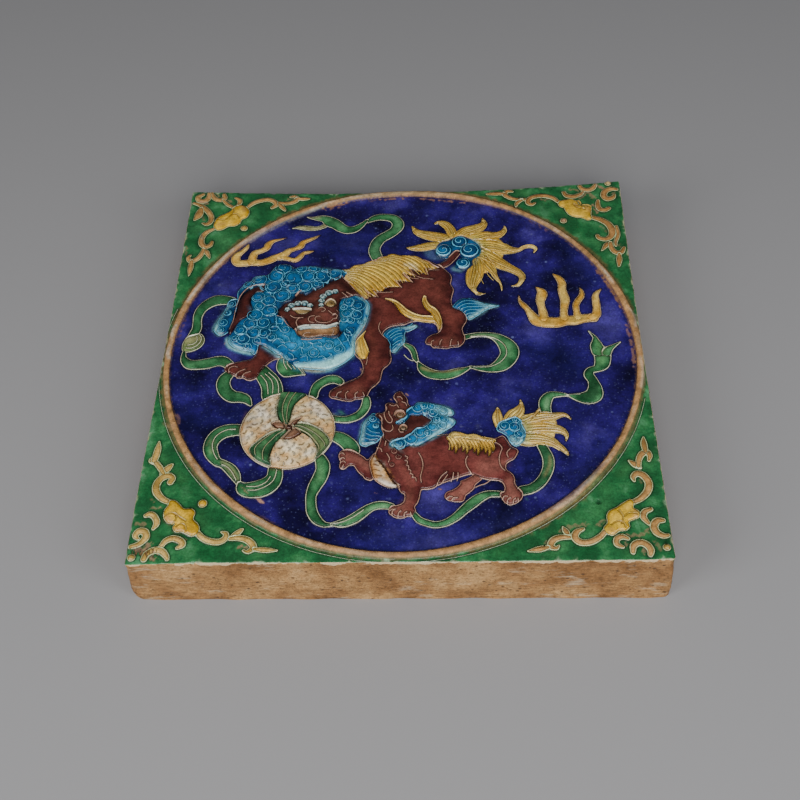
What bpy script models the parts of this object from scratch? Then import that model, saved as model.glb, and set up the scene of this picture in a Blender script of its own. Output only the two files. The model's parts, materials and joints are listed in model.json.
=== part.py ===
"""A square glazed floor tile with a lion, its cub and a ribboned ball in a raised roundel.

The tile is one piece of fired clay that lies flat. Its walls spread towards the bottom, its
corners stand a little higher than its middle, and the picture is pressed up from its top face.
The figures are drawn in hundredths of the roundel's inner radius, measured from the roundel's
centre, with +X to the right of the picture and +Y towards its top.
"""
import bmesh
import bpy
from math import atan2, cos, hypot, pi, sin, tau
from mathutils import Vector

# Sizes of the slab, in metres
side = 0.3000
thickness = 0.0355
wall_spread = 0.0029
top_cells = 4

# How far each corner of the top face stands above the middle, in metres
corner_lifts = {(-1, 1): 0.0047, (1, 1): 0.0072, (1, -1): 0.0014, (-1, -1): 0.0}

# Raised ring around the picture
ring_margin = 0.0015
ring_width = 0.0043
ring_height = 0.0024
ring_shift = (0.0004, 0.0012)
ring_steps = 38

# Heights of the figures above the top face
ribbon_height = 0.0014
body_height = 0.0017
mane_height = 0.0023
face_height = 0.0026
lock_height = 0.0027
thread_rise = 0.0005
ball_rise = 0.0030
scroll_height = 0.0017
flower_height = 0.0023

# Half a clay thread's width, the depth that figures reach into the slab, and the least step
# between the tops of two figures that touch
thread_half = 0.00065
root_depth = 0.0030
height_step = 0.00004
edge_inset = 0.0004

roundel_radius = side / 2 - ring_margin - ring_width
unit = roundel_radius / 100
thread = thread_half / unit

# The corner scrolls reach 102.9 of their own units up and down, as far as the tile's edge lets them
corner_unit = (side/2 - edge_inset - ring_shift[1]) / 102.9


for old in list(bpy.data.objects):
    bpy.data.objects.remove(old, do_unlink=True)

part_collection = bpy.data.collections.new("glazed_lion_tile")
cutter_collection = bpy.data.collections.new("relief_shapes")
bpy.context.scene.collection.children.link(part_collection)
bpy.context.scene.collection.children.link(cutter_collection)


def baked(source):
    """The mesh that an object's modifiers or curve settings make."""
    bpy.context.view_layer.update()
    return bpy.data.meshes.new_from_object(source.evaluated_get(bpy.context.evaluated_depsgraph_get()))


def along(line, part):
    """The place at a share of the way along a line."""
    at = part * (len(line) - 1)
    i = min(int(at), len(line) - 2)
    return tuple(a + (b - a)*(at - i) for a, b in zip(line[i], line[i + 1]))


def stroke(*line):
    """The outline of a brush stroke: each point gives its middle and half its width."""
    left, right = [], []
    for i, (x, y, half) in enumerate(line):
        x0, y0, _ = line[max(i - 1, 0)]
        x1, y1, _ = line[min(i + 1, len(line) - 1)]
        length = hypot(x1 - x0, y1 - y0)
        nx, ny = (y0 - y1) / length, (x1 - x0) / length
        turn = 0.0
        if 0 < i < len(line) - 1:
            turn = atan2((x - x0)*(y1 - y) - (y - y0)*(x1 - x), (x - x0)*(x1 - x) + (y - y0)*(y1 - y))
        # The inner side of a bend never passes the bend's own centre
        room = 0.8 * length / 2 / max(abs(turn), 1e-6)
        to_left = min(half, room) if turn > 0 else half
        to_right = min(half, room) if turn < 0 else half
        left.append((x + nx*to_left, y + ny*to_left))
        right.append((x - nx*to_right, y - ny*to_right))
    for end, other, sides in ((0, 1, slice(0, 1)), (-1, -2, slice(-1, None))):
        x, y, half = line[end]
        if half < 0.5:
            # A thin end is drawn as one point, a wide one narrows as it ends
            left[sides], right[sides] = [(x, y)], []
        else:
            reach = 0.5 * half / hypot(x - line[other][0], y - line[other][1])
            nose = Vector((x, y)) + Vector((x - line[other][0], y - line[other][1])) * reach
            for edge in (left, right):
                edge[end] = tuple(nose + (Vector(edge[end]) - Vector((x, y))) * 0.6)
    return left + right[::-1]


def disc(x, y, radius, sides):
    return [(x + radius*cos(tau*i/sides), y + radius*sin(tau*i/sides)) for i in range(sides)]


def curl(x, y, radius, start=0.0, samples=7):
    """A thread that winds in from its rim towards its middle."""
    points = []
    for i in range(samples):
        part = i / (samples - 1)
        angle = start + part * tau * (samples + 1)/9
        reach = (radius - thread) * (1 - 0.55*part)
        points.append((x + reach*cos(angle), y + reach*sin(angle), thread))
    return stroke(*points)


def locks(roots, tips, count, width):
    """Curved strands that run from one line to another, side by side."""
    strands = []
    for i in range(count):
        part = (i + 0.5) / count
        (x0, y0), (x1, y1) = along(roots, part), along(tips, part)
        sag_x, sag_y = (y1 - y0)*0.12, (x0 - x1)*0.12
        strands.append(stroke((x0, y0, width*0.5), ((2*x0 + x1)/3 - sag_x, (2*y0 + y1)/3 - sag_y, width),
                              ((x0 + 2*x1)/3 + sag_x, (y0 + 2*y1)/3 + sag_y, width), (x1, y1, width*0.3)))
    return strands


# Each figure is a list of outlines with the height of their tops

def ribbons():
    """Flat silk ribbons that wind between the figures."""
    return [(outline, ribbon_height) for outline in (
        stroke((-12, 57, 2.6), (-13.6, 61, 2.7), (-13.4, 65, 2.6), (-11, 70, 2.6), (-7.5, 73, 2.6),
               (-4.3, 76, 2.5), (-3, 79.5, 2.8), (-4.3, 83.3, 2.6), (-9, 85.2, 2.2), (-13.5, 84.9, 1.9),
               (-17.6, 82.8, 0.8)),
        stroke((-17, 84, 0.6), (-20.5, 79.7, 1.3), (-24, 77, 2.1), (-28, 77.1, 2.5), (-32, 80, 2.9),
               (-35.3, 82.4, 3.1), (-39, 84.5, 2), (-43, 84.9, 1.1), (-46.5, 85.7, 0.2)),
        stroke((-53, 78, 0.2), (-49.5, 78.4, 1.1), (-45, 77.8, 1.4), (-40.5, 78.1, 1.1), (-37, 80.5, 1.2)),
        stroke((-77.5, 31.3, 2.2), (-82, 32, 2.8), (-87.2, 30.2, 2.7), (-90.6, 26, 2.3), (-91.6, 20, 1.9),
               (-91.3, 15, 2.1), (-94.3, 9, 1.3)),
        [(-89, 11.5), (-87, 8), (-88.3, 3.8), (-92.5, 1.3), (-95.9, 2), (-96.2, 6.5), (-93, 10.6)],
        stroke((-95, 1.4, 1), (-94.2, -3.6, 1.7), (-91.2, -6, 2.5), (-86.5, -6, 2.7), (-81, -4.6, 2.7),
               (-75, -6, 2.3)),
        stroke((-74, -12, 2.2), (-75.9, -16.5, 2.8), (-74.3, -21.3, 3), (-70, -24.3, 2.9),
               (-65.4, -25.6, 2), (-63, -29, 0.5)),
        stroke((-60, -11, 3.2), (-56.5, -15.5, 4.2), (-54.8, -19.5, 4.4), (-54.3, -25, 4.5)),
        [(-52, -2), (-53.8, -7), (-53, -10.7), (-50.5, -13.3), (-46.5, -13.4), (-41, -12.6),
         (-43, -9.5), (-45, -3)],
        stroke((1.5, 3.4, 1.1), (4, 1.6, 1.4), (5.4, -1.6, 1.2), (6.4, -5.2, 0.7)),
        stroke((6.8, -5.6, 0.5), (9, -10, 1.9), (12.5, -13, 2.4), (18, -13.8, 2.3), (24, -12, 2),
               (29.5, -9.3, 0.4)),
        stroke((27.8, 7.8, 1.3), (33, 9, 1.1), (38.5, 8.6, 1.5), (43.2, 5.6, 2.8), (46.2, 0, 3.9),
               (45, -5.3, 3.8), (40.5, -9.6, 2.6), (35, -10.3, 1.4), (29, -9.4, 0.5)),
        stroke((-64.5, -41.8, 2.6), (-69, -41.8, 3), (-73.5, -43, 3.2), (-76.8, -47, 3), (-77, -52, 2.7),
               (-74.6, -56.6, 2.1), (-71, -59, 1.9), (-68, -61.4, 2.3), (-65.6, -64.6, 2), (-63.7, -70, 0.5)),
        stroke((-63.4, -68.4, 1), (-61.3, -71.2, 2.9), (-57, -71.6, 3.9), (-52.6, -69.6, 3.9),
               (-49.8, -65.5, 3.2), (-49.8, -60.5, 2.8)),
        stroke((-36.8, -24.5, 1.9), (-36.5, -21.5, 1.9), (-34.8, -17.8, 2.1), (-31.3, -15.5, 2.3),
               (-28, -15.4, 2.2), (-25.6, -17, 1.6)),
        stroke((-28, -36.3, 1.6), (-23, -36.8, 1.6), (-18.4, -35.4, 1.9), (-15.3, -32, 1.9),
               (-14.4, -28.5, 1.9), (-14.6, -25.2, 1.4)),
        stroke((-28, -44.8, 1.9), (-24.5, -46.3, 2.8), (-21.2, -49, 3.1), (-18.8, -53.2, 2.6)),
        stroke((-32.8, -55, 1.7), (-30.8, -60, 2.8), (-31.2, -65, 2.9), (-33.4, -70.3, 2.6),
               (-34.5, -75, 2), (-34, -81, 2.1), (-31.7, -85.6, 1.9), (-27.5, -88, 1)),
        stroke((-27, -88, 0.7), (-22.4, -87.5, 1.6), (-17.5, -85.4, 2.1), (-12.5, -81.4, 2),
               (-8.5, -79.3, 1.7), (-3, -79.8, 1.4)),
        stroke((6, -83, 1.1), (8.5, -86.3, 1.4), (14, -88.3, 1.4), (20, -86.3, 1.6), (25.3, -81.7, 1.9),
               (30, -77.4, 2.2), (34.5, -74.7, 1.6), (40.5, -74.6, 1.2)),
        stroke((48.4, -73, 2.3), (52, -71.9, 2.1), (56, -68.6, 2.1), (59, -62.5, 2.2), (59.2, -56.5, 2.2),
               (57, -50.5, 1.9)),
        stroke((60.2, -36, 2), (59.8, -30, 2.5), (62, -25.6, 2), (65.5, -24.8, 1.3), (70, -25.4, 0.7),
               (74, -26.2, 2), (78.4, -26.7, 3.3), (81.2, -23.5, 3.1), (80.9, -18.5, 2.2),
               (79.4, -14.5, 2.1), (81.4, -11.2, 1.7), (85, -8.7, 3), (86, -3, 3.7), (86.2, -0.6, 2.4)),
        stroke((84.9, -2.6, 2.8), (84, 1.5, 2.6), (83.7, 5.6, 1.2), (81.3, 10.2, 0.15)),
        stroke((87.6, -3, 2.2), (89.2, -0.3, 1.6), (91.2, 1.6, 0.8), (94.4, 3.8, 0.2)))]


def flames():
    """Two fires with tongues of uneven height, each tongue a tapered stroke."""
    left = (
        stroke((-73.3, 67.6, 0.15), (-75, 63.3, 1.1), (-78, 60, 1.8), (-78.2, 56.6, 2), (-74.5, 55.2, 1.9),
               (-69, 55.4, 2), (-63, 56.7, 2), (-58, 59, 2), (-55, 60.5, 1.6)),
        stroke((-70.8, 55.5, 2), (-70.4, 59.5, 1.7), (-67.5, 62.8, 1.4), (-64.6, 64.8, 1.5),
               (-63.4, 68, 1.4), (-60, 70.2, 0.6), (-55.8, 71.4, 0.1)),
        stroke((-58, 58.5, 1.6), (-54.5, 62.3, 1.6), (-50.2, 64.5, 1.2), (-48.2, 67.2, 1.5),
               (-45, 69.9, 1), (-39.9, 73.1, 0.1)),
        stroke((-57, 58.8, 1.4), (-50.6, 57, 1.3), (-47.6, 60.4, 1.1), (-42.4, 62.6, 0.2)))
    right = (
        stroke((52, 32.3, 0.1), (52.9, 27.8, 0.8), (55.6, 23.5, 1.3), (57, 19, 2), (59.5, 16.4, 2.7),
               (65, 15.6, 3), (71, 16.3, 2.4), (77, 17, 2.4), (83.6, 18, 2.1), (86.1, 22, 1.7),
               (86, 29, 1.5), (88.9, 35.2, 0.15)),
        stroke((62.3, 17, 2), (62.1, 22, 1.8), (61.4, 27.5, 1.7), (62.3, 32, 2.1), (60.2, 37, 0.2)),
        stroke((71.3, 17, 1.8), (71.6, 23.5, 1.6), (72.4, 29, 2), (71.7, 34.5, 1.7), (71.8, 39, 1.7),
               (68.2, 45, 0.2)),
        stroke((77.3, 17, 1.8), (76.9, 24, 1.3), (79.6, 30.8, 1.3), (79.5, 36, 0.15)))
    return [(outline, ribbon_height) for outline in left + right]


def big_tail():
    """Tail of the big lion: flying tufts of hair around four curls."""
    tufts = (
        stroke((1.5, 64, 0.15), (4, 63.7, 1.2), (9, 64.3, 2.3), (18, 65, 2.2)),
        stroke((3.8, 78.6, 0.15), (6.5, 74.4, 1.7), (12, 71.9, 2.7), (22, 68, 3)),
        stroke((14.8, 80.2, 0.4), (16.7, 80.9, 1.1), (20, 78.9, 2), (22.3, 74.7, 2.3), (23.5, 68, 2.4)),
        stroke((37.3, 82.8, 0.15), (37.4, 78.4, 1.7), (33, 75.3, 3), (25, 68, 3)),
        stroke((47.5, 76.8, 0.15), (46, 72.2, 1.6), (40, 70.8, 2.6), (29, 66, 3.4)),
        stroke((60.3, 58.9, 0.15), (60.8, 62.2, 0.9), (57, 62.8, 0.8), (52.5, 60.6, 1.2), (46, 62, 3.4),
               (33, 63, 4)),
        stroke((49.5, 38, 0.2), (53.2, 40, 1), (53.9, 44.5, 1.5), (49.5, 49, 2.2), (43, 53.6, 3.4),
               (33, 60, 4.2)),
        stroke((44.6, 35.6, 0.15), (43.4, 41.5, 0.6), (40.8, 48, 1.8), (36.5, 54, 3.4)),
        stroke((35.8, 33.7, 0.2), (32.6, 35, 0.7), (31.5, 40, 2.5), (33, 47, 3.9), (32, 56, 3.2)))
    stem = stroke((16, 50.5, 1.6), (20, 53.5, 1.7), (25.4, 60, 1.4))
    curls = ((18.5, 61.5, 3.8), (26, 67.3, 3.7), (30.7, 61.2, 4.4), (27.5, 52.7, 3.4))
    return ([(outline, ribbon_height) for outline in tufts] + [(stem, body_height)]
            + [(disc(*c, 7), mane_height) for c in curls]
            + [(curl(*c, start=2.2, samples=6), mane_height + thread_rise) for c in curls])


def cub_tail():
    """Tail of the cub: the same kind of tufts and curls, half as large."""
    tufts = (
        stroke((40.1, -31.3, 0.15), (40.1, -35, 1.7), (41.5, -41, 2)),
        stroke((49.8, -27.6, 0.15), (48.6, -32.4, 1.5), (44.5, -39, 3)),
        stroke((69.9, -37.9, 0.15), (67, -35.4, 1.1), (61, -37, 2.3), (55, -37.9, 3.2), (48, -40.5, 3.2)),
        stroke((67, -48.8, 0.15), (66.8, -45.4, 1.5), (63.5, -43, 2.6), (57, -44, 3.6), (48, -44.8, 3.6)),
        stroke((67.5, -55.8, 0.3), (64.4, -51.7, 1.4), (60, -49, 2.1), (49, -48.3, 2.5)))
    curls = ((42.4, -41.7, 2.6), (47.6, -41.4, 2.6), (47.2, -47.2, 3))
    return ([(outline, ribbon_height) for outline in tufts]
            + [(curl(*c, start=2.0, samples=5), mane_height + thread_rise) for c in curls])


def big_body():
    """The big lion's body and legs, with its toes, belly fringe and leg tufts."""
    body = [(-26, 43), (-20, 35), (-15.5, 26), (-17.2, 14), (-20, 7), (-20.4, 0), (-17.6, -4.8),
            (-16.5, -10.5), (-19.3, -15), (-25.5, -18.8), (-29.9, -22.3), (-29, -25.6), (-23.5, -27.1),
            (-17.5, -26.1), (-14.3, -24.8), (-12.5, -20.5), (-9, -16), (-7.8, -10.3), (-4.7, -6),
            (-5, 0.5), (-6.2, 6.6), (-9.2, 10.6), (-6, 14), (-1, 15.5), (4, 17.4), (10, 16.9),
            (15.3, 14.6), (16.6, 12), (13.2, 9.4), (10.4, 5.5), (13, 2.4), (20, 1.4), (25.6, 2.8),
            (27.3, 7), (26.4, 12), (28.3, 18), (26.5, 23), (22.5, 25.8), (21.8, 31), (22.8, 35.5),
            (21.5, 40), (21.8, 45), (18.5, 50), (12, 53), (0, 56), (-12, 54), (-22, 50)]
    paw = [(-64, 1.5), (-60, 4), (-56, 1), (-52, -2), (-54, -3.7), (-58.5, -7), (-61, -12),
           (-64.5, -15.2), (-70, -14.1), (-75.9, -9.8), (-74, -6.2), (-68.5, -4.3), (-64.6, -2.5)]
    tufts = (
        [(-9, 9.6), (-5, 13.6), (0, 14.5), (6.4, 14.8), (1.4, 11), (0.8, 4.5), (-3.5, -0.8),
         (-5.4, 3)],
        [(22.3, 25.8), (25, 30), (29.5, 31), (35, 28.3), (43, 26), (37, 23.5), (31, 18.3),
         (28, 21.3)],
        [(-20, 5.5), (-17.7, 9.5), (-15.9, 11.8), (-16.3, 6), (-14.3, 0), (-15.4, -5),
         (-18.8, -3), (-20.4, 1)])
    fringe = (
        stroke((-7.5, 30.6, 0.3), (-3.5, 29, 0.9), (-0.5, 24.2, 1.5), (5, 19.9, 1.5), (14.5, 17.2, 1.6)),
        stroke((10, 31.4, 0.4), (10.2, 26.8, 1), (14, 21, 1.5), (16, 15.8, 1), (16.4, 12.5, 0.4)))
    toes = [stroke((x - 1.2, y - 1.6, thread), (x - 0.6, y, thread), (x + 0.8, y + 0.9, thread))
            for x, y in ((-26.6, -23.8), (-22.6, -24), (-18.6, -24.2), (13.4, 4.7), (16.9, 4.2), (21.3, 3.7))]
    return ([(body, body_height), (paw, body_height)] + [(outline, mane_height) for outline in tufts + fringe]
            + [(outline, body_height + thread_rise) for outline in toes])


def back_locks():
    """Yellow hair that falls over the big lion's back in long combed locks."""
    mass = [(-27.5, 49), (-22, 53), (-14, 56), (-6, 59.9), (3, 59), (9, 56), (16.5, 50),
            (10.2, 50), (11.5, 45), (4.5, 48.8), (5, 44.5), (0, 46.4), (4.5, 40.5),
            (-3.5, 42), (-0.5, 37.5), (-8.5, 37), (-13, 36.4), (-11, 31.5), (-15.7, 35.6),
            (-15.5, 31), (-21, 35.5), (-26.5, 43.5)]
    strands = locks(((-25.5, 48.5), (-14, 54.2), (-3, 57.5), (8, 55.5)),
                    ((-17, 33), (-9, 38.5), (2, 42), (14.5, 50.5)), 7, 0.6)
    return [(mass, mane_height)] + [(outline, lock_height) for outline in strands]


def big_head():
    """The big lion's head, turned to the viewer: curled mane, ear, face, brows, nose and mouth."""
    mane = [(-76.3, 11), (-75.5, 20), (-75, 28), (-75.3, 36.5), (-72, 41), (-67, 45.8), (-62.3, 47.5),
            (-60.3, 51.2), (-56, 53.6), (-51, 51.8), (-45, 52.5), (-37, 51), (-30, 50.2), (-26, 47),
            (-24, 41), (-19.5, 33), (-15, 26.5), (-15.5, 20), (-18, 12.5), (-20.5, 6), (-20.7, -0.5),
            (-25, -6.6), (-33, -10), (-42, -9), (-51, -3), (-54.8, -0.5), (-60, 3.8), (-63, 3),
            (-64.5, -0.4), (-70, 2.1), (-75, 5.3)]
    lobe = [(-75, 32), (-78, 31.2), (-79.7, 27), (-81.5, 21), (-83.4, 14.5), (-81.4, 10.8), (-77.5, 12),
            (-76, 17), (-74.5, 25)]
    face = [(-29, 44.5), (-33, 43), (-38, 39), (-44, 34.3), (-50, 31.3), (-54.6, 27.5), (-55.8, 23.5),
            (-52.5, 18.8), (-49.3, 15), (-47, 9.5), (-43, 7), (-33, 7.4), (-28, 7.4), (-26.4, 10.5),
            (-28.2, 16), (-28, 23), (-27.3, 31), (-22.3, 33.2), (-25, 41)]
    ear = [(-63, 40), (-67.5, 39.5), (-72.2, 35.5), (-74.6, 28), (-76, 17), (-76.7, 11.5), (-74, 15),
           (-70, 20), (-67.3, 25), (-68.3, 31), (-66.5, 35), (-63, 36)]
    features = (
        [(-48.6, 25), (-47.3, 22.2), (-44.7, 21), (-42, 22.3), (-41.1, 24.9)],
        [(-35, 28.3), (-33.4, 31.3), (-31.3, 32.6), (-29.7, 29.3), (-31, 25.9), (-33.6, 25.9)],
        stroke((-51.5, 25.5, 1), (-48.7, 27.4, 1.3), (-44.6, 27.7, 1.4), (-41, 26, 1)),
        stroke((-36.8, 28, 1), (-36, 31.5, 1.5), (-33.3, 33.9, 1.4), (-30.4, 35, 1)),
        stroke((-41, 18.3, 2), (-37.5, 18.3, 2.4), (-33, 18.5, 2.3), (-30.3, 19.8, 1.5)),
        stroke((-46, 13.2, 0.8), (-41.5, 13.8, 1.6), (-35, 14, 1.4), (-28, 15.8, 1)),
        stroke((-47, 12.5, 0.6), (-44.3, 8.3, 0.8), (-38, 7.9, 1), (-31.5, 8, 0.9), (-27, 10, 0.6)))
    curls = ((-50.5, 43.5, 4.2), (-43, 45, 3.3), (-36, 45.5, 3.5), (-30.5, 47.3, 2.8), (-58.5, 45.5, 3.5),
             (-55, 50.2, 3.2), (-66, 43, 3.2), (-55, 33, 3.4), (-59.5, 38.5, 3.2), (-47.5, 37.3, 3),
             (-62, 29.8, 3), (-59.5, 23, 3.2), (-66.5, 20.5, 3.2), (-62, 15.5, 3), (-68.5, 13.5, 3),
             (-62.5, 8.3, 3), (-70, 6.8, 3), (-22, 27, 3.2), (-22.5, 20.3, 2.8),
             (-37.5, -2, 2.8), (-29, 1.5, 2.8), (-46, 0.5, 2.8))
    return ([(mane, mane_height), (lobe, mane_height), (face, face_height), (ear, face_height)]
            + [(outline, face_height + thread_rise) for outline in features]
            + [(curl(x, y, r, start=i*1.9, samples=6 if r > 3.3 else 5), mane_height + thread_rise)
               for i, (x, y, r) in enumerate(curls)])


def cub():
    """The cub: it runs with its head thrown back and one paw on the ribbon."""
    body = [(-6.5, -44), (-8.3, -50), (-9.7, -55), (-11.8, -58.5), (-11.3, -64), (-9.3, -68),
            (-4, -71.1), (0, -70), (2.3, -74.5), (1.3, -78.4), (-3, -80.3), (-3.6, -83.2), (0, -85.2),
            (5, -84.3), (6.6, -81.9), (7.4, -78), (8.2, -74), (9.4, -71.7), (13.6, -71.3), (18, -69.6),
            (24, -67.2), (28.5, -65.4), (33, -66.9), (38.7, -68), (41.6, -71), (40.9, -73.5),
            (39.7, -75.5), (41.6, -78.8), (44.6, -79.3), (48, -76.2), (47.8, -73.3), (45.6, -69.5),
            (45, -65.5), (42.2, -62.6), (46, -57), (47.4, -53), (45.5, -49.5), (42, -46.5),
            (38, -47.5), (30, -45.5), (20, -44.3), (14, -45.2), (6, -47), (-1, -45)]
    limbs = (stroke((-10.5, -63, 3.6), (-14.5, -59.6, 3.7), (-18.5, -56.8, 3.4), (-21.9, -57, 3.9)),
             stroke((29.5, -66, 1.9), (27.5, -70.5, 2.8), (24, -73.8, 2.9), (20.8, -75, 2.5)))
    head = [(-6.3, -29.7), (-3.4, -28.5), (-2.9, -25.5), (-1.3, -22.6), (0.9, -23.2), (2.8, -27.5),
            (5, -31), (9, -35), (12.5, -38), (10, -42), (5.5, -45), (0.5, -48.4), (-5, -48), (-7.6, -42.5),
            (-9.9, -35.5), (-8.2, -34), (-6.3, -33.3)]
    mane = [(5, -30.2), (8, -28.3), (13, -29), (18.5, -30.8), (21.8, -33.5), (19.2, -35.9), (22.3, -38.3),
            (20.5, -41.5), (16, -44.8), (12.5, -47.7), (7, -51.4), (3, -51), (-0.5, -52.9), (-3.9, -51.4),
            (-1.5, -48.6), (2.5, -47.5), (6, -43.8), (10.5, -41.5), (12.4, -38.2), (10, -36.2),
            (6.5, -36), (3, -38), (0, -41), (-1, -39), (1.5, -36.5), (2.7, -33)]
    tuft = [(-11.3, -33.9), (-14.6, -37.6), (-15.8, -44), (-16.5, -48), (-14, -50.7), (-9.5, -48.6),
            (-6.8, -44.2), (-7.8, -39), (-9.9, -36.2)]
    hair = [(20, -45.5), (25, -44.6), (32, -45.9), (38.6, -48.4), (38.6, -53), (34.8, -57),
            (33, -55), (28.5, -56.2), (23.9, -56.4), (22, -54), (19.7, -52.7)]
    strands = locks(((21, -46), (29, -46.2), (37, -48.6)),
                    ((21.5, -53.5), (29, -55.4), (37.5, -54.5)), 5, 0.5)
    curls = ((7.3, -31.8, 2), (13.5, -34.6, 1.9), (17.8, -38.4, 1.9), (13.3, -41, 2.1), (8.7, -45.2, 2.4),
             (4.4, -48, 2.2), (-0.1, -50.3, 2.1), (-12.5, -39.5, 1.8), (-13, -46, 1.8))
    threads = (stroke((27.3, -56.5, thread), (26.6, -60.5, thread), (28.6, -64.7, thread)),
               stroke((40.6, -51.5, thread), (40, -58, thread), (41.6, -63.2, thread)),
               stroke((7.6, -55, thread), (9.3, -60.5, thread), (8.6, -66.3, thread)))
    return ([(body, body_height)] + [(outline, ribbon_height) for outline in limbs]
            + [(head, face_height), (mane, mane_height), (tuft, mane_height), (hair, mane_height)]
            + [(outline, lock_height) for outline in strands]
            + [(disc(x, y, r, 6), face_height + thread_rise)
               for x, y, r in ((-0.1, -35.5, 2.1), (1.4, -42.4, 1.4))]
            + [(curl(*c, start=1.0, samples=5), mane_height + thread_rise) for c in curls]
            + [(outline, body_height + thread_rise) for outline in threads])


def ball_bands():
    """Three folded ribbons that wind over the brocade ball from its knot."""
    bands = (
        [(-50.5, -23.2), (-51.7, -30), (-50.3, -36.5), (-47, -41), (-45.6, -37), (-44.9, -30.5),
         (-41, -24.2), (-45.5, -22.8)],
        [(-46.5, -42), (-53, -44.2), (-58.5, -49), (-61, -53.2), (-57.5, -58), (-52, -60.6),
         (-52.3, -56), (-50.8, -50), (-47.5, -45)],
        [(-44.5, -40), (-39.5, -39.3), (-33, -42.5), (-28.4, -48.5), (-30.8, -53.6), (-34, -57),
         (-33.5, -53.5), (-35.5, -48.5), (-40, -44.5)])
    knot = disc(-45.8, -41.4, 2.2, 7)
    return ([(outline, ball_rise + 2*height_step) for outline in bands]
            + [(knot, ball_rise + thread_rise)])


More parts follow.
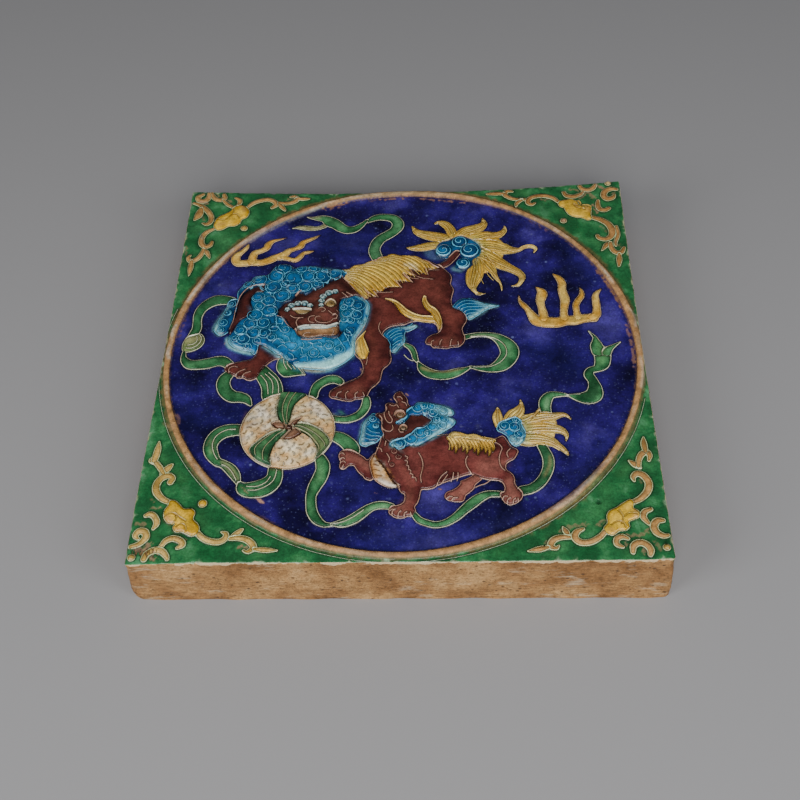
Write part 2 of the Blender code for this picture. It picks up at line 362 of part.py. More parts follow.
def corner_scrolls():
    """Lotus scrolls in the four corners: a lobed flower, curling arms, leaves and buds."""
    front_left = (
        [(-90.9, -77), (-86.8, -78.4), (-81.5, -80.7), (-79.8, -84.6), (-77.6, -89), (-79.4, -93.2),
         (-85.4, -91.9), (-87.8, -88.3), (-91.6, -86), (-92.3, -81.3)],
        stroke((-90.5, -77.8, 1.2), (-95.8, -74.2, 1.6), (-96.9, -69, 1.6), (-94.3, -65.2, 1.5),
               (-91.6, -68, 1.4)),
        stroke((-95.3, -63.8, 0.7), (-94, -61.8, 1.6), (-92.3, -59.3, 0.3)),
        stroke((-95.4, -63.5, 1.1), (-98.6, -58.6, 1.5), (-99.6, -52, 1.8), (-99.4, -47.6, 0.2)),
        stroke((-78.3, -91.3, 1.3), (-73.2, -95.6, 1.6), (-67.5, -95.4, 1.5), (-66.2, -93, 1.2),
               (-68.6, -92, 0.4)),
        stroke((-64.3, -94, 0.7), (-62.3, -92.2, 1.4), (-60.3, -90.3, 0.3)),
        stroke((-64.8, -94.6, 1), (-58.2, -95, 1.5), (-54.2, -99, 1.7), (-46.2, -99.9, 0.2)),
        stroke((-98.4, -83.9, 1.4), (-95.6, -84, 1.4), (-95.6, -89.6, 0.8)),
        stroke((-91, -97, 1.1), (-88, -94.2, 1.4), (-83.5, -95.4, 1.5), (-84.5, -98.3, 0.9)),
        stroke((-102.6, -97.3, 1), (-98.2, -95, 1.6), (-98.8, -90.8, 1.7), (-101.9, -92.4, 1.5)),
        stroke((-97.1, -102.5, 1.5), (-94.8, -99.2, 1.6), (-90.5, -100, 1.6), (-88.3, -102.6, 1.1)),
        disc(-101.7, -101.6, 1.5, 6),
        disc(-77.1, -77.8, 2, 7))
    front_right = (
        [(90.2, -78), (91.5, -82), (92.6, -86), (88.9, -88.5), (87.8, -91.8), (82, -94.3), (79, -90.8),
         (81.2, -87.2), (80.9, -83.5), (85.5, -80.7)],
        stroke((90.6, -79.6, 1.2), (96.3, -75.6, 1.6), (98, -69.5, 1.6), (95, -65.6, 1.6), (92.5, -68.8, 0.8)),
        stroke((95.3, -62.6, 0.7), (93.6, -61.4, 1.6), (91.6, -59.6, 0.3)),
        stroke((95.2, -62.3, 1.1), (96.6, -57.2, 1.5), (98.9, -52.8, 1.8), (98.8, -47.8, 0.2)),
        stroke((79.4, -92.2, 1.2), (74, -96.8, 1.5), (68.2, -97.2, 1.6), (67.8, -92.9, 1.6), (70.9, -91.3, 0.8)),
        stroke((64.8, -94.2, 0.8), (64.2, -92.3, 1.3), (63.2, -90.3, 0.3)),
        stroke((65.3, -95, 0.9), (60, -95.8, 1.5), (56.2, -99.4, 1.7), (49.3, -101, 0.3)),
        stroke((97.2, -83.1, 1.2), (94.4, -85.8, 1.4), (95.8, -89.4, 0.8)),
        stroke((101.3, -88.2, 1.2), (98.1, -89.6, 1.7), (99.6, -94.2, 1.6), (102.2, -94.9, 1.1)),
        stroke((84.9, -99.4, 0.7), (82.8, -97.4, 1.2), (84.4, -95.4, 1.3), (87.2, -95.7, 0.8)),
        stroke((88.8, -101.3, 1.1), (90, -98.2, 1.5), (93.8, -98.6, 1.6), (95.1, -102.4, 1.3)),
        disc(100.9, -99.6, 1.6, 6))
    back_left = (
        [(-83, 93), (-86, 88.6), (-90, 84.6), (-91.6, 79.6), (-88.6, 77), (-81.3, 80.1), (-78.2, 84),
         (-75.6, 90), (-78, 94)],
        stroke((-76.6, 93, 1), (-71.6, 97.4, 1.5), (-65.4, 98.2, 1.5), (-62.8, 94.6, 1.4), (-65.2, 92.8, 0.9)),
        stroke((-61.6, 95.4, 0.8), (-59.8, 93.4, 1.3), (-58, 90.9, 0.3)),
        stroke((-61.5, 96.3, 1), (-55.4, 96.8, 1.3), (-51.8, 99.4, 1.6), (-46.8, 99.5, 0.3)),
        stroke((-91.6, 78, 1), (-95.9, 74, 1.4), (-96, 67.8, 1.5), (-93.2, 66, 1.4), (-91.3, 69.2, 1.2)),
        stroke((-94.6, 64.6, 0.7), (-92.7, 62, 1.4), (-91.2, 58.8, 0.3)),
        stroke((-94.8, 64.3, 1), (-96.6, 59.2, 1.4), (-99.5, 54, 1.8), (-99.7, 47.6, 0.2)),
        stroke((-88.9, 101.2, 1.2), (-88.4, 98, 1.5), (-92, 98.2, 1.4), (-94.8, 101.6, 1.1)),
        stroke((-88.8, 97.5, 1), (-86.3, 94.5, 1.2), (-83.5, 92.8, 1)),
        stroke((-83, 99, 0.9), (-80.7, 97, 1.3), (-82, 93.6, 1)),
        stroke((-99.3, 100.9, 1.1), (-101.3, 97.8, 1.6), (-97.4, 97.3, 1.6), (-96.3, 101.4, 1.2)),
        stroke((-102.8, 95.3, 1), (-97.4, 91.8, 1.6), (-93.4, 86.6, 1.4), (-94.2, 81.4, 1.3), (-97, 81.7, 0.6)),
        stroke((-99, 91.6, 1.2), (-99.6, 88, 2.4), (-101.5, 84, 0.6)),
        disc(-76.4, 78.1, 2, 7))
    back_right = (
        [(74, 91.4), (76.4, 93.3), (82, 92.2), (85, 88.9), (90, 87.4), (89.5, 81.6), (87.6, 78.9),
         (81.6, 81), (77.6, 85.5), (74.8, 89.6)],
        stroke((74, 92.6, 1), (69.4, 96.5, 1.4), (62, 96.7, 1.4), (59.7, 93, 1.4), (62.7, 92.5, 0.8)),
        stroke((58, 95.3, 1.2), (52, 96.6, 1.3), (48, 99.8, 1.6), (40.3, 100.2, 0.3)),
        stroke((56.5, 94.6, 0.9), (54.3, 92.9, 1.2), (53.9, 90.4, 0.3)),
        stroke((89.5, 80.7, 1.4), (95.8, 77, 1.9), (98.4, 71.5, 2.4), (96.4, 66.6, 1.7), (91, 68.4, 1.2)),
        stroke((99.6, 69, 1), (98.4, 62.6, 0.8)),
        stroke((96.2, 64, 0.7), (94, 61.8, 1.5), (92, 59.4, 0.3)),
        stroke((96.4, 63.4, 1.2), (97.8, 58.4, 1.6), (99.6, 53.6, 1.8), (98.9, 49.2, 0.3)),
        stroke((97.5, 86.1, 1.3), (93.6, 85.4, 1.5), (93, 91.4, 1)),
        stroke((77.2, 98.2, 1.2), (80.4, 95.2, 1.5), (86.2, 97.3, 1.1)),
        stroke((85.3, 101.5, 1.2), (87.2, 99.2, 1.5), (90.6, 99.4, 1.5), (92.4, 101.5, 1.2)),
        stroke((101.9, 98, 1.1), (96.6, 97.2, 1.7), (96.6, 92.6, 1.6), (100.9, 93.8, 1.1)),
        disc(98.3, 101.2, 1.4, 6),
        disc(75.3, 78.9, 1.8, 7))
    share = corner_unit / unit
    return [([(x*share, y*share) for x, y in outline], scroll_height if i else flower_height)
            for corner in (front_left, front_right, back_left, back_right)
            for i, outline in enumerate(corner)]


def raised_shapes(figures):
    """One mesh object of every outline as an upright block that reaches into the slab."""
    blocks = bmesh.new()
    for number, (outline, height) in enumerate(figures):
        # Touching figures of one kind differ a little in height, so no two tops lie in one plane
        top = height + height_step * (number % 7)
        low = -root_depth - height_step * (number % 11)
        curve = bpy.data.curves.new("outline", "CURVE")
        curve.dimensions = "2D"
        curve.fill_mode = "BOTH"
        curve.extrude = (top - low) / 2
        spline = curve.splines.new("POLY")
        spline.points.add(len(outline) - 1)
        for point, (x, y) in zip(spline.points, outline):
            point.co = (x*unit + ring_shift[0], y*unit + ring_shift[1], 0, 1)
        spline.use_cyclic_u = True
        drawn = bpy.data.objects.new("outline", curve)
        cutter_collection.objects.link(drawn)
        drawn.location.z = thickness + (top + low) / 2
        mesh = baked(drawn)
        mesh.transform(drawn.matrix_world)
        blocks.from_mesh(mesh)
        bpy.data.objects.remove(drawn)
        bpy.data.curves.remove(curve)
        bpy.data.meshes.remove(mesh)
    bmesh.ops.remove_doubles(blocks, verts=blocks.verts, dist=1e-7)
    bmesh.ops.recalc_face_normals(blocks, faces=blocks.faces)
    mesh = bpy.data.meshes.new("figures")
    blocks.to_mesh(mesh)
    blocks.free()
    shapes = bpy.data.objects.new("figures", mesh)
    cutter_collection.objects.link(shapes)
    return shapes


def turned(name, profile, steps, place):
    """A profile turned about an upright axis by a Screw modifier."""
    mesh = bpy.data.meshes.new(name)
    mesh.from_pydata([(r, 0, z) for r, z in profile], [(i, i + 1) for i in range(len(profile) - 1)], [])
    shape = bpy.data.objects.new(name, mesh)
    shape.location = place
    cutter_collection.objects.link(shape)
    screw = shape.modifiers.new("turn", "SCREW")
    screw.steps = screw.render_steps = steps
    screw.use_merge_vertices = True
    screw.merge_threshold = 0.00001
    return shape


def ring():
    """The rounded band around the picture."""
    inner, outer = roundel_radius, roundel_radius + ring_width
    middle = (inner + outer) / 2
    shoulder = ring_height * 0.72
    profile = [(middle, ring_height), (outer - ring_width*0.13, shoulder), (outer, -root_depth),
               (inner, -root_depth), (inner + ring_width*0.13, shoulder), (middle, ring_height)]
    return turned("ring", profile, ring_steps, (*ring_shift, thickness))


def ball():
    """The ball as a low dome."""
    radius, levels = 19.5 * unit, 3
    profile = [(radius * sin(pi/2 * i/levels), ball_rise * (0.35 + 0.65*cos(pi/2 * i/levels)))
               for i in range(levels + 1)] + [(radius, -root_depth), (0, -root_depth)]
    return turned("ball", profile, 22, (ring_shift[0] - 46.4*unit, ring_shift[1] - 42.2*unit, thickness))


def slab():
    """The tile's block: a grid for its top, its walls spread towards the bottom."""
    bpy.ops.mesh.primitive_grid_add(x_subdivisions=top_cells, y_subdivisions=top_cells, size=side,
                                    location=(0, 0, thickness))
    block = bpy.context.object
    block.name = block.data.name = "tile"
    bpy.ops.object.transform_apply(location=True)
    shape = bmesh.new()
    shape.from_mesh(block.data)
    rim = [edge for edge in shape.edges if edge.is_boundary]
    walls = bmesh.ops.extrude_edge_only(shape, edges=rim)
    low = [item for item in walls["geom"] if isinstance(item, bmesh.types.BMVert)]
    foot = (side + 2*wall_spread) / side
    for vert in low:
        vert.co = Vector((vert.co.x * foot, vert.co.y * foot, 0))
    bmesh.ops.holes_fill(shape, edges=[edge for edge in shape.edges if edge.is_boundary], sides=0)
    bmesh.ops.recalc_face_normals(shape, faces=shape.faces)
    shape.to_mesh(block.data)
    shape.free()
    for collection in list(block.users_collection):
        collection.objects.unlink(block)
    part_collection.objects.link(block)
    return block


def join(block, shape, crossing):
    """Union of the tile with one shape, whose own pieces may cross each other."""
    union = block.modifiers.new(shape.name, "BOOLEAN")
    union.operation = "UNION"
    union.object = shape
    union.solver = "EXACT"
    union.use_self = crossing
    mesh = baked(block)
    block.modifiers.clear()
    block.data = mesh
    bpy.data.objects.remove(shape)


def raise_corners(block):
    """Warp of the drying clay: each corner of the top rises, the underside stays flat."""
    shape = bmesh.new()
    shape.from_mesh(block.data)
    bmesh.ops.remove_doubles(shape, verts=shape.verts, dist=2e-6)
    bmesh.ops.dissolve_degenerate(shape, edges=shape.edges, dist=2e-6)
    straight = [vert for vert in shape.verts if len(vert.link_edges) == 2
                and (vert.link_edges[0].other_vert(vert).co - vert.co).angle(
                    vert.co - vert.link_edges[1].other_vert(vert).co) < 0.001]
    bmesh.ops.dissolve_verts(shape, verts=straight)
    bmesh.ops.triangulate(shape, faces=shape.faces)
    for vert in shape.verts:
        u, v = vert.co.x / (side/2), vert.co.y / (side/2)
        lift = sum(rise * max(0.0, sx*u)**2 * max(0.0, sy*v)**2
                   for (sx, sy), rise in corner_lifts.items())
        vert.co.z += lift * min(vert.co.z / thickness, 1.0)
    shape.to_mesh(block.data)
    shape.free()


tile = slab()
join(tile, ring(), False)
join(tile, ball(), False)
join(tile, raised_shapes(ribbons() + flames() + big_tail() + cub_tail() + big_body() + back_locks()
                         + big_head() + cub() + ball_bands() + corner_scrolls()), True)
raise_corners(tile)

# Lead glaze over buff clay, seen from afar as a dark blue-green
glaze = bpy.data.materials.new("lead_glazed_clay")
glaze.use_nodes = True
shader = glaze.node_tree.nodes["Principled BSDF"]
shader.inputs["Base Color"].default_value = (0.055, 0.075, 0.11, 1)
shader.inputs["Roughness"].default_value = 0.3
shader.inputs["Metallic"].default_value = 0.0
tile.data.materials.clear()
tile.data.materials.append(glaze)
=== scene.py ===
import json
import math
import random

import mathutils
import bpy
import numpy as np
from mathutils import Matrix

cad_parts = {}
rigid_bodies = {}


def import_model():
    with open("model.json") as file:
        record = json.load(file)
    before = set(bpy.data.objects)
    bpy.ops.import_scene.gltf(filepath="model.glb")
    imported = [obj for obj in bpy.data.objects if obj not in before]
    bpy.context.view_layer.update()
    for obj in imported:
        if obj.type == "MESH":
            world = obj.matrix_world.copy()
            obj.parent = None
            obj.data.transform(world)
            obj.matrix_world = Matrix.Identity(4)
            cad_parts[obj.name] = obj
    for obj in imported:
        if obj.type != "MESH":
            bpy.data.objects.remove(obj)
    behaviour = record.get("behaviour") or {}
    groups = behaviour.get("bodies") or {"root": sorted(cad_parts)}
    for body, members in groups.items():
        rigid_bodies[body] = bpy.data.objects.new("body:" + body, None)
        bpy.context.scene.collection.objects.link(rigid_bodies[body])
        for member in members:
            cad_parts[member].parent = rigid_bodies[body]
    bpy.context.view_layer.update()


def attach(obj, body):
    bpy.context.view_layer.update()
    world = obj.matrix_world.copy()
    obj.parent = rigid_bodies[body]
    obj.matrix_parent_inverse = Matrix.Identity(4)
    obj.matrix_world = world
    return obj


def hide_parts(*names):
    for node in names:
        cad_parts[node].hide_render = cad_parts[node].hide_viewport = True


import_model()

# The clay slab. A thick square of buff clay, pressed face up, with walls that lean out towards the
# bottom and corners that rose a little in drying. Its picture is worked first, on a fine net of the
# top face: places in hundredths of the roundel's radius, heights and the slab in millimetres.
SIDE = 300.0
THICK = 35.5
FOOT = 2.9                      # how far each wall leans out at the bottom
CELL = 0.25                     # the net's spacing, a little over half a clay thread's width
CORNER_LIFTS = {(-1, 1): 4.7, (1, 1): 7.2, (1, -1): 1.4}
UNIT = 1.442                    # a hundredth of the roundel's inner radius
MIDDLE = (0.4, 1.2)             # the roundel sits a little off the tile's middle

count = round(SIDE / CELL) + 1
net_mm = np.linspace(-SIDE/2, SIDE/2, count)
across = (net_mm - MIDDLE[0]) / UNIT
upward = (net_mm - MIDDLE[1]) / UNIT

relief = np.zeros((count, count))           # millimetres above the slab
tint = np.zeros((count, count, 3))          # the glaze's own colour
slip = np.ones((count, count, 3))           # the colour of the nearest clay thread
thread_gap = np.full((count, count), 3.0)   # millimetres from that thread's side, below 0 on it
cobalt = np.zeros((count, count))           # 1 where the glaze is the cobalt ground
copper = np.zeros((count, count))           # 1 where it is the copper-green ground
pooled = np.zeros((count, count))           # 1 where glaze gathered at a figure's foot, with painted shade laid there too
bare = np.zeros((count, count))             # 1 where the clay lies open

# The roundel's ground. Cobalt-blue glaze over the whole disc, copper-green glaze in the
# four corners outside it, both flooded over the pressed face before the figures get their own.


def linear(code):
    """An sRGB hex colour as linear values."""
    parts = [int(code[i:i + 2], 16) / 255 for i in (1, 3, 5)]
    return np.array([c / 12.92 if c <= 0.04045 else ((c + 0.055) / 1.055) ** 2.4 for c in parts])


def mix(a, b, share):
    return a + (b - a) * share


def swell(size, seed):
    """A smooth unevenness of the whole net, from -1 to 1, with swells of a size in millimetres."""
    knots = np.random.default_rng(seed).uniform(-1, 1, (int(340/size) + 3,) * 2)
    along = (net_mm + 170) / size
    knot = along.astype(int)
    past = along - knot
    past = past*past*(3 - 2*past)
    i, j, s, t = knot[:, None], knot[None, :], past[:, None], past[None, :]
    return mix(mix(knots[i, j], knots[i, j + 1], t), mix(knots[i + 1, j], knots[i + 1, j + 1], t), s)


tone = 0.7*swell(8.0, 31) + 0.5*swell(3.4, 32)      # where a glaze runs thin or thick
COBALT = "#1d1866"
CORNER_GREEN = "#2a7241"
BLUE_RADIUS = 100.4             # where the blue ends and the green begins, under the ring
from_middle = np.hypot(across[None, :], upward[:, None])
in_ring = np.clip((BLUE_RADIUS - from_middle) / 0.3 + 0.5, 0, 1)
tint[:] = mix(linear(CORNER_GREEN), linear(COBALT), in_ring[..., None])
cobalt[:] = in_ring
copper[:] = 1 - in_ring
relief += 0.16*swell(19.0, 1) + 0.09*swell(6.5, 2) + 0.035*swell(2.4, 3)

# The ribbons. Flat silk bands in green glaze between trailed threads, blown about the ground.
# They wind from the lion to the ball and from the ball to the cub, and each fold has a line.


def cells(points, reach):
    """The rows and columns of the net around some points."""
    xs, ys = [p[0] for p in points], [p[1] for p in points]
    cols = np.searchsorted(across, (min(xs) - reach, max(xs) + reach))
    rows = np.searchsorted(upward, (min(ys) - reach, max(ys) + reach))
    return slice(*rows), slice(*cols)


def eased(points, closed=False, steps=6):
    """A smooth line through the points; a third or fourth value of 1 leaves a point sharp."""
    size = len(points)
    line = []
    for i in range(size if closed else size - 1):
        a, b = points[i], points[(i + 1) % size]
        before = points[i - 1] if closed or i else a
        after = points[(i + 2) % size] if closed or i + 2 < size else b
        pull_a = 0.0 if len(a) > 3 and a[3] else 0.5
        pull_b = 0.0 if len(b) > 3 and b[3] else 0.5
        for k in range(steps):
            t = k / steps
            h = (2*t**3 - 3*t**2 + 1, t**3 - 2*t**2 + t, 3*t**2 - 2*t**3, t**3 - t**2)
            line.append(tuple(h[0]*a[j] + h[1]*pull_a*(b[j] - before[j])
                              + h[2]*b[j] + h[3]*pull_b*(after[j] - a[j]) for j in range(3)))
    line.append(line[0] if closed else tuple(points[-1][:3]))
    return line


def beyond(line, reach):
    """How far the net's points lie outside a line of given half widths, up to a reach."""
    widest = max(p[2] for p in line)
    rows, cols = cells(line, reach + widest)
    field = np.full((rows.stop - rows.start, cols.stop - cols.start), float(reach))
    for (ax, ay, ar), (bx, by, br) in zip(line, line[1:]):
        r, c = cells(((ax, ay), (bx, by)), reach + widest)
        x, y = across[c][None, :], upward[r][:, None]
        dx, dy = bx - ax, by - ay
        t = np.clip(((x - ax)*dx + (y - ay)*dy) / max(dx*dx + dy*dy, 1e-9), 0, 1)
        gap = np.hypot(x - ax - t*dx, y - ay - t*dy) - (ar + t*(br - ar))
        part = field[r.start - rows.start:r.stop - rows.start, c.start - cols.start:c.stop - cols.start]
        np.minimum(part, gap, out=part)
    return (rows, cols), field


def enclosed(line, reach):
    """The same for a closed outline: negative inside it."""
    place, field = beyond(line, reach)
    rows, cols = place
    x, y = across[cols][None, :], upward[rows]
    within = np.zeros(field.shape, bool)
    for (ax, ay, _), (bx, by, _) in zip(line, line[1:]):
        if ay == by:
            continue
        cross = (ay > y) != (by > y)
        at = ax + (y[cross] - ay) * (bx - ax) / (by - ay)
        within[cross] ^= x < at[:, None]
    return place, np.where(within, -field, field)


def flood(place, field, glaze, rise, dome, width):
    """Presses one figure up and floods it with glaze that pools dark where its rim is low."""
    deep, plain, thin = (linear(code) for code in glaze)
    cover = np.clip(0.5 - field / 0.3, 0, 1)
    depth = np.clip(-field, 0, None)
    crown = 1 - (1 - np.clip(depth / width, 0, 1))**2
    shoulder = np.clip(depth / 0.9, 0, 1)
    height = rise * shoulder*shoulder*(3 - 2*shoulder) + dome * crown
    relief[place] = mix(relief[place], height, cover)
    near_rim = np.exp(-depth / 0.9)[..., None]
    flow = tone[place][..., None]
    colour = mix(mix(plain, thin, 0.6*crown[..., None]**2), deep, 0.75*near_rim)
    colour = mix(mix(colour, thin, np.clip(flow, 0, 0.6)), deep, np.clip(-flow, 0, 0.6))
    tint[place] = mix(tint[place], colour, cover[..., None])
    for mask, value in ((cobalt, 0.0), (copper, 0.0), (bare, 0.0), (thread_gap, 3.0)):
        mask[place] = mix(mask[place], value, cover)
    # Painted shade round the figure's foot, laid together with the glaze that pools there
    foot = np.exp(-np.clip(field, 0, None) * UNIT / 0.75)
    pooled[place] = np.maximum(pooled[place], foot) * (1 - cover)


def wash(line, code, strength, soft=1.5, blue=0.0):
    """Lets a soft patch of another colour run over what is there."""
    place, field = beyond(eased(line), soft)
    share = np.clip(0.5 - field / (2*soft), 0, 1)
    share = share*share*(3 - 2*share) * strength
    tint[place] = mix(tint[place], linear(code), share[..., None])
    cobalt[place] = mix(cobalt[place], blue, share)
    copper[place] = mix(copper[place], 0.0, share)


THREAD = 0.15                   # half a clay thread's width, 0.22 mm
THREAD_RISE = 0.45


def thread(line, code, width=THREAD, rise=THREAD_RISE, steps=5):
    """Trails a thin raised thread of slip, which stands pale through the glaze."""
    run = eased([(p[0], p[1], 0.0) + tuple(p[2:3]) for p in line], steps=steps)
    lay_thread(*beyond(run, 1.2), code, width, rise)


def lay_thread(place, field, code, width=THREAD, rise=THREAD_RISE):
    near = np.abs(field)
    relief[place] += rise * np.sqrt(np.clip(1 - (near / (width + 0.2))**2, 0, 1))
    gap = (near - width) * UNIT
    closer = gap < thread_gap[place]
    slip[place] = np.where(closer[..., None], linear(code), slip[place])
    thread_gap[place] = np.minimum(thread_gap[place], gap)


def figure(points, glaze, edge, rise, dome=0.5, width=4.0, steps=5):
    """A closed figure: pressed, flooded and outlined with a thread."""
    outline = eased([(p[0], p[1], 0.0) + tuple(p[2:3]) for p in points], closed=True, steps=steps)
    place, field = enclosed(outline, 6.0)
    flood(place, field, glaze, rise, dome, width)
    if edge:
        lay_thread(place, field, edge)


def band(points, glaze, edge, rise, dome=0.35, steps=5, wide=THREAD):
    """A figure drawn as one brush stroke, each point with half its width."""
    line = eased(points, steps=steps)
    place, field = beyond(line, 2.0)
    widest = max(p[2] for p in line)
    flood(place, field, glaze, rise, dome, max(widest, 0.6))
    if edge:
        lay_thread(place, field, edge, wide)


SILK = ("#06351e", "#2c7442", "#5f9c68")
SILK_THREAD = "#dfe2be"
RIBBON_RISE = 0.75
ribbons = (
    ((-12, 57, 2.6), (-13.5, 61, 2.7), (-13.6, 64.5, 2.6), (-12.5, 67.8, 2.7), (-10.5, 70.7, 2.6),
     (-7.5, 73, 2.6), (-4.6, 75.7, 2.5), (-3, 79, 2.8), (-3.5, 82, 2.7), (-5.6, 84.3, 2.5),
     (-9, 85.2, 2.2), (-12.2, 85.2, 2), (-15.2, 84, 1.6), (-17.4, 82.3, 0.9)),
    ((-17.8, 83.2, 0.6), (-19.2, 81.3, 1), (-21.2, 79, 1.5), (-24, 77, 2.1), (-27.3, 76.7, 2.4),
     (-30, 78.2, 2.7), (-32.7, 80.7, 3), (-35.3, 82.3, 3.2), (-38, 84.3, 2.2), (-41, 84.8, 1.6),
     (-44, 85, 0.7), (-46.5, 85.7, 0.2)),
    ((-77.5, 31.3, 2.2), (-80.5, 31.8, 2.6), (-84, 31.8, 2.9), (-87.5, 30, 2.7), (-90.2, 27, 2.4),
     (-91.6, 23, 2.1), (-91.6, 19, 1.9), (-91.3, 15, 2.1), (-92.3, 11.5, 2), (-94.3, 8.3, 1.2)),
    ((-95, 1, 0.8), (-95, -1.6, 1.1), (-94, -4, 1.8), (-91.6, -6, 2.5), (-88, -6.2, 2.6),
     (-84, -5.6, 2.8), (-80.5, -4.5, 2.7), (-77.5, -4.4, 2.7), (-75, -6, 2.3)),
    ((-74, -12, 2.2), (-75.5, -14.5, 2.7), (-75.8, -17.5, 2.9), (-74.3, -21.3, 3), (-71.3, -24, 3),
     (-68, -24.5, 2.7), (-65.2, -25.7, 2), (-63, -28.7, 0.6)),
    ((-60.5, -10, 3.4), (-56.5, -15.5, 4.2), (-54.8, -19.5, 4.4), (-54.3, -23.5, 4.5)),
    ((1.8, 3.6, 1), (4, 1.8, 1.3), (5.3, -1.2, 1.2), (5.9, -4, 1.1), (7.2, -6.8, 0.4)),
    ((7.2, -6.4, 0.4), (9, -10, 1.9), (12, -12.6, 2.4), (16, -13.7, 2.3), (20, -13.5, 2.3),
     (24, -12, 2), (28, -10.2, 0.9), (29.5, -9.3, 0.3)),
    ((27.8, 7.8, 1.3), (32.5, 9, 1.1), (38, 8.8, 1.4), (42.7, 6.2, 2.6), (46, 1.5, 3.9),
     (46.2, -3, 3.9), (43, -8, 3.4), (38.5, -10.3, 2), (34, -10.2, 1.3), (29.5, -9.3, 0.5)),
    ((-65.5, -41.8, 2.6), (-69, -41.8, 3), (-73, -42.8, 3.2), (-76, -45.5, 3.1), (-77.4, -49.5, 2.8),
     (-76.6, -53.5, 2.7), (-74, -57.5, 2), (-71, -59, 1.9), (-68.2, -61.2, 2.3), (-65.8, -64.4, 2.1),
     (-64.2, -68, 1), (-63.7, -70, 0.5)),
    ((-63.2, -68.8, 1.2), (-61.6, -71, 2.8), (-58.5, -71.5, 3.7), (-54.5, -70.7, 4.1),
     (-51.3, -68.5, 3.8), (-49.8, -65.5, 3.2), (-49.8, -61, 2.8)),
    ((-36.8, -24, 1.9), (-36.5, -21.5, 1.9), (-35.4, -18.7, 2.1), (-33, -16.5, 2.2),
     (-30.5, -15.4, 2.3), (-28, -15.4, 2.1), (-26, -16.7, 1.7)),
    ((-28, -36.4, 1.6), (-24, -36.9, 1.5), (-20.5, -36.4, 1.8), (-17.4, -34.7, 1.9),
     (-15.3, -32, 1.9), (-14.4, -29, 1.9), (-14.5, -26, 1.5)),
    ((-28.3, -44.9, 2), (-24.8, -46.2, 2.8), (-22, -48.3, 3), (-19.8, -51, 3.1), (-18.8, -53, 2.6)),
    ((-32.8, -55, 1.9), (-31, -59, 2.7), (-30.7, -62.4, 2.8), (-31.7, -66.3, 2.9), (-33.4, -70.3, 2.6),
     (-34.5, -74.2, 2.1), (-34.4, -78, 2), (-33.7, -82, 2.1), (-31.7, -85.6, 1.9), (-28.8, -87.8, 1.2),
     (-25.5, -88, 0.6)),
    ((-25.5, -87.8, 0.6), (-22.4, -87.5, 1.6), (-19.7, -86.6, 2), (-16.9, -85, 2.2),
     (-14.1, -82.7, 2.1), (-11.2, -80.4, 1.8), (-8.5, -79.3, 1.7), (-5.7, -79.2, 1.7), (-3, -79.8, 1.4)),
    ((6, -83.4, 1.1), (8, -86, 1.4), (11, -87.5, 1.4), (14.5, -88.3, 1.4), (18.3, -87.4, 1.5),
     (22, -85, 1.7), (25.3, -81.7, 1.9), (28.5, -78.7, 2.2), (31.8, -76, 2), (35.5, -74.4, 1.5),
     (40.3, -74.5, 1.2)),
    ((48.6, -72.9, 2.2), (52, -71.9, 2.1), (55.3, -69.4, 2.1), (57.8, -65.6, 2.1), (59.2, -61.5, 2.2),
     (59.3, -57.5, 2.2), (58.3, -54, 2), (57.2, -51.2, 1.9)),
    ((60.2, -35, 2), (59.7, -31.5, 2.4), (60.3, -28, 2.5), (62.3, -25.3, 1.9), (65.5, -24.8, 1.3),
     (69.7, -25.3, 0.6), (73, -26.2, 1.7), (77, -26.8, 3), (80.2, -25.6, 3.6), (81.2, -22, 2.9),
     (80.7, -18, 2.1), (79.3, -14.5, 2.1), (80.2, -12, 1.7), (83, -11, 1.8), (85.2, -8.7, 3),
     (85.9, -5.5, 3.4), (86, -2, 3.7)),
    ((84.5, -1.5, 2.9), (84, 1.5, 2.7), (83.9, 4, 1.7), (83.5, 6.8, 0.8), (81.3, 10.2, 0.15)),
    ((87.8, -2.5, 2), (89, -0.3, 1.6), (91, 1.4, 0.9), (94.3, 3.8, 0.2)),
)
band(((-53, 78, 0.2), (-50.5, 78.5, 0.8), (-47.5, 78.2, 1.4), (-44.5, 77.8, 1.4), (-41.5, 77.9, 1.2),
      (-39, 78.9, 1.1), (-37.3, 80.3, 1.2)), ("#8f8a58", "#a8a878", "#c3b68c"), SILK_THREAD, RIBBON_RISE)
for ribbon in ribbons:
    band(ribbon, SILK, SILK_THREAD, RIBBON_RISE)
figure(((-89, 11.5), (-87, 8), (-88.3, 3.8), (-92.5, 1.3), (-95.8, 1.8), (-96.3, 6), (-94.8, 9.5),
        (-91.8, 10.8)), ("#5d7a44", "#86915a", "#a9a676"), SILK_THREAD, RIBBON_RISE)
figure(((-52.5, -3.3), (-53.5, -5), (-53.8, -8), (-53, -10.5), (-50.5, -13.3), (-48, -13.5),
        (-45, -13), (-41, -12.5, 1), (-43, -9), (-45, -6), (-46, -1)), SILK, SILK_THREAD, RIBBON_RISE)
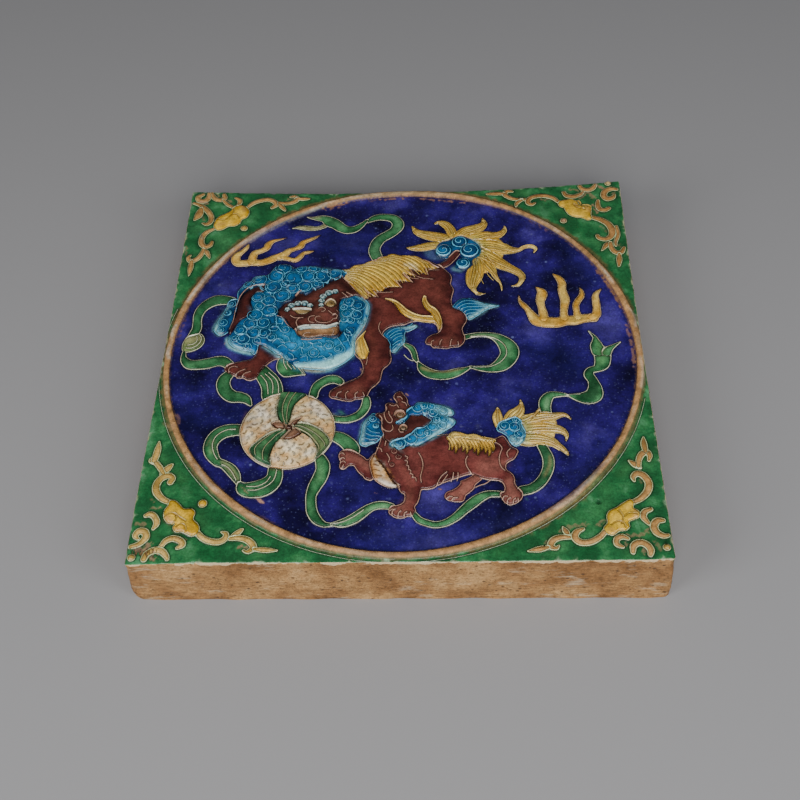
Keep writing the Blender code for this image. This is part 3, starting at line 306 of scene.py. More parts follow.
folds = (
    ((-89.6, 11), (-88.4, 9), (-88.5, 6.5), (-89.8, 4.3), (-92, 2.9), (-94.5, 2.9)),
    ((-90.5, 9.8), (-90, 7), (-91.5, 5), (-94, 4.6)),
    ((-60, -13), (-57.5, -16.5), (-56.5, -20), (-56, -23.5)),
    ((-58.2, -12.3), (-55.2, -16), (-54.2, -20), (-54.2, -23)),
    ((-56.8, -11.5), (-53.2, -15.5), (-52, -19), (-51.6, -22.8)),
    ((-51, -4), (-50.5, -7), (-49, -10)), ((-49.5, -3), (-49, -7), (-47, -10)),
    ((-47.5, -2), (-47.5, -6), (-45.5, -10)), ((-46, 1), (-46.5, -3), (-45, -8), (-42, -12)),
    ((1, -2), (3, -4.5), (5, -5.5)),
    ((30, 7.8), (36, 8), (41, 6), (44.5, 2), (45, -3), (42, -7.5), (37, -9.8), (31, -9.5)),
    ((-67.7, -41.9), (-70.7, -42), (-73.6, -43.4), (-75.6, -45.6), (-76.5, -48.6), (-76.2, -51.5),
     (-75.1, -54.5), (-73.6, -57)),
    ((-71.5, -59.5), (-69.5, -60.5), (-67.2, -63), (-65, -67)),
    ((-59.8, -72), (-56.9, -72.1), (-53.9, -71), (-51.4, -69.3), (-49.7, -66.8), (-49, -62.4)),
    ((-60.5, -70.2), (-56.5, -70.3), (-53, -68.5), (-51.3, -65.5)),
    ((-25.3, -87.8), (-22.3, -87.3), (-19.4, -86.1), (-16.4, -84.1), (-13.5, -81.6)),
    ((68.3, -24.4), (70.2, -26.2)), ((69.7, -25.2), (74.7, -25.2)), ((86.2, -1), (87, 0.7)),
    ((57.4, -32.4), (58.1, -35.3), (58.6, -37.8)),
)
for fold in folds:
    thread(fold, SILK_THREAD, width=0.17)
# The copper green pools dark in the lower lobes and runs thin and pale on the upper bends
for patch, code, strength in (
        (((74, -27, 1.5), (78.5, -27, 2.2), (80.8, -22, 2), (80, -16, 1.2)), "#08381f", 0.75),
        (((84.5, -8, 1.5), (86, -3, 2), (84.5, 4, 1)), "#5fa05f", 0.55),
        (((-90, 27, 1), (-91.5, 20, 1.2), (-91.5, 14, 1)), "#17603a", 0.5),
        (((-58, -14, 2), (-55, -19, 2.5), (-54.5, -23, 2)), "#0d4a2a", 0.45),
        (((9, -10, 0.6), (13, -11.3, 0.7), (20, -11.7, 0.7), (26, -10.3, 0.4)), "#b9a06a", 0.6),
        (((40, 8.5, 0.6), (45, 6.4, 0.7), (48.6, 2, 0.8), (49.3, -3, 0.7)), "#1d5c34", 0.5),
        (((30, 8.4, 0.5), (36, 8.6, 0.8), (41, 7.4, 1)), "#8fb07c", 0.5),
        (((-71, -58, 1.1), (-67.5, -62, 1.2), (-64.5, -66.5, 0.8)), "#a3a672", 0.6),
        (((-76.5, -48, 1), (-76.4, -53, 1)), "#8aa06c", 0.5),
        (((-58, -72.5, 1), (-52.5, -70.5, 1.5), (-49.5, -66, 1.2)), "#123f28", 0.5),
        (((-41, 84.8, 0.6), (-45, 85.2, 0.4)), "#b3ad7c", 0.6),
        (((-77, 31, 1.5), (-84, 31.5, 2), (-90, 27, 1.6)), "#0f4828", 0.45),
        (((-94, -4, 1), (-86, -6, 1.5), (-76, -5, 1.5)), "#0f4828", 0.35),
        (((-74.5, -13, 1.6), (-75.5, -18, 2), (-71, -24, 1.6), (-64, -27, 1)), "#0f4828", 0.5),
        (((-67, -42, 1.5), (-75, -44.5, 2), (-77, -50, 1.5)), "#14502e", 0.4),
        (((-33, -58, 1.5), (-31.5, -66, 1.5)), "#6fae70", 0.4),
        (((-34.5, -76, 1), (-32, -85, 1)), "#0f4828", 0.4),
        (((-22, -87, 0.8), (-12, -81.5, 0.9), (-5, -79.5, 0.7)), "#7fb47c", 0.5),
        (((58, -66, 1.2), (59.4, -58, 1.2), (57.6, -52, 1)), "#0f4828", 0.55),
        (((60, -34, 1), (61, -28, 1.2)), "#86b884", 0.5),
        (((57.5, -66, 0.4), (59.8, -61, 0.5), (60, -57, 0.4)), "#b49a68", 0.5)):
    wash(patch, code, strength, soft=1.0)

# The two fires. Tongues of flame in amber-yellow glaze, each one tapered stroke of the tool,
# with the clay's own tan showing along their edges.
AMBER = ("#a87a30", "#e0b450", "#efcf80")
AMBER_THREAD = "#e0c08e"
flames = (
    ((-73.3, 67.5, 0.15), (-74, 65, 0.9), (-75.6, 62.7, 1.1), (-77.8, 60.3, 1.7), (-78.4, 57.7, 2),
     (-77, 55.2, 2), (-73.5, 55.2, 1.9), (-70.5, 55.6, 2), (-66.5, 55.2, 1.8), (-62.5, 56.8, 2),
     (-59.5, 58.7, 1.9), (-56.5, 59.6, 2.2)),
    ((-70.5, 56, 2), (-70.4, 59, 1.8), (-69.5, 61.7, 1.6), (-66.8, 63.1, 1.4), (-64.5, 65, 1.5),
     (-63.8, 67.3, 1.5), (-62, 69.3, 1), (-59.5, 70.3, 0.5), (-55.8, 71.4, 0.1)),
    ((-58, 58.5, 1.6), (-55.5, 60.8, 1.8), (-53.7, 63, 1.4), (-51, 64.2, 1.1), (-48.7, 65.7, 1.5),
     (-47.5, 68.3, 1.3), (-45, 69.9, 1), (-42.5, 71.2, 0.7), (-39.9, 73.1, 0.1)),
    ((-56, 58.6, 1.4), (-53, 57.5, 1.1), (-50.3, 57, 1.3), (-48.3, 59, 1.2), (-46.8, 61.2, 0.9),
     (-44.5, 61.9, 0.8), (-42.4, 62.6, 0.2)),
    ((52, 32, 0.1), (52.4, 28.7, 0.6), (54, 26, 1.2), (55.6, 23.5, 1.2), (57, 20.5, 1.8),
     (58.5, 17.5, 2.5), (60, 16.3, 2.8), (64, 15.8, 3), (68, 15.6, 2.8), (72, 16.6, 2.5),
     (76, 16.8, 2.6), (80, 17.8, 2.3), (84, 18, 2.2)),
    ((62.3, 18, 2), (62.2, 21.5, 1.8), (61.7, 25, 1.5), (61.4, 28.5, 1.8), (62.2, 31.5, 2.2),
     (62.4, 34, 1.9), (60.2, 37, 0.2)),
    ((71.3, 18, 1.8), (71.4, 22, 1.5), (71.9, 25.5, 1.7), (72.4, 29, 2), (71.9, 32.3, 1.9),
     (71.5, 36, 1.7), (71.8, 39, 1.7), (70.6, 42.3, 1.4), (68.2, 45, 0.2)),
    ((77.3, 18.5, 1.8), (77, 22, 1.3), (77, 25.5, 1.3), (78.1, 28.3, 1.3), (79.8, 31, 1.2),
     (80.2, 33.5, 0.8), (79.5, 36, 0.15)),
    ((83.5, 18.3, 2), (85.5, 20, 1.9), (86, 23.5, 1.6), (86, 28, 1.5), (86.1, 31, 1.3),
     (87.2, 33.3, 0.8), (88.9, 35.2, 0.15)),
)
for flame in flames:
    band(flame, AMBER, AMBER_THREAD, 0.8, wide=0.16)
# A second pass without edges lets the tongues run into one another at their feet
for flame in flames:
    line = eased([(x, y, max(half - 0.55, 0.05)) for x, y, half in flame])
    place, field = beyond(line, 1.0)
    cover = np.clip(0.5 - field / 0.3, 0, 1)
    relief[place] = mix(relief[place], np.minimum(relief[place], 1.05), cover)
    flow = np.clip(0.5 + 0.9*tone[place], 0, 1)[..., None]
    tint[place] = mix(tint[place], mix(linear("#d59c34"), linear("#f2cc68"), flow), cover[..., None])
    thread_gap[place] = mix(thread_gap[place], 3.0, cover)

# The big lion's tail. Tufts of long hair in amber glaze that fly out from four turquoise curls,
# each tuft combed with the tool into two to four strands.


def disc(x, y, radius, reach):
    """How far the net's points lie outside a round spot, up to a reach."""
    return beyond([(x, y, radius), (x + 0.01, y, radius)], reach)


def curl(x, y, radius, code, start=0.0, turns=2.0, width=0.14, rise=0.4, dome=0.6):
    """A snail of hair: a button ringed by a thread that winds in to its middle."""
    place, field = disc(x, y, radius, 0.8)
    depth = np.clip(-field / radius, 0, 1)
    relief[place] += dome * depth**0.6
    tint[place] *= mix(1.0, 0.55 + 0.75*depth, np.clip(0.5 - (field - 0.25) / 0.4, 0, 1))[..., None]
    run = []
    for i in range(25):
        turn = i / 24 * turns
        reach = radius * (1 - 0.88*max(turn - 0.85, 0) / (turns - 0.85))
        angle = start + turn * math.tau
        run.append((x + reach*math.cos(angle), y + reach*math.sin(angle), 0.0))
    lay_thread(*beyond(run, 1.2), code, width, rise)


TURQUOISE = ("#04305a", "#085291", "#1f7cb4")
TURQUOISE_THREAD = "#6cc6ea"
MINT = "#aaf2f4"
HAIR = ("#cb962c", "#f4c340", "#fbd768")
HAIR_LINE = "#f8d87c"
AUBERGINE = ("#2c0f12", "#5a2825", "#763c34")
AUBERGINE_THREAD = "#c99f8a"
without_lion = relief.copy()
wash(((12, 62.5, 3), (13.5, 59, 3.2), (18, 58, 2.5)), MINT, 0.3, soft=1.8)
wash(((23.5, 50, 1.6), (26, 49.2, 1.6)), MINT, 0.6, soft=1.6)
tail_tufts = (
    ((1.5, 64, .15), (4, 63.7, 1.2), (8, 64, 2.2), (12, 65, 2.4), (16, 65.5, 2)),
    ((3.8, 78.6, .15), (6, 74.8, 1.6), (9.5, 72.8, 2.4), (14, 71.3, 2.9), (18, 70.3, 2.9), (22, 68, 3)),
    ((14.8, 80.2, .4), (16.5, 81, 1), (19, 79.8, 1.9), (21, 77.5, 2.1), (22.3, 74.7, 2.3), (23, 71.5, 2.4)),
    ((37.3, 82.8, .15), (37.8, 79.3, 1.4), (36.2, 77, 2.3), (33, 75.3, 3), (29, 73.8, 3.2), (26, 71, 2.8)),
    ((47.5, 76.8, .15), (47.2, 74.2, 1), (45.3, 71.8, 1.8), (42, 70.7, 2.3), (38, 71, 2.8), (33, 69, 3.5)),
    ((60.3, 58.9, .15), (61.2, 61.3, .7), (59.3, 62.9, .9), (56.5, 62.7, .8), (53.5, 61, 1), (50, 60.8, 2),
     (46, 62, 3.4), (41, 63.8, 4), (34, 64.5, 4)),
    ((49.5, 38, .2), (52.2, 39, .7), (53.9, 41.8, 1.1), (53.9, 44.5, 1.5), (51.7, 47.2, 1.9),
     (48, 49.8, 2.3), (44, 52.6, 3.2), (40, 55.8, 3.8), (34, 60, 4)),
    ((44.6, 35.6, .15), (44.3, 39, .3), (43.2, 42.2, .5), (41.8, 45.5, 1), (40.5, 48.5, 2), (38.5, 52, 2.6),
     (35, 58, 3)),
    ((35.8, 33.7, .2), (33, 34.6, .6), (31.7, 37.5, 1.4), (31.6, 41, 2.8), (32.5, 45, 3.8), (33.2, 49, 3.7),
     (33, 53, 3.2), (32, 58, 3.2)),
)
figure(((12, 65), (17, 69), (22, 73), (30, 74), (38, 73), (45, 68.5), (47, 63), (45.5, 56), (41, 48.5),
        (35, 46.5), (31, 50), (29, 57), (20, 64)), HAIR, None, 0.6, dome=0.2)
for tuft in tail_tufts:
    band(tuft, HAIR, HAIR_LINE, 0.75, wide=0.12)


def comb(tuft, strands, code, shares=(0.12, 0.97), width=0.13, rise=0.3):
    """Combs a tuft into strands that follow it from its tip to its root."""
    line = eased(tuft, steps=4)
    first, last = int(len(line)*shares[0]), int(len(line)*shares[1])
    for k in range(strands):
        side = (k + 1) / (strands + 1) * 2 - 1
        run = []
        for i in range(max(first, 1), min(last, len(line) - 1)):
            x0, y0, _ = line[i - 1]
            x1, y1, _ = line[i + 1]
            x, y, half = line[i]
            length = math.hypot(x1 - x0, y1 - y0)
            run.append((x - (y1 - y0)/length*half*side, y + (x1 - x0)/length*half*side, 0.0))
        if len(run) > 2:
            lay_thread(*beyond(run, 1.0), code, width, rise)


for tuft, strands in zip(tail_tufts, (3, 4, 3, 4, 3, 4, 4, 2, 4)):
    comb(tuft, strands, HAIR_LINE)
    comb(tuft, strands + 1, "#b07d26", shares=(0.3, 0.95), width=0.1, rise=-0.25)
for line in (((60.3, 58.9), (61.8, 61.4), (59.6, 63.8), (56, 63.4), (53.6, 61.6)),
             ((44.4, 35.6), (44.6, 38.5), (42.3, 42), (40.4, 45.2), (39.8, 48)),
             ((49, 38), (52.5, 38), (55, 41.5)), ((31.8, 35.6), (33, 33.4), (35, 33), (37.2, 33.9)),
             ((47.4, 76.8), (48.3, 73.5), (46, 70)), ((33.5, 48), (35, 44), (36.5, 40)),
             ((38, 47), (39.5, 44), (41, 42))):
    thread(line, HAIR_LINE, width=0.13)
wash(((33.5, 70, 1), (37, 67, 1.4), (38, 61, 1.4), (35.5, 55, 1.2), (33.5, 50.5, 0.8)), "#7f9442", 0.5, 2.4)
wash(((15, 66, 0.8), (19, 69, 0.8), (23, 71.5, 0.6)), "#8a9a58", 0.45, 1.6)
figure(((15.4, 64.5), (17.5, 67.6), (20.8, 68.6), (23, 70), (27, 71.4), (30.6, 69.6), (34.3, 66.2), (36, 62),
        (35, 57.6), (32, 55), (31.8, 51.5), (28.4, 48.8), (24.3, 49.8), (24, 53), (26.6, 57), (24.5, 60),
        (21.4, 57.2), (17.2, 57.4), (14.6, 60)), TURQUOISE, None, 0.75, dome=0.2)
wash(((33, 68, 0.4), (36.2, 63, 0.5), (34.5, 57, 0.5), (33, 52.5, 0.4)), "#4fb0b8", 0.6, 1.2)
band(((15.5, 50.2, 1.7), (17, 51.5, 1.6), (20, 53.5, 1.7), (22.5, 56.5, 1.6), (24.8, 59.8, 1.4)),
     AUBERGINE, AUBERGINE_THREAD, 0.8)
for x, y, radius in ((18.5, 61.5, 4.0), (26, 67.3, 3.8), (30.7, 61.2, 4.6), (27.5, 52.7, 3.6)):
    place, field = disc(x, y, radius, 2.0)
    flood(place, field, TURQUOISE, 0.9, 0.5, radius)
for x, y, radius, start in ((18.5, 61.5, 3.4, 2.6), (26, 67.0, 3.4, 0.4), (30.5, 61.2, 4.1, 1.0),
                            (27.5, 52.7, 3.0, 4.0)):
    curl(x, y, radius, TURQUOISE_THREAD, start=start, width=0.22)

# The big lion's body. Aubergine glaze over the modelled back, legs and rump, thin and brownish
# on the crowns and almost black where it pools by the threads.
figure(((-26, 46), (-22, 38), (-17, 31), (-15, 26), (-15.5, 20), (-17, 14), (-19, 10), (-20.5, 6),
        (-20.5, 0), (-19.5, -2.5), (-17.5, -5), (-16.5, -8), (-16.5, -11), (-17.5, -13.5), (-20, -15.5),
        (-23, -17), (-26, -19), (-28.5, -20.5), (-30, -22.5), (-30, -24.5), (-29, -25.5), (-27, -26),
        (-24, -27), (-21, -27.3), (-19, -26.3), (-16.5, -26), (-14.5, -25), (-13.5, -22.5),
        (-12.5, -20.5), (-10.5, -18.5), (-9, -16), (-8.5, -13), (-7.8, -10), (-6, -8), (-4.8, -6),
        (-4.5, -3.5), (-5, -1), (-5, 4), (-6, 6.5), (-8, 8.5), (-8.5, 11), (-6, 14), (-2, 15.3),
        (1, 15.6), (3.5, 17), (7, 17.6), (10, 17), (13, 16.5), (14.5, 15.8), (15.3, 14.5), (15.8, 12.5),
        (16, 10.5), (13.5, 9.5), (11.5, 8), (10.5, 6), (10.5, 4.5), (11.5, 3.7), (12.5, 3.5), (13.5, 2),
        (15.5, 1.7), (17, 1.5), (19.5, 1.3), (21.5, 2), (23.5, 2.2), (25, 2.5), (26.5, 4), (27.3, 6),
        (27.3, 8), (26.7, 10), (26.3, 12.5), (27, 14.5), (28.2, 17), (28.3, 19.5), (27.5, 21.5),
        (26, 23.5), (23.5, 24.8), (22.2, 26.5), (21.7, 29), (21.8, 31), (22.3, 33.5), (22.8, 36),
        (22.3, 38), (21.5, 40), (21.7, 41.5), (22, 44), (21.5, 46), (20, 48), (18.5, 50), (15, 53),
        (8, 56), (-10, 56), (-24, 50)), AUBERGINE, AUBERGINE_THREAD, 0.9, dome=0.75, width=7)
figure(((-62.5, 5), (-57.5, 2), (-54.5, -0.5), (-52, -2), (-52.5, -3.3), (-54, -3.5), (-56, -4.5),
        (-58, -6.5), (-59.5, -9), (-61, -12), (-62, -14), (-64, -15.2), (-66, -15), (-67.5, -14),
        (-70, -14), (-71, -13), (-74, -11.5), (-75.5, -10), (-76, -9), (-75.5, -7.5), (-73.5, -6),
        (-71, -5), (-68, -4.2), (-65.5, -3.5), (-64, -2), (-63, 0.5)),
       AUBERGINE, AUBERGINE_THREAD, 0.9, dome=0.6, width=5)
# The glaze is painted near black in the hollows of the modelling, as painted shade over glaze that lies
# thick there, and paler on the legs, haunch and paws
for patch, code, strength, soft in (
        (((-14, 20, 2), (-13, 8, 1.5), (-12.5, -4, 1.5)), "#7a4033", 0.45, 2.5),
        (((-17, 30, 2), (-13, 24, 3), (-13, 17, 2)), "#2e1013", 0.5, 3),
        (((6, 34, 4), (14, 38, 5), (15, 28, 3)), "#7b4136", 0.4, 4),
        (((20, 22, 3), (23, 14, 2.5)), "#7b4136", 0.4, 3),
        (((-4, 22, 3), (3, 27, 2)), "#5d2620", 0.5, 3),
        (((-26, -22.5, 1.5), (-18, -22, 2.5)), "#8a5446", 0.4, 2),
        (((13, 4, 1.2), (22, 5, 2.2)), "#8a5446", 0.4, 2),
        (((-72, -9.5, 1), (-65, -11, 2)), "#84483b", 0.4, 2),
        (((-61, 2.5, 1), (-58, -2, 1.5)), "#2a0f12", 0.6, 2),
        (((-75, -8, 2), (-66, -9, 3), (-60, -5, 2)), "#3a1613", 0.35, 3)):
    wash(patch, code, strength, soft)
for line in (
        ((-27, -25), (-26.5, -23.5), (-25, -22.7)), ((-23, -26), (-23.2, -24), (-22, -22.7)),
        ((-19, -25.7), (-19.2, -24), (-18, -23)), ((-15.3, -24.8), (-16, -23.2)),
        ((12.7, 3.5), (13, 5), (14, 5.5)), ((16.5, 3), (16.7, 4.5), (17.5, 5.7)),
        ((21, 2.5), (21.2, 4.5), (21.8, 5.8)), ((24.6, 3), (24.4, 4.6)),
        ((-74, -11), (-74, -9), (-72, -8), (-70.5, -8.5)), ((-71, -12.5), (-69.5, -11), (-67, -9.8)),
        ((-68, -13.5), (-67, -12), (-64.5, -11)),
        ((-9.5, 16.5), (-10, 15.5), (-10.3, 13), (-9.5, 10.5), (-8, 8.5), (-6, 6.5)),
        ((10.5, 31.5), (10.7, 28), (12, 26), (14, 24.5), (15.5, 22.5), (16.3, 20), (16.8, 17.5),
         (17.5, 15.5), (17.3, 13), (16.5, 11)),
        ((17.5, 14.5), (17.3, 12), (16, 10.5)),
        ((-15, -2), (-14.7, -5), (-15.2, -8))):
    thread(line, AUBERGINE_THREAD)

# Tufts on the lion's legs and its belly fringe. Feathered hair, turquoise behind the elbow and
# the hock, amber along the belly and before the leg.
figure(((-8, 9), (-7, 11.5), (-5, 13.5), (-2, 14.3), (2.5, 14.5), (5.5, 15.6), (6.5, 14.5), (5, 13),
        (2.5, 11.5), (1.5, 11.5), (1, 9), (1.3, 7), (0.8, 4.5), (-1, 2.5), (-2.5, 0), (-4, -0.5), (-5, 1.5),
        (-5, 4), (-6, 6.5)), TURQUOISE, TURQUOISE_THREAD, 1.0, dome=0.4)
wash(((-1, 13.5, 0.6), (3, 13.8, 1), (6, 14.6, 0.8)), MINT, 0.8, 1.2)
wash(((-3, -0.3, 0.8), (0.5, 4, 0.5), (1.2, 8, 0.5)), MINT, 0.7, 1.2)
figure(((22.5, 26), (24, 28.5), (26, 30.5), (29, 31), (32, 30.3), (36, 28), (40, 27), (43, 26, 1), (40, 25),
        (37, 23.5), (34, 21), (31, 18.5), (29.5, 18), (28.5, 19.5), (28, 21), (26, 23.5), (23.5, 24.8)),
       TURQUOISE, TURQUOISE_THREAD, 1.0, dome=0.4)
wash(((34, 27.8, 1), (38, 26.3, 1.3), (42, 26, 0.8)), MINT, 0.85, 1.6)
wash(((30, 18.8, 0.8), (34, 21.5, 1), (37, 23.8, 0.8)), MINT, 0.85, 1.4)
for feather in (
        ((-6.5, 9.5), (-4, 12), (-1, 13)), ((-5.5, 8), (-3, 10.5), (0, 11.8)),
        ((-5, 7), (-2.5, 9), (0, 9.8)), ((-4, 5.5), (-2, 7.5), (0.5, 8.5)), ((-4, 3), (-2, 5), (0, 6)),
        ((-4, 1), (-2.5, 3), (-0.8, 3.8)), ((2.5, 14.5), (4.5, 16.2)),
        ((24, 26), (27, 28.5), (31, 28.6), (36, 27)), ((25, 25), (28, 26.8), (32, 26.8), (38, 26)),
        ((26, 24), (29, 25), (33, 25), (38, 25)), ((27.5, 22.5), (30, 23.3), (33, 23.3), (36, 23.8)),
        ((28.5, 21), (31, 21.4), (34, 21.6)), ((29, 19.6), (31.5, 19.8))):
    thread(feather, TURQUOISE_THREAD, width=0.15)
figure(((-20, 5.5), (-19, 7.5), (-17.5, 9.5), (-16, 11.5, 1), (-17, 8), (-16, 5), (-15, 2), (-14.5, 0),
        (-15, -4), (-16, -4.5), (-17.5, -4), (-19.5, -1), (-20.3, 2)), HAIR, HAIR_LINE, 1.1, dome=0.3)
for line in (((-17, 8), (-16.5, 6), (-15, 1), (-14, -1)), ((-18.8, 6), (-18, 2), (-17, -2.6)),
             ((-17.8, 7), (-17, 3), (-16, -2.5))):
    thread(line, HAIR_LINE, width=0.13, rise=0.3)
for fringe in (
        ((-7.5, 30.5, 0.3), (-4, 29, 0.7), (-1.5, 26, 1.2), (1, 22.4, 1.6), (4.5, 19.9, 1.6), (8, 18.8, 1.4),
         (12, 18.2, 1.6), (14.5, 17.6, 1.3)),
        ((9.8, 31.5, 0.4), (9.9, 28.5, 0.9), (11.4, 25, 1.3), (13.8, 22.6, 1.5), (15.2, 19.5, 1.5),
         (16.3, 16, 1), (16.6, 12.8, 0.5))):
    band(fringe, HAIR, HAIR_LINE, 1.15, dome=0.25, wide=0.16)
    comb(fringe, 2, HAIR_LINE)

# The hair on the lion's back. Amber glaze over long locks that fall from the spine, combed
# into S-shaped strands that end in loose points.
figure(((-28, 50), (-25, 50.5), (-23, 52.5), (-20.5, 53.2), (-18.5, 53.5), (-16.5, 55), (-14.5, 55.7),
        (-12.5, 56), (-11.5, 57), (-9.5, 58.2), (-8, 58.7), (-6.5, 59.8), (-4.5, 60), (-2, 59), (1, 58.7),
        (4, 58.7), (6.5, 58), (9, 56), (11.5, 54.5), (13.5, 52), (16.5, 50, 1), (14, 49), (11, 49.7),
        (10, 50.2), (10.5, 48), (11.5, 45, 1), (9, 46.3), (6, 48), (3, 49.5, 1), (5, 44.5, 1), (2, 46),
        (0, 46.5, 1), (4.5, 40.5, 1), (1, 41.5), (-3.5, 42, 1), (-0.5, 37.5, 1), (-4, 38), (-8, 37.3),
        (-9, 35.5), (-12, 35.3), (-13.5, 36.5, 1), (-11, 31.5, 1), (-14, 33.5), (-16, 36, 1),
        (-15.5, 31, 1), (-19, 33), (-21.5, 36), (-24, 40), (-26.5, 43), (-28, 45), (-27, 47)),
       HAIR, AUBERGINE_THREAD, 1.3, dome=0.5, width=5)
wash(((-27.5, 48, 1.5), (-25.5, 47.5, 1)), "#7f9a6a", 0.6, 2)
guides = (((-26.8, 43.4), (-24, 40.5), (-20.5, 36), (-16.6, 31.6)),
          ((-26.5, 44.6), (-21.5, 42), (-17.6, 37.5), (-13, 32)),
          ((-27, 46.2), (-20.5, 45.8), (-14.5, 41.5), (-10.5, 35.8)),
          ((-25.8, 49), (-18.5, 49), (-11, 44.5), (-6, 38.2)),
          ((-20, 52.2), (-12, 51.6), (-5, 46.5), (-0.8, 39.8)),
          ((-14.5, 54.6), (-7.5, 54), (-1, 49.5), (3.2, 42.2)),
          ((-9, 57), (-1.5, 55.2), (4.5, 50.5), (8.6, 46)), ((-3, 59), (4, 56.8), (9, 52.5), (11.2, 46.8)),
          ((3, 58), (8, 55.8), (12, 52.3), (15.4, 50)))
for k in range(41):
    at = k / 40 * 7.999
    near, after = guides[int(at)], guides[int(at) + 1]
    strand = [(mix(a[0], b[0], at % 1), mix(a[1], b[1], at % 1)) for a, b in zip(near, after)]
    thread(strand, *((HAIR_LINE, 0.13, 0.4) if k % 2 else ("#b07d26", 0.1, -0.3)))
for line in (((-24, 42), (-21, 38.5), (-18.5, 35)), ((-18, 38), (-15.6, 34.5), (-12.2, 31.8)),
             ((-0.3, 49.4), (3.4, 46.6), (8, 43.4), (13.6, 42.2)), ((1.4, 44.2), (4, 43.2), (7, 42.6)),
             ((-12, 34.4), (-8, 34.4), (-4.6, 34.6)), ((11.8, 48.7), (14, 48.2), (16.4, 48.2))):
    thread(line, AUBERGINE_THREAD, width=0.15)
wash(((1, 52, 0.6), (4.5, 51.5, 0.9), (6, 49, 0.6)), "#f2ecd0", 0.6, 1.5)

# The big lion's head. Turned to the viewer under a cap of snail curls in turquoise glaze, with
# an aubergine ear and face, ochre eyes and a pale open mouth. White slip halos its mane.
figure(((-75, 32), (-78, 31), (-79, 28), (-80, 25), (-81.5, 21), (-83, 17), (-83.5, 14), (-82, 11.5),
        (-80, 10.5), (-77.5, 12), (-76.5, 14), (-76, 17), (-75, 21), (-74.8, 25), (-74.5, 30)),
       TURQUOISE, TURQUOISE_THREAD, 1.1, dome=0.5)
wash(((-78.5, 28, 0.4), (-81, 22, 0.7), (-83, 15, 1.2), (-81, 11.3, 1)), MINT, 0.95, 1.5)
figure(((-76, 11), (-76.5, 9), (-76, 6.5), (-74.5, 4.5), (-72, 2.8), (-69, 1.8), (-66, 1.2), (-65, 0),
        (-64, -0.5), (-63, 2), (-62.7, 4.5), (-60, 4), (-57.5, 2), (-54.5, -0.5), (-52, -1.7), (-50.5, -4),
        (-48, -6.5), (-45, -9), (-43, -9), (-39, -9.5), (-33, -10), (-29, -9), (-25, -6.5), (-22, -3.5),
        (-20.5, -1), (-20.5, 3), (-20.5, 7), (-20, 9), (-19, 10.5), (-18, 13), (-16.5, 16), (-15.5, 20),
        (-15, 24), (-15, 27), (-16, 29.5), (-17.5, 31), (-20, 34), (-22.5, 37.5), (-25, 41), (-27, 43.8),
        (-26, 47), (-27, 48), (-29, 50), (-34, 50.3), (-37, 51), (-40, 52), (-44, 52.5), (-48, 52),
        (-50, 51), (-51, 52), (-53, 53.3), (-56, 53.6), (-58.5, 53), (-60, 51), (-61.5, 48), (-63, 47),
        (-66, 46.5), (-68, 45), (-70, 43), (-72, 41), (-75, 37), (-74.5, 30), (-75, 20)),
       TURQUOISE, TURQUOISE_THREAD, 1.35, dome=0.7, width=6)
for halo, strength, soft in (
        (((-77, 9, 0.6), (-75.5, 4.5, 1), (-70, 1.5, 0.9), (-65.3, 0, 0.7)), 1.0, 1.2),
        (((-60, 3.4, 0.5), (-55, -0.3, 0.8), (-50, -4.5, 0.9)), 0.7, 1.3),
        (((-45, -8.3, 1), (-41, -8.5, 1.7), (-36, -8.8, 2.2), (-31, -7.8, 2.6), (-26.5, -4.6, 2.2),
          (-22.5, -1.8, 1.6)), 1.0, 1.4),
        (((-21, -1, 0.8), (-21, 4, 0.9), (-20.5, 8, 0.7), (-18, 13, 0.7), (-16, 19, 0.6)), 0.95, 1.0),
        (((-15.6, 22, 0.6), (-15.6, 27, 0.6), (-17.6, 30.4, 0.6), (-21, 33, 0.5)), 0.85, 0.9),
        (((-47, 52, 0.4), (-40, 51.6, 0.6), (-33, 50, 0.8), (-28, 48.5, 0.7)), 0.6, 1.3),
        (((-73.5, 38.5, 0.4), (-69, 43.6, 0.6), (-64, 46, 0.5)), 0.4, 1.2)):
    wash(halo, "#2bb0ea", strength*0.75, soft*1.9)
    wash(halo, MINT, strength, soft)
wash(((-42, -9.4, 0.8), (-38, -10.1, 1), (-33.5, -10.2, 0.7)), "#a98a5c", 0.75, 0.9)
for shade in (((-57, 47, 2), (-48, 46, 3), (-38, 46, 2)), ((-66, 27, 3), (-63, 18, 4), (-62, 11, 3)),
              ((-52, 8, 3), (-46, 2, 3)), ((-24, 26, 2), (-22, 21, 2))):
    wash(shade, "#0c6fa6", 0.5, 3.5)
ear = (
    (-63, 40), (-65, 40), (-69, 38.5), (-72, 35.5), (-74, 31), (-74.5, 26), (-75, 21), (-76, 17),
    (-76.8, 13), (-76.2, 11), (-75, 12), (-74, 15), (-72, 18.5), (-70, 20), (-68, 22), (-67, 25),
    (-67.5, 27), (-68.5, 30), (-68, 33), (-66, 35.5), (-63, 36))
place, field = enclosed(eased([(x, y, 0.0) for x, y in ear], closed=True), 6.0)
flood(place, field, ("#1f0c10", "#3f1b1a", "#5d2c26"), 1.5, 0.5, 3.5)
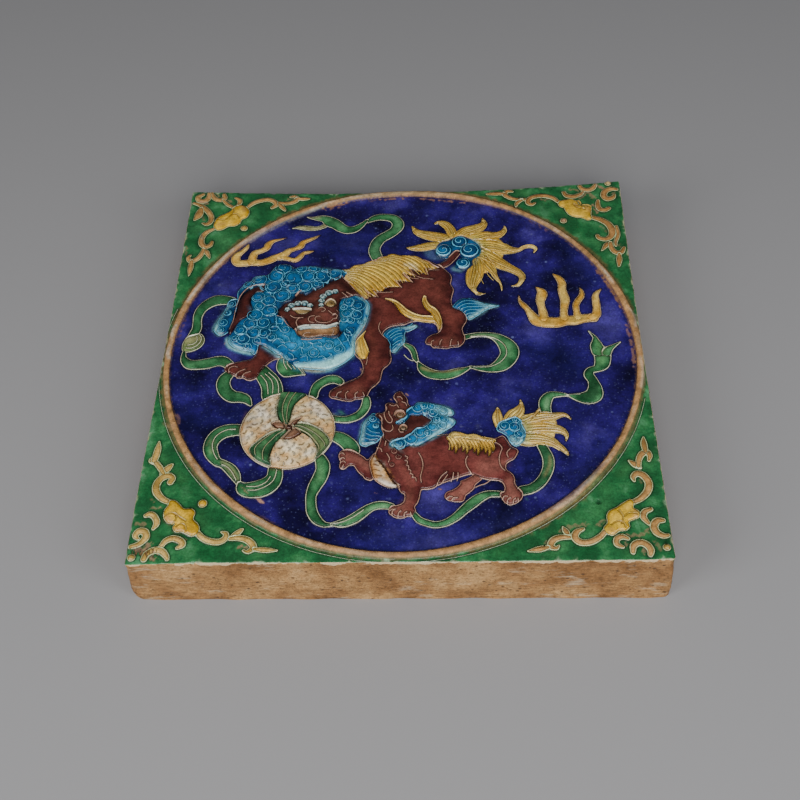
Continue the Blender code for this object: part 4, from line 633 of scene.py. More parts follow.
figure(((-28, 45.5), (-30, 44), (-32, 43), (-35, 41), (-36, 39.5), (-39, 37.5), (-41, 37), (-42, 35.5),
        (-44, 34), (-45, 35), (-47, 35), (-48.5, 33.5), (-50, 30.5), (-53, 29), (-54.5, 27), (-55.5, 25.5),
        (-56, 24), (-55.5, 22), (-54.5, 20.5), (-52.5, 19.5), (-51, 17.5), (-50, 15), (-48.5, 13.5),
        (-47, 12), (-45.5, 9), (-43.5, 7.5), (-41, 7.2), (-38, 7.5), (-36, 8), (-33, 7.8), (-30, 7.2),
        (-28, 7.5), (-27, 9), (-26.5, 10.5), (-27.5, 13), (-28, 17), (-27.5, 19), (-28, 22), (-28.5, 26),
        (-28, 29.5), (-27, 31), (-24, 31.8), (-21.5, 33), (-18.5, 32.5), (-20, 35), (-22.5, 38), (-25, 41.5),
        (-27, 44)), ("#2a1012", "#56281f", "#75423a"), None, 1.45, dome=0.65, width=6)
for line in (((-55.8, 20.8), (-54, 20), (-52.3, 17.8), (-50.7, 15.2), (-48.5, 13.5), (-47, 13)),
             ((-28, 45.2), (-24.5, 41), (-21, 35.8), (-18.4, 32.6)),
             ((-27.5, 34.5), (-26, 33.2), (-24.8, 32)), ((-25.5, 34.8), (-24, 33.8), (-22.3, 33)),
             ((-48.5, 33.4), (-47.5, 34.8), (-46, 36)),
             ((-63, 40.3), (-67, 39.8), (-71, 37.5), (-74, 32), (-75, 25), (-75.3, 20), (-76.5, 14))):
    thread(line, AUBERGINE_THREAD, width=0.15)
# Painted shade darkens the face along its edges, under the mane's curls and beside the cheek
wash(((-29, 42, 1.5), (-24, 36, 1.5), (-20.5, 33.5, 0.8)), "#1c0a0d", 0.7, 2)
wash(((-52, 25, 1.5), (-50, 20, 1.5), (-47, 16, 1)), "#2a1012", 0.55, 2)
wash(((-54.5, 28, 1.2), (-49, 31.5, 1.5), (-43, 34, 1.2), (-36, 38.5, 1.2), (-31, 42.5, 1)),
     "#200c0e", 0.7, 2)
wash(((-27, 28, 0.6), (-26.8, 22, 0.8), (-26.2, 14, 0.8)), "#4fb3cf", 0.6, 1.6)
wash(((-64, 28, 1), (-68, 26, 0.5), (-66, 24, 0.8)), "#2f97c4", 0.5, 2)
wash(((-52, 8, 3), (-40, 2, 4), (-29, 3, 3)), "#3cb2ea", 0.85, 5)
wash(((-38.5, 30, 1.2), (-38, 24, 1.6), (-37, 20, 2)), "#83503f", 0.4, 2)
snails = []
for x, y, radius, start in (
        (-50.5, 43.5, 4.2, 0.5), (-43, 45, 3.3, 3.8), (-37, 44.5, 3.5, 1.2), (-31.5, 46.8, 3.0, 0.2),
        (-58, 45.5, 3.4, 5.0), (-55.3, 50.5, 3.2, 0.8), (-47, 50.2, 2.2, 1.5), (-41, 49.7, 2.4, 2.5),
        (-35.5, 48.9, 1.8, 2.0), (-66, 43.3, 3.1, 1.4), (-70.5, 40.6, 2.3, 3.0), (-44.6, 38.6, 2.8, 4.4),
        (-38.8, 39.6, 2.3, 0.9), (-49.8, 37.4, 2.6, 2.4), (-54.5, 33.2, 3.4, 5.6), (-58.8, 38.2, 3.2, 1.8),
        (-63.2, 38.6, 1.6, 2.0), (-60.3, 30.2, 2.8, 0.3), (-65.2, 32.2, 2.6, 2.8), (-53.6, 40.2, 1.9, 1.0),
        (-59.3, 23.7, 3.0, 4.8), (-65.8, 21.3, 3.0, 1.1), (-64, 26.5, 2.0, 2.2), (-67.2, 16.0, 2.8, 3.6),
        (-61.6, 16.6, 2.5, 0.6), (-65.3, 10.9, 2.8, 5.2), (-60.5, 10.4, 2.4, 2.0), (-69.6, 7.3, 2.6, 0.9),
        (-71.3, 12.3, 2.4, 3.3), (-73.3, 7.5, 1.5, 1.0), (-57, 8.0, 1.9, 4.0), (-63.6, 6.0, 1.6, 0.4),
        (-79.7, 17.3, 1.8, 1.0), (-77.2, 28.6, 1.8, 3.0), (-78.3, 23.2, 1.5, 5.0), (-80.3, 13, 1.3, 2.0),
        (-24, 28.4, 2.2, 0.2), (-19.7, 26.5, 2.8, 2.6), (-26.2, 25.4, 1.4, 1.1), (-24.6, 21.6, 2.1, 4.1),
        (-20.3, 20.6, 2.2, 0.7), (-22.6, 17.2, 1.4, 2.1), (-25.6, 17.8, 1.4, 5.1), (-18.5, 16.6, 1.1, 1.2),
        (-38, -1.5, 2.1, 1.0), (-31.5, 2.5, 1.7, 4.0), (-27.5, 0.6, 1.6, 2.2), (-51.5, 12.5, 1.7, 0.4)):
    curl(x, y, radius*1.16, TURQUOISE_THREAD, start=start, width=0.12)
    snails.append((x, y, radius*1.16))
combings = random.Random(5)
for k in range(2600):
    x, y, radius = combings.uniform(-82, -16), combings.uniform(-7, 53), 2.4 - 1.3*k/2600
    if min(math.hypot(x - a, y - b) - (r + radius) for a, b, r in snails) < 0:
        continue
    around_it = [(np.searchsorted(upward, y + radius*v), np.searchsorted(across, x + radius*u))
                 for u, v in ((0, 0), (1, 0), (-1, 0), (0, 1), (0, -1))]
    if any(tint[spot][2] < 5*tint[spot][0] or relief[spot] < 1.0 for spot in around_it):
        continue
    snails.append((x, y, radius))
    turn = combings.uniform(0, math.tau)
    if y < 8 and x > -58:
        turn = -0.4 + 0.05*x + combings.uniform(-0.4, 0.4)
        angles = [turn + 0.7*i for i in range(4)]
        thread([(x + 1.25*radius*math.cos(angle), y + 1.25*radius*math.sin(angle)) for angle in angles],
               TURQUOISE_THREAD, width=0.12)
    else:
        curl(x, y, radius, TURQUOISE_THREAD, start=turn, turns=1.5, width=0.1)
for lock in (
        ((-56.5, 5), (-54.5, 7), (-52.5, 6.5), (-51, 4)), ((-52.5, 9.5), (-50, 8), (-49, 5.5)),
        ((-54, 2), (-52, 3.5), (-50, 2)), ((-48.5, 4.5), (-46, 4), (-46.2, 1.6), (-47.5, 0)),
        ((-49, -1), (-47, -2.5), (-46.5, -5)), ((-43.5, 5), (-42.5, 3), (-43.5, 1), (-42.8, -1.5)),
        ((-41, 5), (-39, 4), (-38.5, 2), (-36.5, 0.5)), ((-36.5, 5), (-35, 4), (-35, 2), (-33.3, 0)),
        ((-33, 5.5), (-31, 5.3), (-29.5, 4)), ((-28, 7), (-26, 3.5), (-24.5, 0.5), (-25, -1.5)),
        ((-25.5, 10), (-23.5, 6), (-22, 2)), ((-24.5, 12), (-22.3, 9.5), (-21.2, 6)),
        ((-43.5, -4), (-41, -3), (-40.5, -5.5)), ((-36, -4), (-34, -3.2), (-32.5, -5)),
        ((-31.5, -1.5), (-30, -3), (-29.5, -5)), ((-60.5, 20.8), (-57, 21.8), (-56, 19), (-55.5, 15)),
        ((-54.5, 18.5), (-52.8, 17.5), (-53.2, 15)), ((-58, 13.5), (-55, 14), (-53.5, 11.5)),
        ((-57, 28), (-58, 26.5), (-56.8, 25.8)), ((-62, 34.8), (-60, 35), (-59.8, 33.5)),
        ((-72, 10), (-70, 9.8)), ((-68.5, 3.5), (-66.5, 4.5), (-65.5, 2.8)),
        ((-46.5, -6.5), (-44, -6)), ((-23, 24.5), (-21.5, 23.7), (-22.4, 22.5))):
    thread(lock, TURQUOISE_THREAD, width=0.15)

# The lion's features. Brows of turquoise curls, half-moon eyes of ochre with dark pupils, a
# snub nose and a wide mouth under a pale moustache, all trailed on top of the face.
figure(((-48.9, 25), (-47.8, 23.2), (-46.5, 21.9), (-45, 21.5), (-43, 21.8), (-41.8, 22.8), (-41, 24.9)),
       ("#4d3a24", "#a68a56", "#bda36c"), "#d9c3a2", 1.8, dome=0.3, width=2)
figure(((-34.8, 28.3), (-33.8, 30), (-32.4, 30.9), (-31, 30.2), (-30, 28.6), (-30.2, 26.9),
        (-31.6, 25.9), (-33.3, 26), (-34.5, 27)), ("#4d3a24", "#9a7a48", "#b4975c"), "#d9c3a2", 1.8,
       dome=0.3, width=2)
for x, y, radius, strength in ((-45.2, 23.8, 0.5, 0.6), (-32.2, 28.2, 0.9, 0.95)):
    wash(((x, y, radius), (x + 0.05, y, radius)), "#2a1512", strength, 0.4)
thread(((-49, 24.9), (-45, 25.2), (-41.2, 24.8)), "#dbe0d8", width=0.25)
for x, y, radius, start in ((-51.6, 24.6, 1.1, 3.4), (-49.9, 27, 1.5, 1.0), (-47, 28.3, 1.5, 2.0),
                            (-44, 28.2, 1.5, 0.3), (-41.4, 26.7, 1.2, 1.2), (-36.4, 29.6, 1.3, 1.4),
                            (-35.8, 32.3, 1.5, 2.2), (-33.4, 34.5, 1.6, 0.5), (-30.6, 35.3, 1.3, 0.5),
                            (-36.5, 26.9, 1.0, 4.0)):
    place, field = disc(x, y, radius, 1.2)
    flood(place, field, ("#2c7186", "#6fb0bb", "#a9d2d2"), 1.9, 0.2, radius)
    curl(x, y, radius, "#c4dedd", start=start, width=0.13, rise=0.3, turns=1.7, dome=0.3)
for line in (
        ((-39, 20.5), (-41, 20), (-41.7, 18.5), (-41, 17), (-39, 16.2)),
        ((-36.5, 20), (-38, 20), (-38.7, 18.7), (-38, 17.2), (-36, 16.3), (-33.5, 16.2), (-31.5, 17.2),
         (-30.7, 18.5), (-29, 19)), ((-33, 23.5), (-31, 21.5), (-29.5, 22)),
        ((-37.5, 25), (-36, 25.5), (-34.5, 24.5), (-34.8, 23.3), (-36, 23)),
        ((-44, 19.5), (-46, 19), (-47, 17), (-46.5, 15), (-46, 14.3)),
        ((-31.2, 20.6), (-30, 21.4), (-28.9, 20.6), (-29.2, 19.3)), ((-50, 21), (-48, 19.5), (-46, 19.4)),
        ((-29.5, 24), (-28.3, 23))):
    thread(line, "#c39a86", width=0.17)
figure(((-46, 13), (-44.5, 9.3), (-41, 8.2), (-38, 8.6), (-35, 9.2), (-31, 9), (-28.5, 9.8), (-28, 13),
        (-30, 15)), ("#6d4a32", "#a3784f", "#b98f63"), None, 1.3, dome=-0.2)
wash(((-42, 10.2, 0.5), (-37, 10.2, 0.6), (-32, 10.8, 0.5)), "#4a241c", 0.6, 0.8)
figure(((-46.3, 13.8), (-44, 14.9), (-41, 15.2), (-37, 15.2), (-33, 14.8), (-30, 15.9), (-27.5, 17.1),
        (-29.5, 14.9), (-33, 13.4), (-37, 13.2), (-41, 13.3), (-44.5, 13.2)),
       ("#5f93a0", "#a9cdcd", "#cfe0da"), "#d8ddd2", 1.9, dome=0.35, width=1.5)
wash(((-40, 14, 0.5), (-36, 13.8, 0.5)), "#c9a779", 0.6, 0.6)
for line in (((-47, 13.5), (-46.5, 11), (-45.5, 9), (-43.5, 7.5), (-41, 7.2), (-38, 7.5), (-36, 8),
              (-33, 7.8), (-30, 7.2), (-28, 7.5), (-27, 9), (-26.5, 10.5)),
             ((-44, 6.6), (-41, 6.2), (-38, 6.6), (-35, 6.9)), ((-43.5, 9.3), (-42.5, 10.8), (-40.5, 11)),
             ((-30.5, 10.3), (-30, 11.8), (-31, 13))):
    thread(line, "#c9a890", width=0.19)

# The brocade ball. A low dome of cream glaze over pricked dashes, with three folded green
# ribbons that cross it from a knot near its middle.
lion_here = np.abs(relief - without_lion) > 0.03
without_cub = relief.copy()
BALL = (-46.4, -42.2, 19.5)
place, field = disc(*BALL, 2.0)
flood(place, field, ("#c8935a", "#ffe2a8", "#fff0cc"), 1.0, 1.55, 19)
lay_thread(place, field, "#e0d2b4", THREAD)
scatter = random.Random(7)
for k in range(70):
    angle, part = k * 2.39996, math.sqrt((k + 0.5) / 70)
    x, y = BALL[0] + part*18.3*math.cos(angle), BALL[1] + part*18.3*math.sin(angle)
    half = scatter.uniform(0.5, 1.8)
    wash(((x - half, y - half*0.5, 0.6), (x + half, y + half*0.7, 0.6)),
         scatter.choice(("#b87a34", "#cf9850", "#fff6e0", "#d8a25a", "#fff9ee", "#dcab66")),
         scatter.uniform(0.5, 0.95), 1.5)
for stain, code, strength in (
        (((-64, -33, 0.8), (-65.3, -41, 0.8), (-63, -50, 0.9)), "#a97e50", 0.55),
        (((-52, -60.5, 0.8), (-44, -61.3, 0.9), (-36, -58.3, 0.8)), "#a97e50", 0.6),
        (((-28.3, -36, 0.7), (-27.3, -43, 0.8)), "#b18a5e", 0.5),
        (((-42, -24, 0.5), (-35, -26.8, 0.6)), "#b18a5e", 0.45),
        (((-60, -30, 1.6), (-57, -34, 2)), "#fffaf0", 0.5),
        (((-36, -30, 2), (-33, -34, 2)), "#fffaf0", 0.5)):
    wash(stain, code, strength, 1.2)
for k in range(120):
    angle, part = k * 2.39996 + 0.7, math.sqrt((k + 0.5) / 120)
    x, y = BALL[0] + part*18.2*math.cos(angle), BALL[1] + part*18.2*math.sin(angle)
    tilt = scatter.uniform(0, math.pi)
    u, v, cut_in = 0.9*math.cos(tilt), 0.9*math.sin(tilt), k % 3 == 0
    thread(((x - u, y - v), (x + 0.5*v, y - 0.5*u), (x + u, y + v)), "#a1845a" if cut_in else "#fff3da",
           width=0.1, rise=-0.35 if cut_in else 0.3, steps=3)
fold_green = ("#0d3a24", "#2f6b40", "#5a8f5c")
for fold, glaze in (
        (((-50.5, -22.7), (-51.2, -26.4), (-51.7, -30.3), (-51.3, -34.3), (-50, -37.7), (-47.5, -40.5),
          (-46.2, -40.2), (-45.4, -36.3), (-45.1, -33), (-44.2, -29.8), (-42.3, -26.9), (-39.6, -23.6),
          (-44.5, -22.6)), fold_green),
        (((-46.5, -42.3), (-50.5, -43.1), (-53.4, -44.4), (-56.4, -46.6), (-58.8, -49.1), (-61.2, -52.3),
          (-58, -57), (-51.9, -60.3), (-52.4, -56.5), (-51.7, -52.5), (-50.5, -49.6), (-48.5, -46.6),
          (-46.2, -43.8)), fold_green),
        (((-43, -39.5), (-39.6, -39.3), (-35.7, -40.7), (-32.7, -42.7), (-30.2, -45.1), (-28.4, -48.6),
          (-30.5, -53), (-34.2, -57.2), (-33.4, -54), (-33.7, -51.5), (-35.2, -48.6), (-37.6, -46.1),
          (-40.6, -44.1), (-43.8, -41.9)), ("#2b4f30", "#5d7f4c", "#93a068"))):
    figure(fold, glaze, SILK_THREAD, 2.65, dome=0.3, width=3)
wash(((-49.5, -27, 0.8), (-50, -33, 1)), "#0b2c1e", 0.7, 1.2)
wash(((-57, -50, 1), (-54.5, -55, 1.3)), "#0b2c1e", 0.6, 1.5)
wash(((-36, -45, 0.8), (-31.5, -49, 1.2)), "#2d5a38", 0.5, 1.5)
for line in (
        ((-46.8, -23.3), (-48, -26.4), (-48.9, -29.8), (-49, -33.3), (-48.4, -36.7), (-47.5, -39.5)),
        ((-43.7, -23), (-45.8, -27), (-46.8, -31), (-47, -35.5), (-46.6, -39.3)),
        ((-47.2, -43.2), (-50.5, -43.9), (-53.9, -46.6), (-56.9, -49.6), (-58.6, -52.5), (-58.3, -55.5)),
        ((-47, -43.2), (-50, -45.6), (-52.4, -48.6), (-54.4, -51.5), (-55.3, -54.5), (-54.9, -58)),
        ((-43.5, -40.9), (-40.1, -41.7), (-36.6, -43.7), (-33.7, -46.1), (-31.2, -49.1), (-30.3, -51)),
        ((-43.5, -41.7), (-40.6, -43.2), (-37.1, -45.6), (-34.2, -49.1), (-32.7, -52), (-32.8, -54.5))):
    thread(line, "#a9ad83", width=0.15)
for lobe in (
        ((-53, -39.5), (-50, -38.5), (-47.5, -40), (-47.5, -42.2), (-51, -42)),
        ((-45.3, -40.6), (-45, -39.2), (-42.5, -37), (-40.6, -36.3), (-41.8, -38.2), (-43.2, -40)),
        ((-45, -43.2), (-46.6, -45.2), (-47.7, -47.6), (-44.5, -47.8), (-41.6, -46.1), (-40.3, -44.4),
         (-43.5, -41.7))):
    figure(lobe, ("#4a2a1e", "#7d5440", "#a07a5e"), "#b4957a", 2.75, dome=0.25, width=2)
figure([(BALL[0] + 0.6 + 1.6*math.cos(k*math.tau/10), BALL[1] + 0.8 + 1.6*math.sin(k*math.tau/10))
        for k in range(10)], ("#3a1f18", "#6b4232", "#8a6450"), "#b4957a", 2.9, dome=0.2, width=1.5)
wash(((-45.8, -41.4, 0.7), (-45.7, -41.4, 0.7)), "#1c0f0d", 0.9, 0.3)

# The cub. It runs with its head thrown back, one paw on the ribbon and one before the ball, in
# a redder, thinner aubergine glaze, with a cream chest patch and turquoise curls at the nape.
CUB_GLAZE = ("#47191a", "#682f2d", "#834640")
figure(((28.5, -66), (26.1, -67.4), (24.5, -68.1), (24.3, -69.3), (22.9, -71.1), (21, -72.5), (19.1, -73.2),
        (18.2, -74.4), (18.2, -76), (19.6, -77.2), (21.9, -77.7), (24.7, -77.7), (25.7, -76.3),
        (26.1, -74.9), (28, -73.2), (29.4, -71.6), (30.1, -69.7), (33, -66.5), (31, -64)),
       ("#6b3532", "#94564c", "#a66b5c"), "#c2917c", 0.55, dome=0.4, width=3)
figure(((-9.5, -54), (-12.7, -57.4), (-14.6, -56), (-16.5, -54.6), (-18.8, -53.2), (-21.1, -52.5),
        (-23.2, -52.8), (-24.2, -53.7), (-24.5, -55.3), (-24.2, -56.7), (-23.7, -58.4), (-24, -60.2),
        (-23.5, -61.6), (-22.1, -61.8), (-20.9, -60.7), (-20, -60), (-18.3, -60.2), (-17.4, -61.6),
        (-16.2, -63.5), (-14.6, -65.1), (-13.2, -66.8), (-10.5, -66.8), (-8, -60)), CUB_GLAZE,
       AUBERGINE_THREAD, 0.75, dome=0.45, width=3.5)
figure(((-6.7, -44.6), (-8.1, -48.8), (-8.8, -51.1), (-9.5, -53.5), (-10.2, -55.8), (-11.7, -58),
        (-11.5, -61), (-10.8, -63.7), (-10, -66.8), (-8, -68.5), (-5.2, -70.4), (-2.9, -71.1), (-1.1, -70.8),
        (0.1, -70.4), (0, -71.4), (0.8, -73.1), (2.2, -74.2), (2.4, -75.9), (2, -77.7), (0.8, -78.9),
        (-0.6, -79.4), (-2.5, -79.8), (-3.6, -81), (-3.6, -82.9), (-2.5, -84), (-1.1, -85), (0.3, -85.2),
        (2.2, -85), (3.6, -84.3), (5, -84.3), (5.9, -83.1), (6.6, -81.9), (6.2, -80.1), (7.3, -78.2),
        (8, -75.9), (8.3, -73.8), (9, -72), (11.1, -71.9), (13.4, -71.4), (15, -70.3), (17.5, -68.9),
        (20.5, -67.6), (23, -66.6), (26, -65.4), (28.5, -64.8), (30.8, -65.8), (33.1, -66.9), (35.5, -67.6),
        (38.7, -67.9), (40.6, -68.8), (41.5, -70.7), (41.6, -72.1), (41.1, -73.5), (39.7, -74.4),
        (39.9, -75.8), (40.8, -77.7), (42, -79.1), (43.9, -79.5), (46.2, -78.4), (47.8, -76.7),
        (48.3, -74.6), (47.6, -73), (46.2, -71.1), (45.5, -69.3), (45.5, -67.4), (45, -65.5), (43.9, -64.1),
        (42.4, -62.7), (42.5, -60.2), (43.9, -58.8), (45.7, -57.6), (46.9, -55.7), (47.4, -53.4),
        (44.8, -51.3), (43.4, -48.5), (41.5, -46.2), (38, -47.5), (30, -46), (20, -45), (14, -46), (6, -48),
        (-1, -46)), CUB_GLAZE, AUBERGINE_THREAD, 0.85, dome=0.7, width=6.5)
# Near-black washes along the leg creases and under the head are painted shade; the other washes darken and
# lighten the glaze over the body and paws
for patch, code, strength, soft in (
        (((2, -63, 1.5), (4.5, -72, 1.5), (4.5, -80, 1.2)), "#8f5448", 0.4, 2.5),
        (((-1, -82, 1.5), (3, -82.5, 1.5)), "#9a5f52", 0.5, 1.5),
        (((43.5, -68, 1), (44.5, -76, 2)), "#9a5f52", 0.5, 2),
        (((13, -55, 4), (20, -60, 4), (27, -62, 2)), "#72352f", 0.5, 4),
        (((32, -62, 3), (36, -58, 3)), "#7f443b", 0.4, 3.5),
        (((10.3, -60, 0.8), (9.6, -67, 1)), "#35120f", 0.45, 1.6),
        (((16, -67.5, 0.8), (24, -64.5, 0.8)), "#35120f", 0.4, 1.5),
        (((-6, -49, 1.5), (-6, -54, 1.5)), "#3d1716", 0.4, 2)):
    wash(patch, code, strength, soft)
for patch, strength in ((((-22, -56, 1.5), (-18, -57, 1.5), (-12, -61, 2)), 0.6),
                        (((0, -82, 2), (3, -76, 1.5)), 0.5), (((44, -76, 2.5), (43.5, -70, 2)), 0.55),
                        (((35, -62, 4), (43, -60, 2)), 0.35)):
    wash(patch, "#a86c5e", strength, 2)
chest = (
    (-9.7, -55.1), (-11.1, -56.5), (-11.7, -58.3), (-11.5, -60.9), (-10.9, -63.7), (-10.1, -66.9),
    (-8.1, -68.5), (-5.3, -70.3), (-2.9, -71), (-1.1, -70.8), (-0.1, -69.8), (-2, -68.4), (-3.9, -65.1),
    (-5.7, -61.4), (-7.1, -59.5), (-8.8, -57.2))
place, field = enclosed(eased([(x, y, 0.0) for x, y in chest], closed=True), 2.0)
flood(place, field, ("#a8703c", "#dba86a", "#e9c48c"), 1.4, 0.25, 3)
for k in range(26):
    t, aside = k / 26, (1 + 1.3*math.sin(math.pi*k/26)) * math.sin(k*2.4)
    wash(((-10 + 7*t + aside, -57.2 - 12.2*t, 0.3), (-9.5 + 7*t + aside, -57.6 - 12.2*t, 0.3)),
         ("#f6ead2", "#b5793f", "#c9955c")[k % 3], 0.6, 0.8)
for k in range(8):
    x, y = -8.6 + 0.95*k, -58.2 - 1.6*k
    thread(((x, y), (x + 1.0, y - 0.5), (x + 1.5, y - 1.5)), "#45201c", width=0.22, rise=-0.15)
thread(((-10.9, -56), (-11.9, -58.5), (-11.8, -61), (-10.6, -65.5), (-8.6, -68.3), (-5.5, -70.4),
        (-2.9, -71.2)), AUBERGINE_THREAD, width=0.14)
wash(((-7.5, -67.6, 0.7), (-4, -69.8, 0.9), (-1.5, -70.2, 0.6)), "#f0e6d4", 0.9, 1)
wash(((-9.5, -58.5, 0.6), (-8.8, -61, 0.7)), "#f0e6d4", 0.5, 1)
for line in (((-10.5, -60), (-8.5, -60.7)), ((-10.3, -62.5), (-8, -63.2)), ((-9.6, -65.2), (-7, -65.8)),
             ((-8.6, -57.8), (-9.6, -58.6))):
    thread(line, "#8f5a34", width=0.13, rise=-0.2)
for line in (
        ((-24.3, -54.6), (-23, -54.3), (-22.3, -55.2)), ((-24.2, -57), (-22.8, -56.6), (-22, -57.2)),
        ((-23.8, -58.6), (-22.4, -58.4), (-21.7, -59.2)), ((-23, -61.4), (-22.3, -60.2)),
        ((-2.6, -84), (-2.2, -82.2), (-1, -81.3)), ((-0.2, -85), (0.1, -83.2), (1, -82.2)),
        ((2.3, -85), (2.3, -83.4), (3.3, -82.6)), ((5, -84.2), (4.6, -82.8)),
        ((-3.3, -81.8), (-2, -81.4)),
        ((40.3, -76.8), (41.3, -75.8), (42.3, -76)), ((42, -79), (42.5, -77.4), (43.5, -76.6)),
        ((44.4, -79.3), (44.7, -77.6), (45.5, -76.8)), ((46.6, -78), (46.4, -76.8)),
        ((18.5, -76.5), (19.8, -75.6), (21, -75.8)), ((20.5, -77.5), (21.5, -76.3), (23, -76.2)),
        ((38.5, -49.9), (40.1, -51.1), (41.1, -52.9), (40.6, -54.8), (39.9, -57.1), (39.9, -59.9),
         (40.6, -62.3), (42, -63.7)),
        ((28.5, -64.6), (27.3, -62.7), (26.6, -60.9), (26.5, -58.5), (27.3, -56.7)),
        ((7.6, -54.9), (8.5, -56.7), (9.2, -59.1), (9.4, -61.4), (9, -63.7), (8.5, -66.5), (8.8, -69)),
        ((2.2, -56.3), (3.2, -56.9), (3, -58)), ((2.2, -58.4), (3.2, -59), (3.1, -60.1)),
        ((2.7, -60.7), (3.7, -61.3), (3.7, -62.4)), ((3.6, -62.8), (4.5, -63.4), (4.6, -64.5)),
        ((4.3, -64.9), (5.3, -65.4), (5.4, -66.4)), ((5.2, -66.7), (6.4, -67), (6.8, -68.4)),
        ((-9.3, -51.5), (-7.7, -52.4), (-7.2, -54)), ((-6.4, -44.5), (-5.6, -47.5), (-6, -51)),
        ((-5.2, -55), (-4, -57.4), (-4.4, -59.3)),
        ((30.1, -71.1), (31.7, -70.2), (34.1, -69.3), (35.9, -67.9)),
        ((44.5, -53), (43, -55.2), (43.4, -57.2))):
    thread(line, AUBERGINE_THREAD, width=0.17)
thread(((18.9, -64.2), (17, -66), (15.6, -68.4), (14.8, -70.6)), AUBERGINE_THREAD, width=0.15)
for line in (((21.5, -64.6), (21.3, -66.5), (20.5, -68.3)), ((23.3, -64.6), (23.3, -66.3), (22.9, -67.9)),
             ((19.2, -65.5), (18, -67.5), (16.8, -69.2))):
    thread(line, AUBERGINE_THREAD, width=0.15)

# The yellow hair on the cub's back. Amber glaze over a wavy spine and a dozen short locks that
# hang from it, each one a stroke of the tool.
SADDLE = ("#d9a436", "#fbcf5c", "#ffdf80")
figure(((19.8, -48.5), (20.1, -45.9), (21, -44.1), (23, -43.8), (25.2, -44.4), (27.5, -45.2), (29.9, -45),
        (31.7, -45.6), (33.6, -46.6), (36, -47.3), (38.6, -48.6), (38, -50.2), (36, -50.6), (33, -49.8),
        (30, -49.4), (26, -49), (22, -49)), SADDLE, HAIR_LINE, 1.4, dome=0.35, width=3)
for k in range(12):
    x, top, drop = 20.4 + 1.49*k, -47.2 - 0.2*k, 6.4 + 1.3*math.sin(k*2.1)
    band(((x - 0.6, top, 0.78), (x + 0.4, top - drop*0.3, 0.7), (x + 0.9, top - drop*0.65, 0.5),
          (x + 0.6, top - drop, 0.15)), SADDLE, HAIR_LINE, 1.35, dome=0.2, wide=0.09)
thread(((19.8, -50), (20.2, -51.6), (19.9, -53.6)), HAIR_LINE, width=0.13)
for line in (((20.5, -46), (23, -45.3), (25.2, -46.3), (27.5, -47.4), (29.9, -46.9), (32, -48.1), (35, -49),
              (38, -49)), ((21.5, -47.4), (24.2, -46.8), (26.5, -48.2), (29, -48.6), (32, -49.2)),
             ((22, -44.9), (24.5, -44.9), (27.5, -46.3), (30, -45.9), (33, -47.2))):
    thread(line, HAIR_LINE, width=0.15, rise=0.4)

# The cub's head. Seen from the side with its mouth open to the sky, over a nape of turquoise
# curls and a cheek tuft that the wind blows forward.
figure(((-11.3, -33.9), (-12.7, -35.3), (-14.6, -37.6), (-15.5, -40.4), (-15.8, -44.1), (-16.5, -47.9),
        (-15.8, -50), (-13.9, -50.7), (-11.8, -49.7), (-9.5, -48.6), (-7.6, -46), (-6.7, -44.1), (-7.2, -41),
        (-7.6, -38.5), (-8.6, -36), (-9.9, -34.8)), TURQUOISE, TURQUOISE_THREAD, 1.15, dome=0.4)
wash(((-12.5, -35.5, 0.4), (-15, -39, 0.8), (-15.8, -45, 0.9), (-16, -49.3, 0.9)), MINT, 0.95, 1.4)
wash(((-14, -50, 0.4), (-11, -49, 0.4)), MINT, 0.6, 1)
for x, y, radius, start in ((-11.3, -37.4, 1.5, 1.0), (-10, -41, 1.2, 2.6)):
    curl(x, y, radius, TURQUOISE_THREAD, start=start, width=0.13, rise=0.3)
for line in (((-8.3, -44.5), (-11.5, -44), (-13.8, -42)), ((-8, -46), (-11.5, -46), (-14.5, -44.3)),
             ((-9, -47.3), (-12, -47.8), (-15, -46.8)), ((-10.5, -48.8), (-13, -49.4), (-15.5, -48.9)),
             ((-13.6, -38.4), (-12.6, -39.5), (-13.6, -40.6)), ((-9.3, -38.6), (-8.6, -39.6))):
    thread(line, TURQUOISE_THREAD, width=0.13)
figure(((-6.2, -30.4), (-6.2, -29.4), (-5.3, -28.5), (-3.9, -28.4), (-2.5, -29), (-1.5, -28.5), (-2, -27.3),
        (-2.9, -25.7), (-2.5, -23.8), (-1.3, -22.6), (0.1, -22.6), (0.8, -23.6), (1.4, -24.5), (2.2, -25.5),
        (2.7, -26.9), (2.9, -28.7), (3.8, -30.2), (5.5, -30.9), (7.5, -33.5), (10.6, -36), (12.9, -38.1),
        (11.5, -40.2), (8.5, -43), (5, -46), (0.5, -48.4), (-4, -49.5), (-6.7, -47), (-6.7, -44.6),
        (-7.6, -42), (-7.6, -38.5), (-9.5, -36.3), (-10.2, -34.8), (-9.3, -33.8), (-7.6, -33.9),
        (-6.2, -32.5)), ("#33110f", "#4f2520", "#6a3a33"), AUBERGINE_THREAD, 1.35, dome=0.5, width=4)
# Painted shade darkens the face where it meets the higher mane
wash(((2, -41, 1.5), (6, -39, 2), (10, -38.5, 1)), "#2a0d10", 0.75, 2)
wash(((0, -30, 1), (-1, -27, 1)), "#8c5247", 0.4, 1.4)
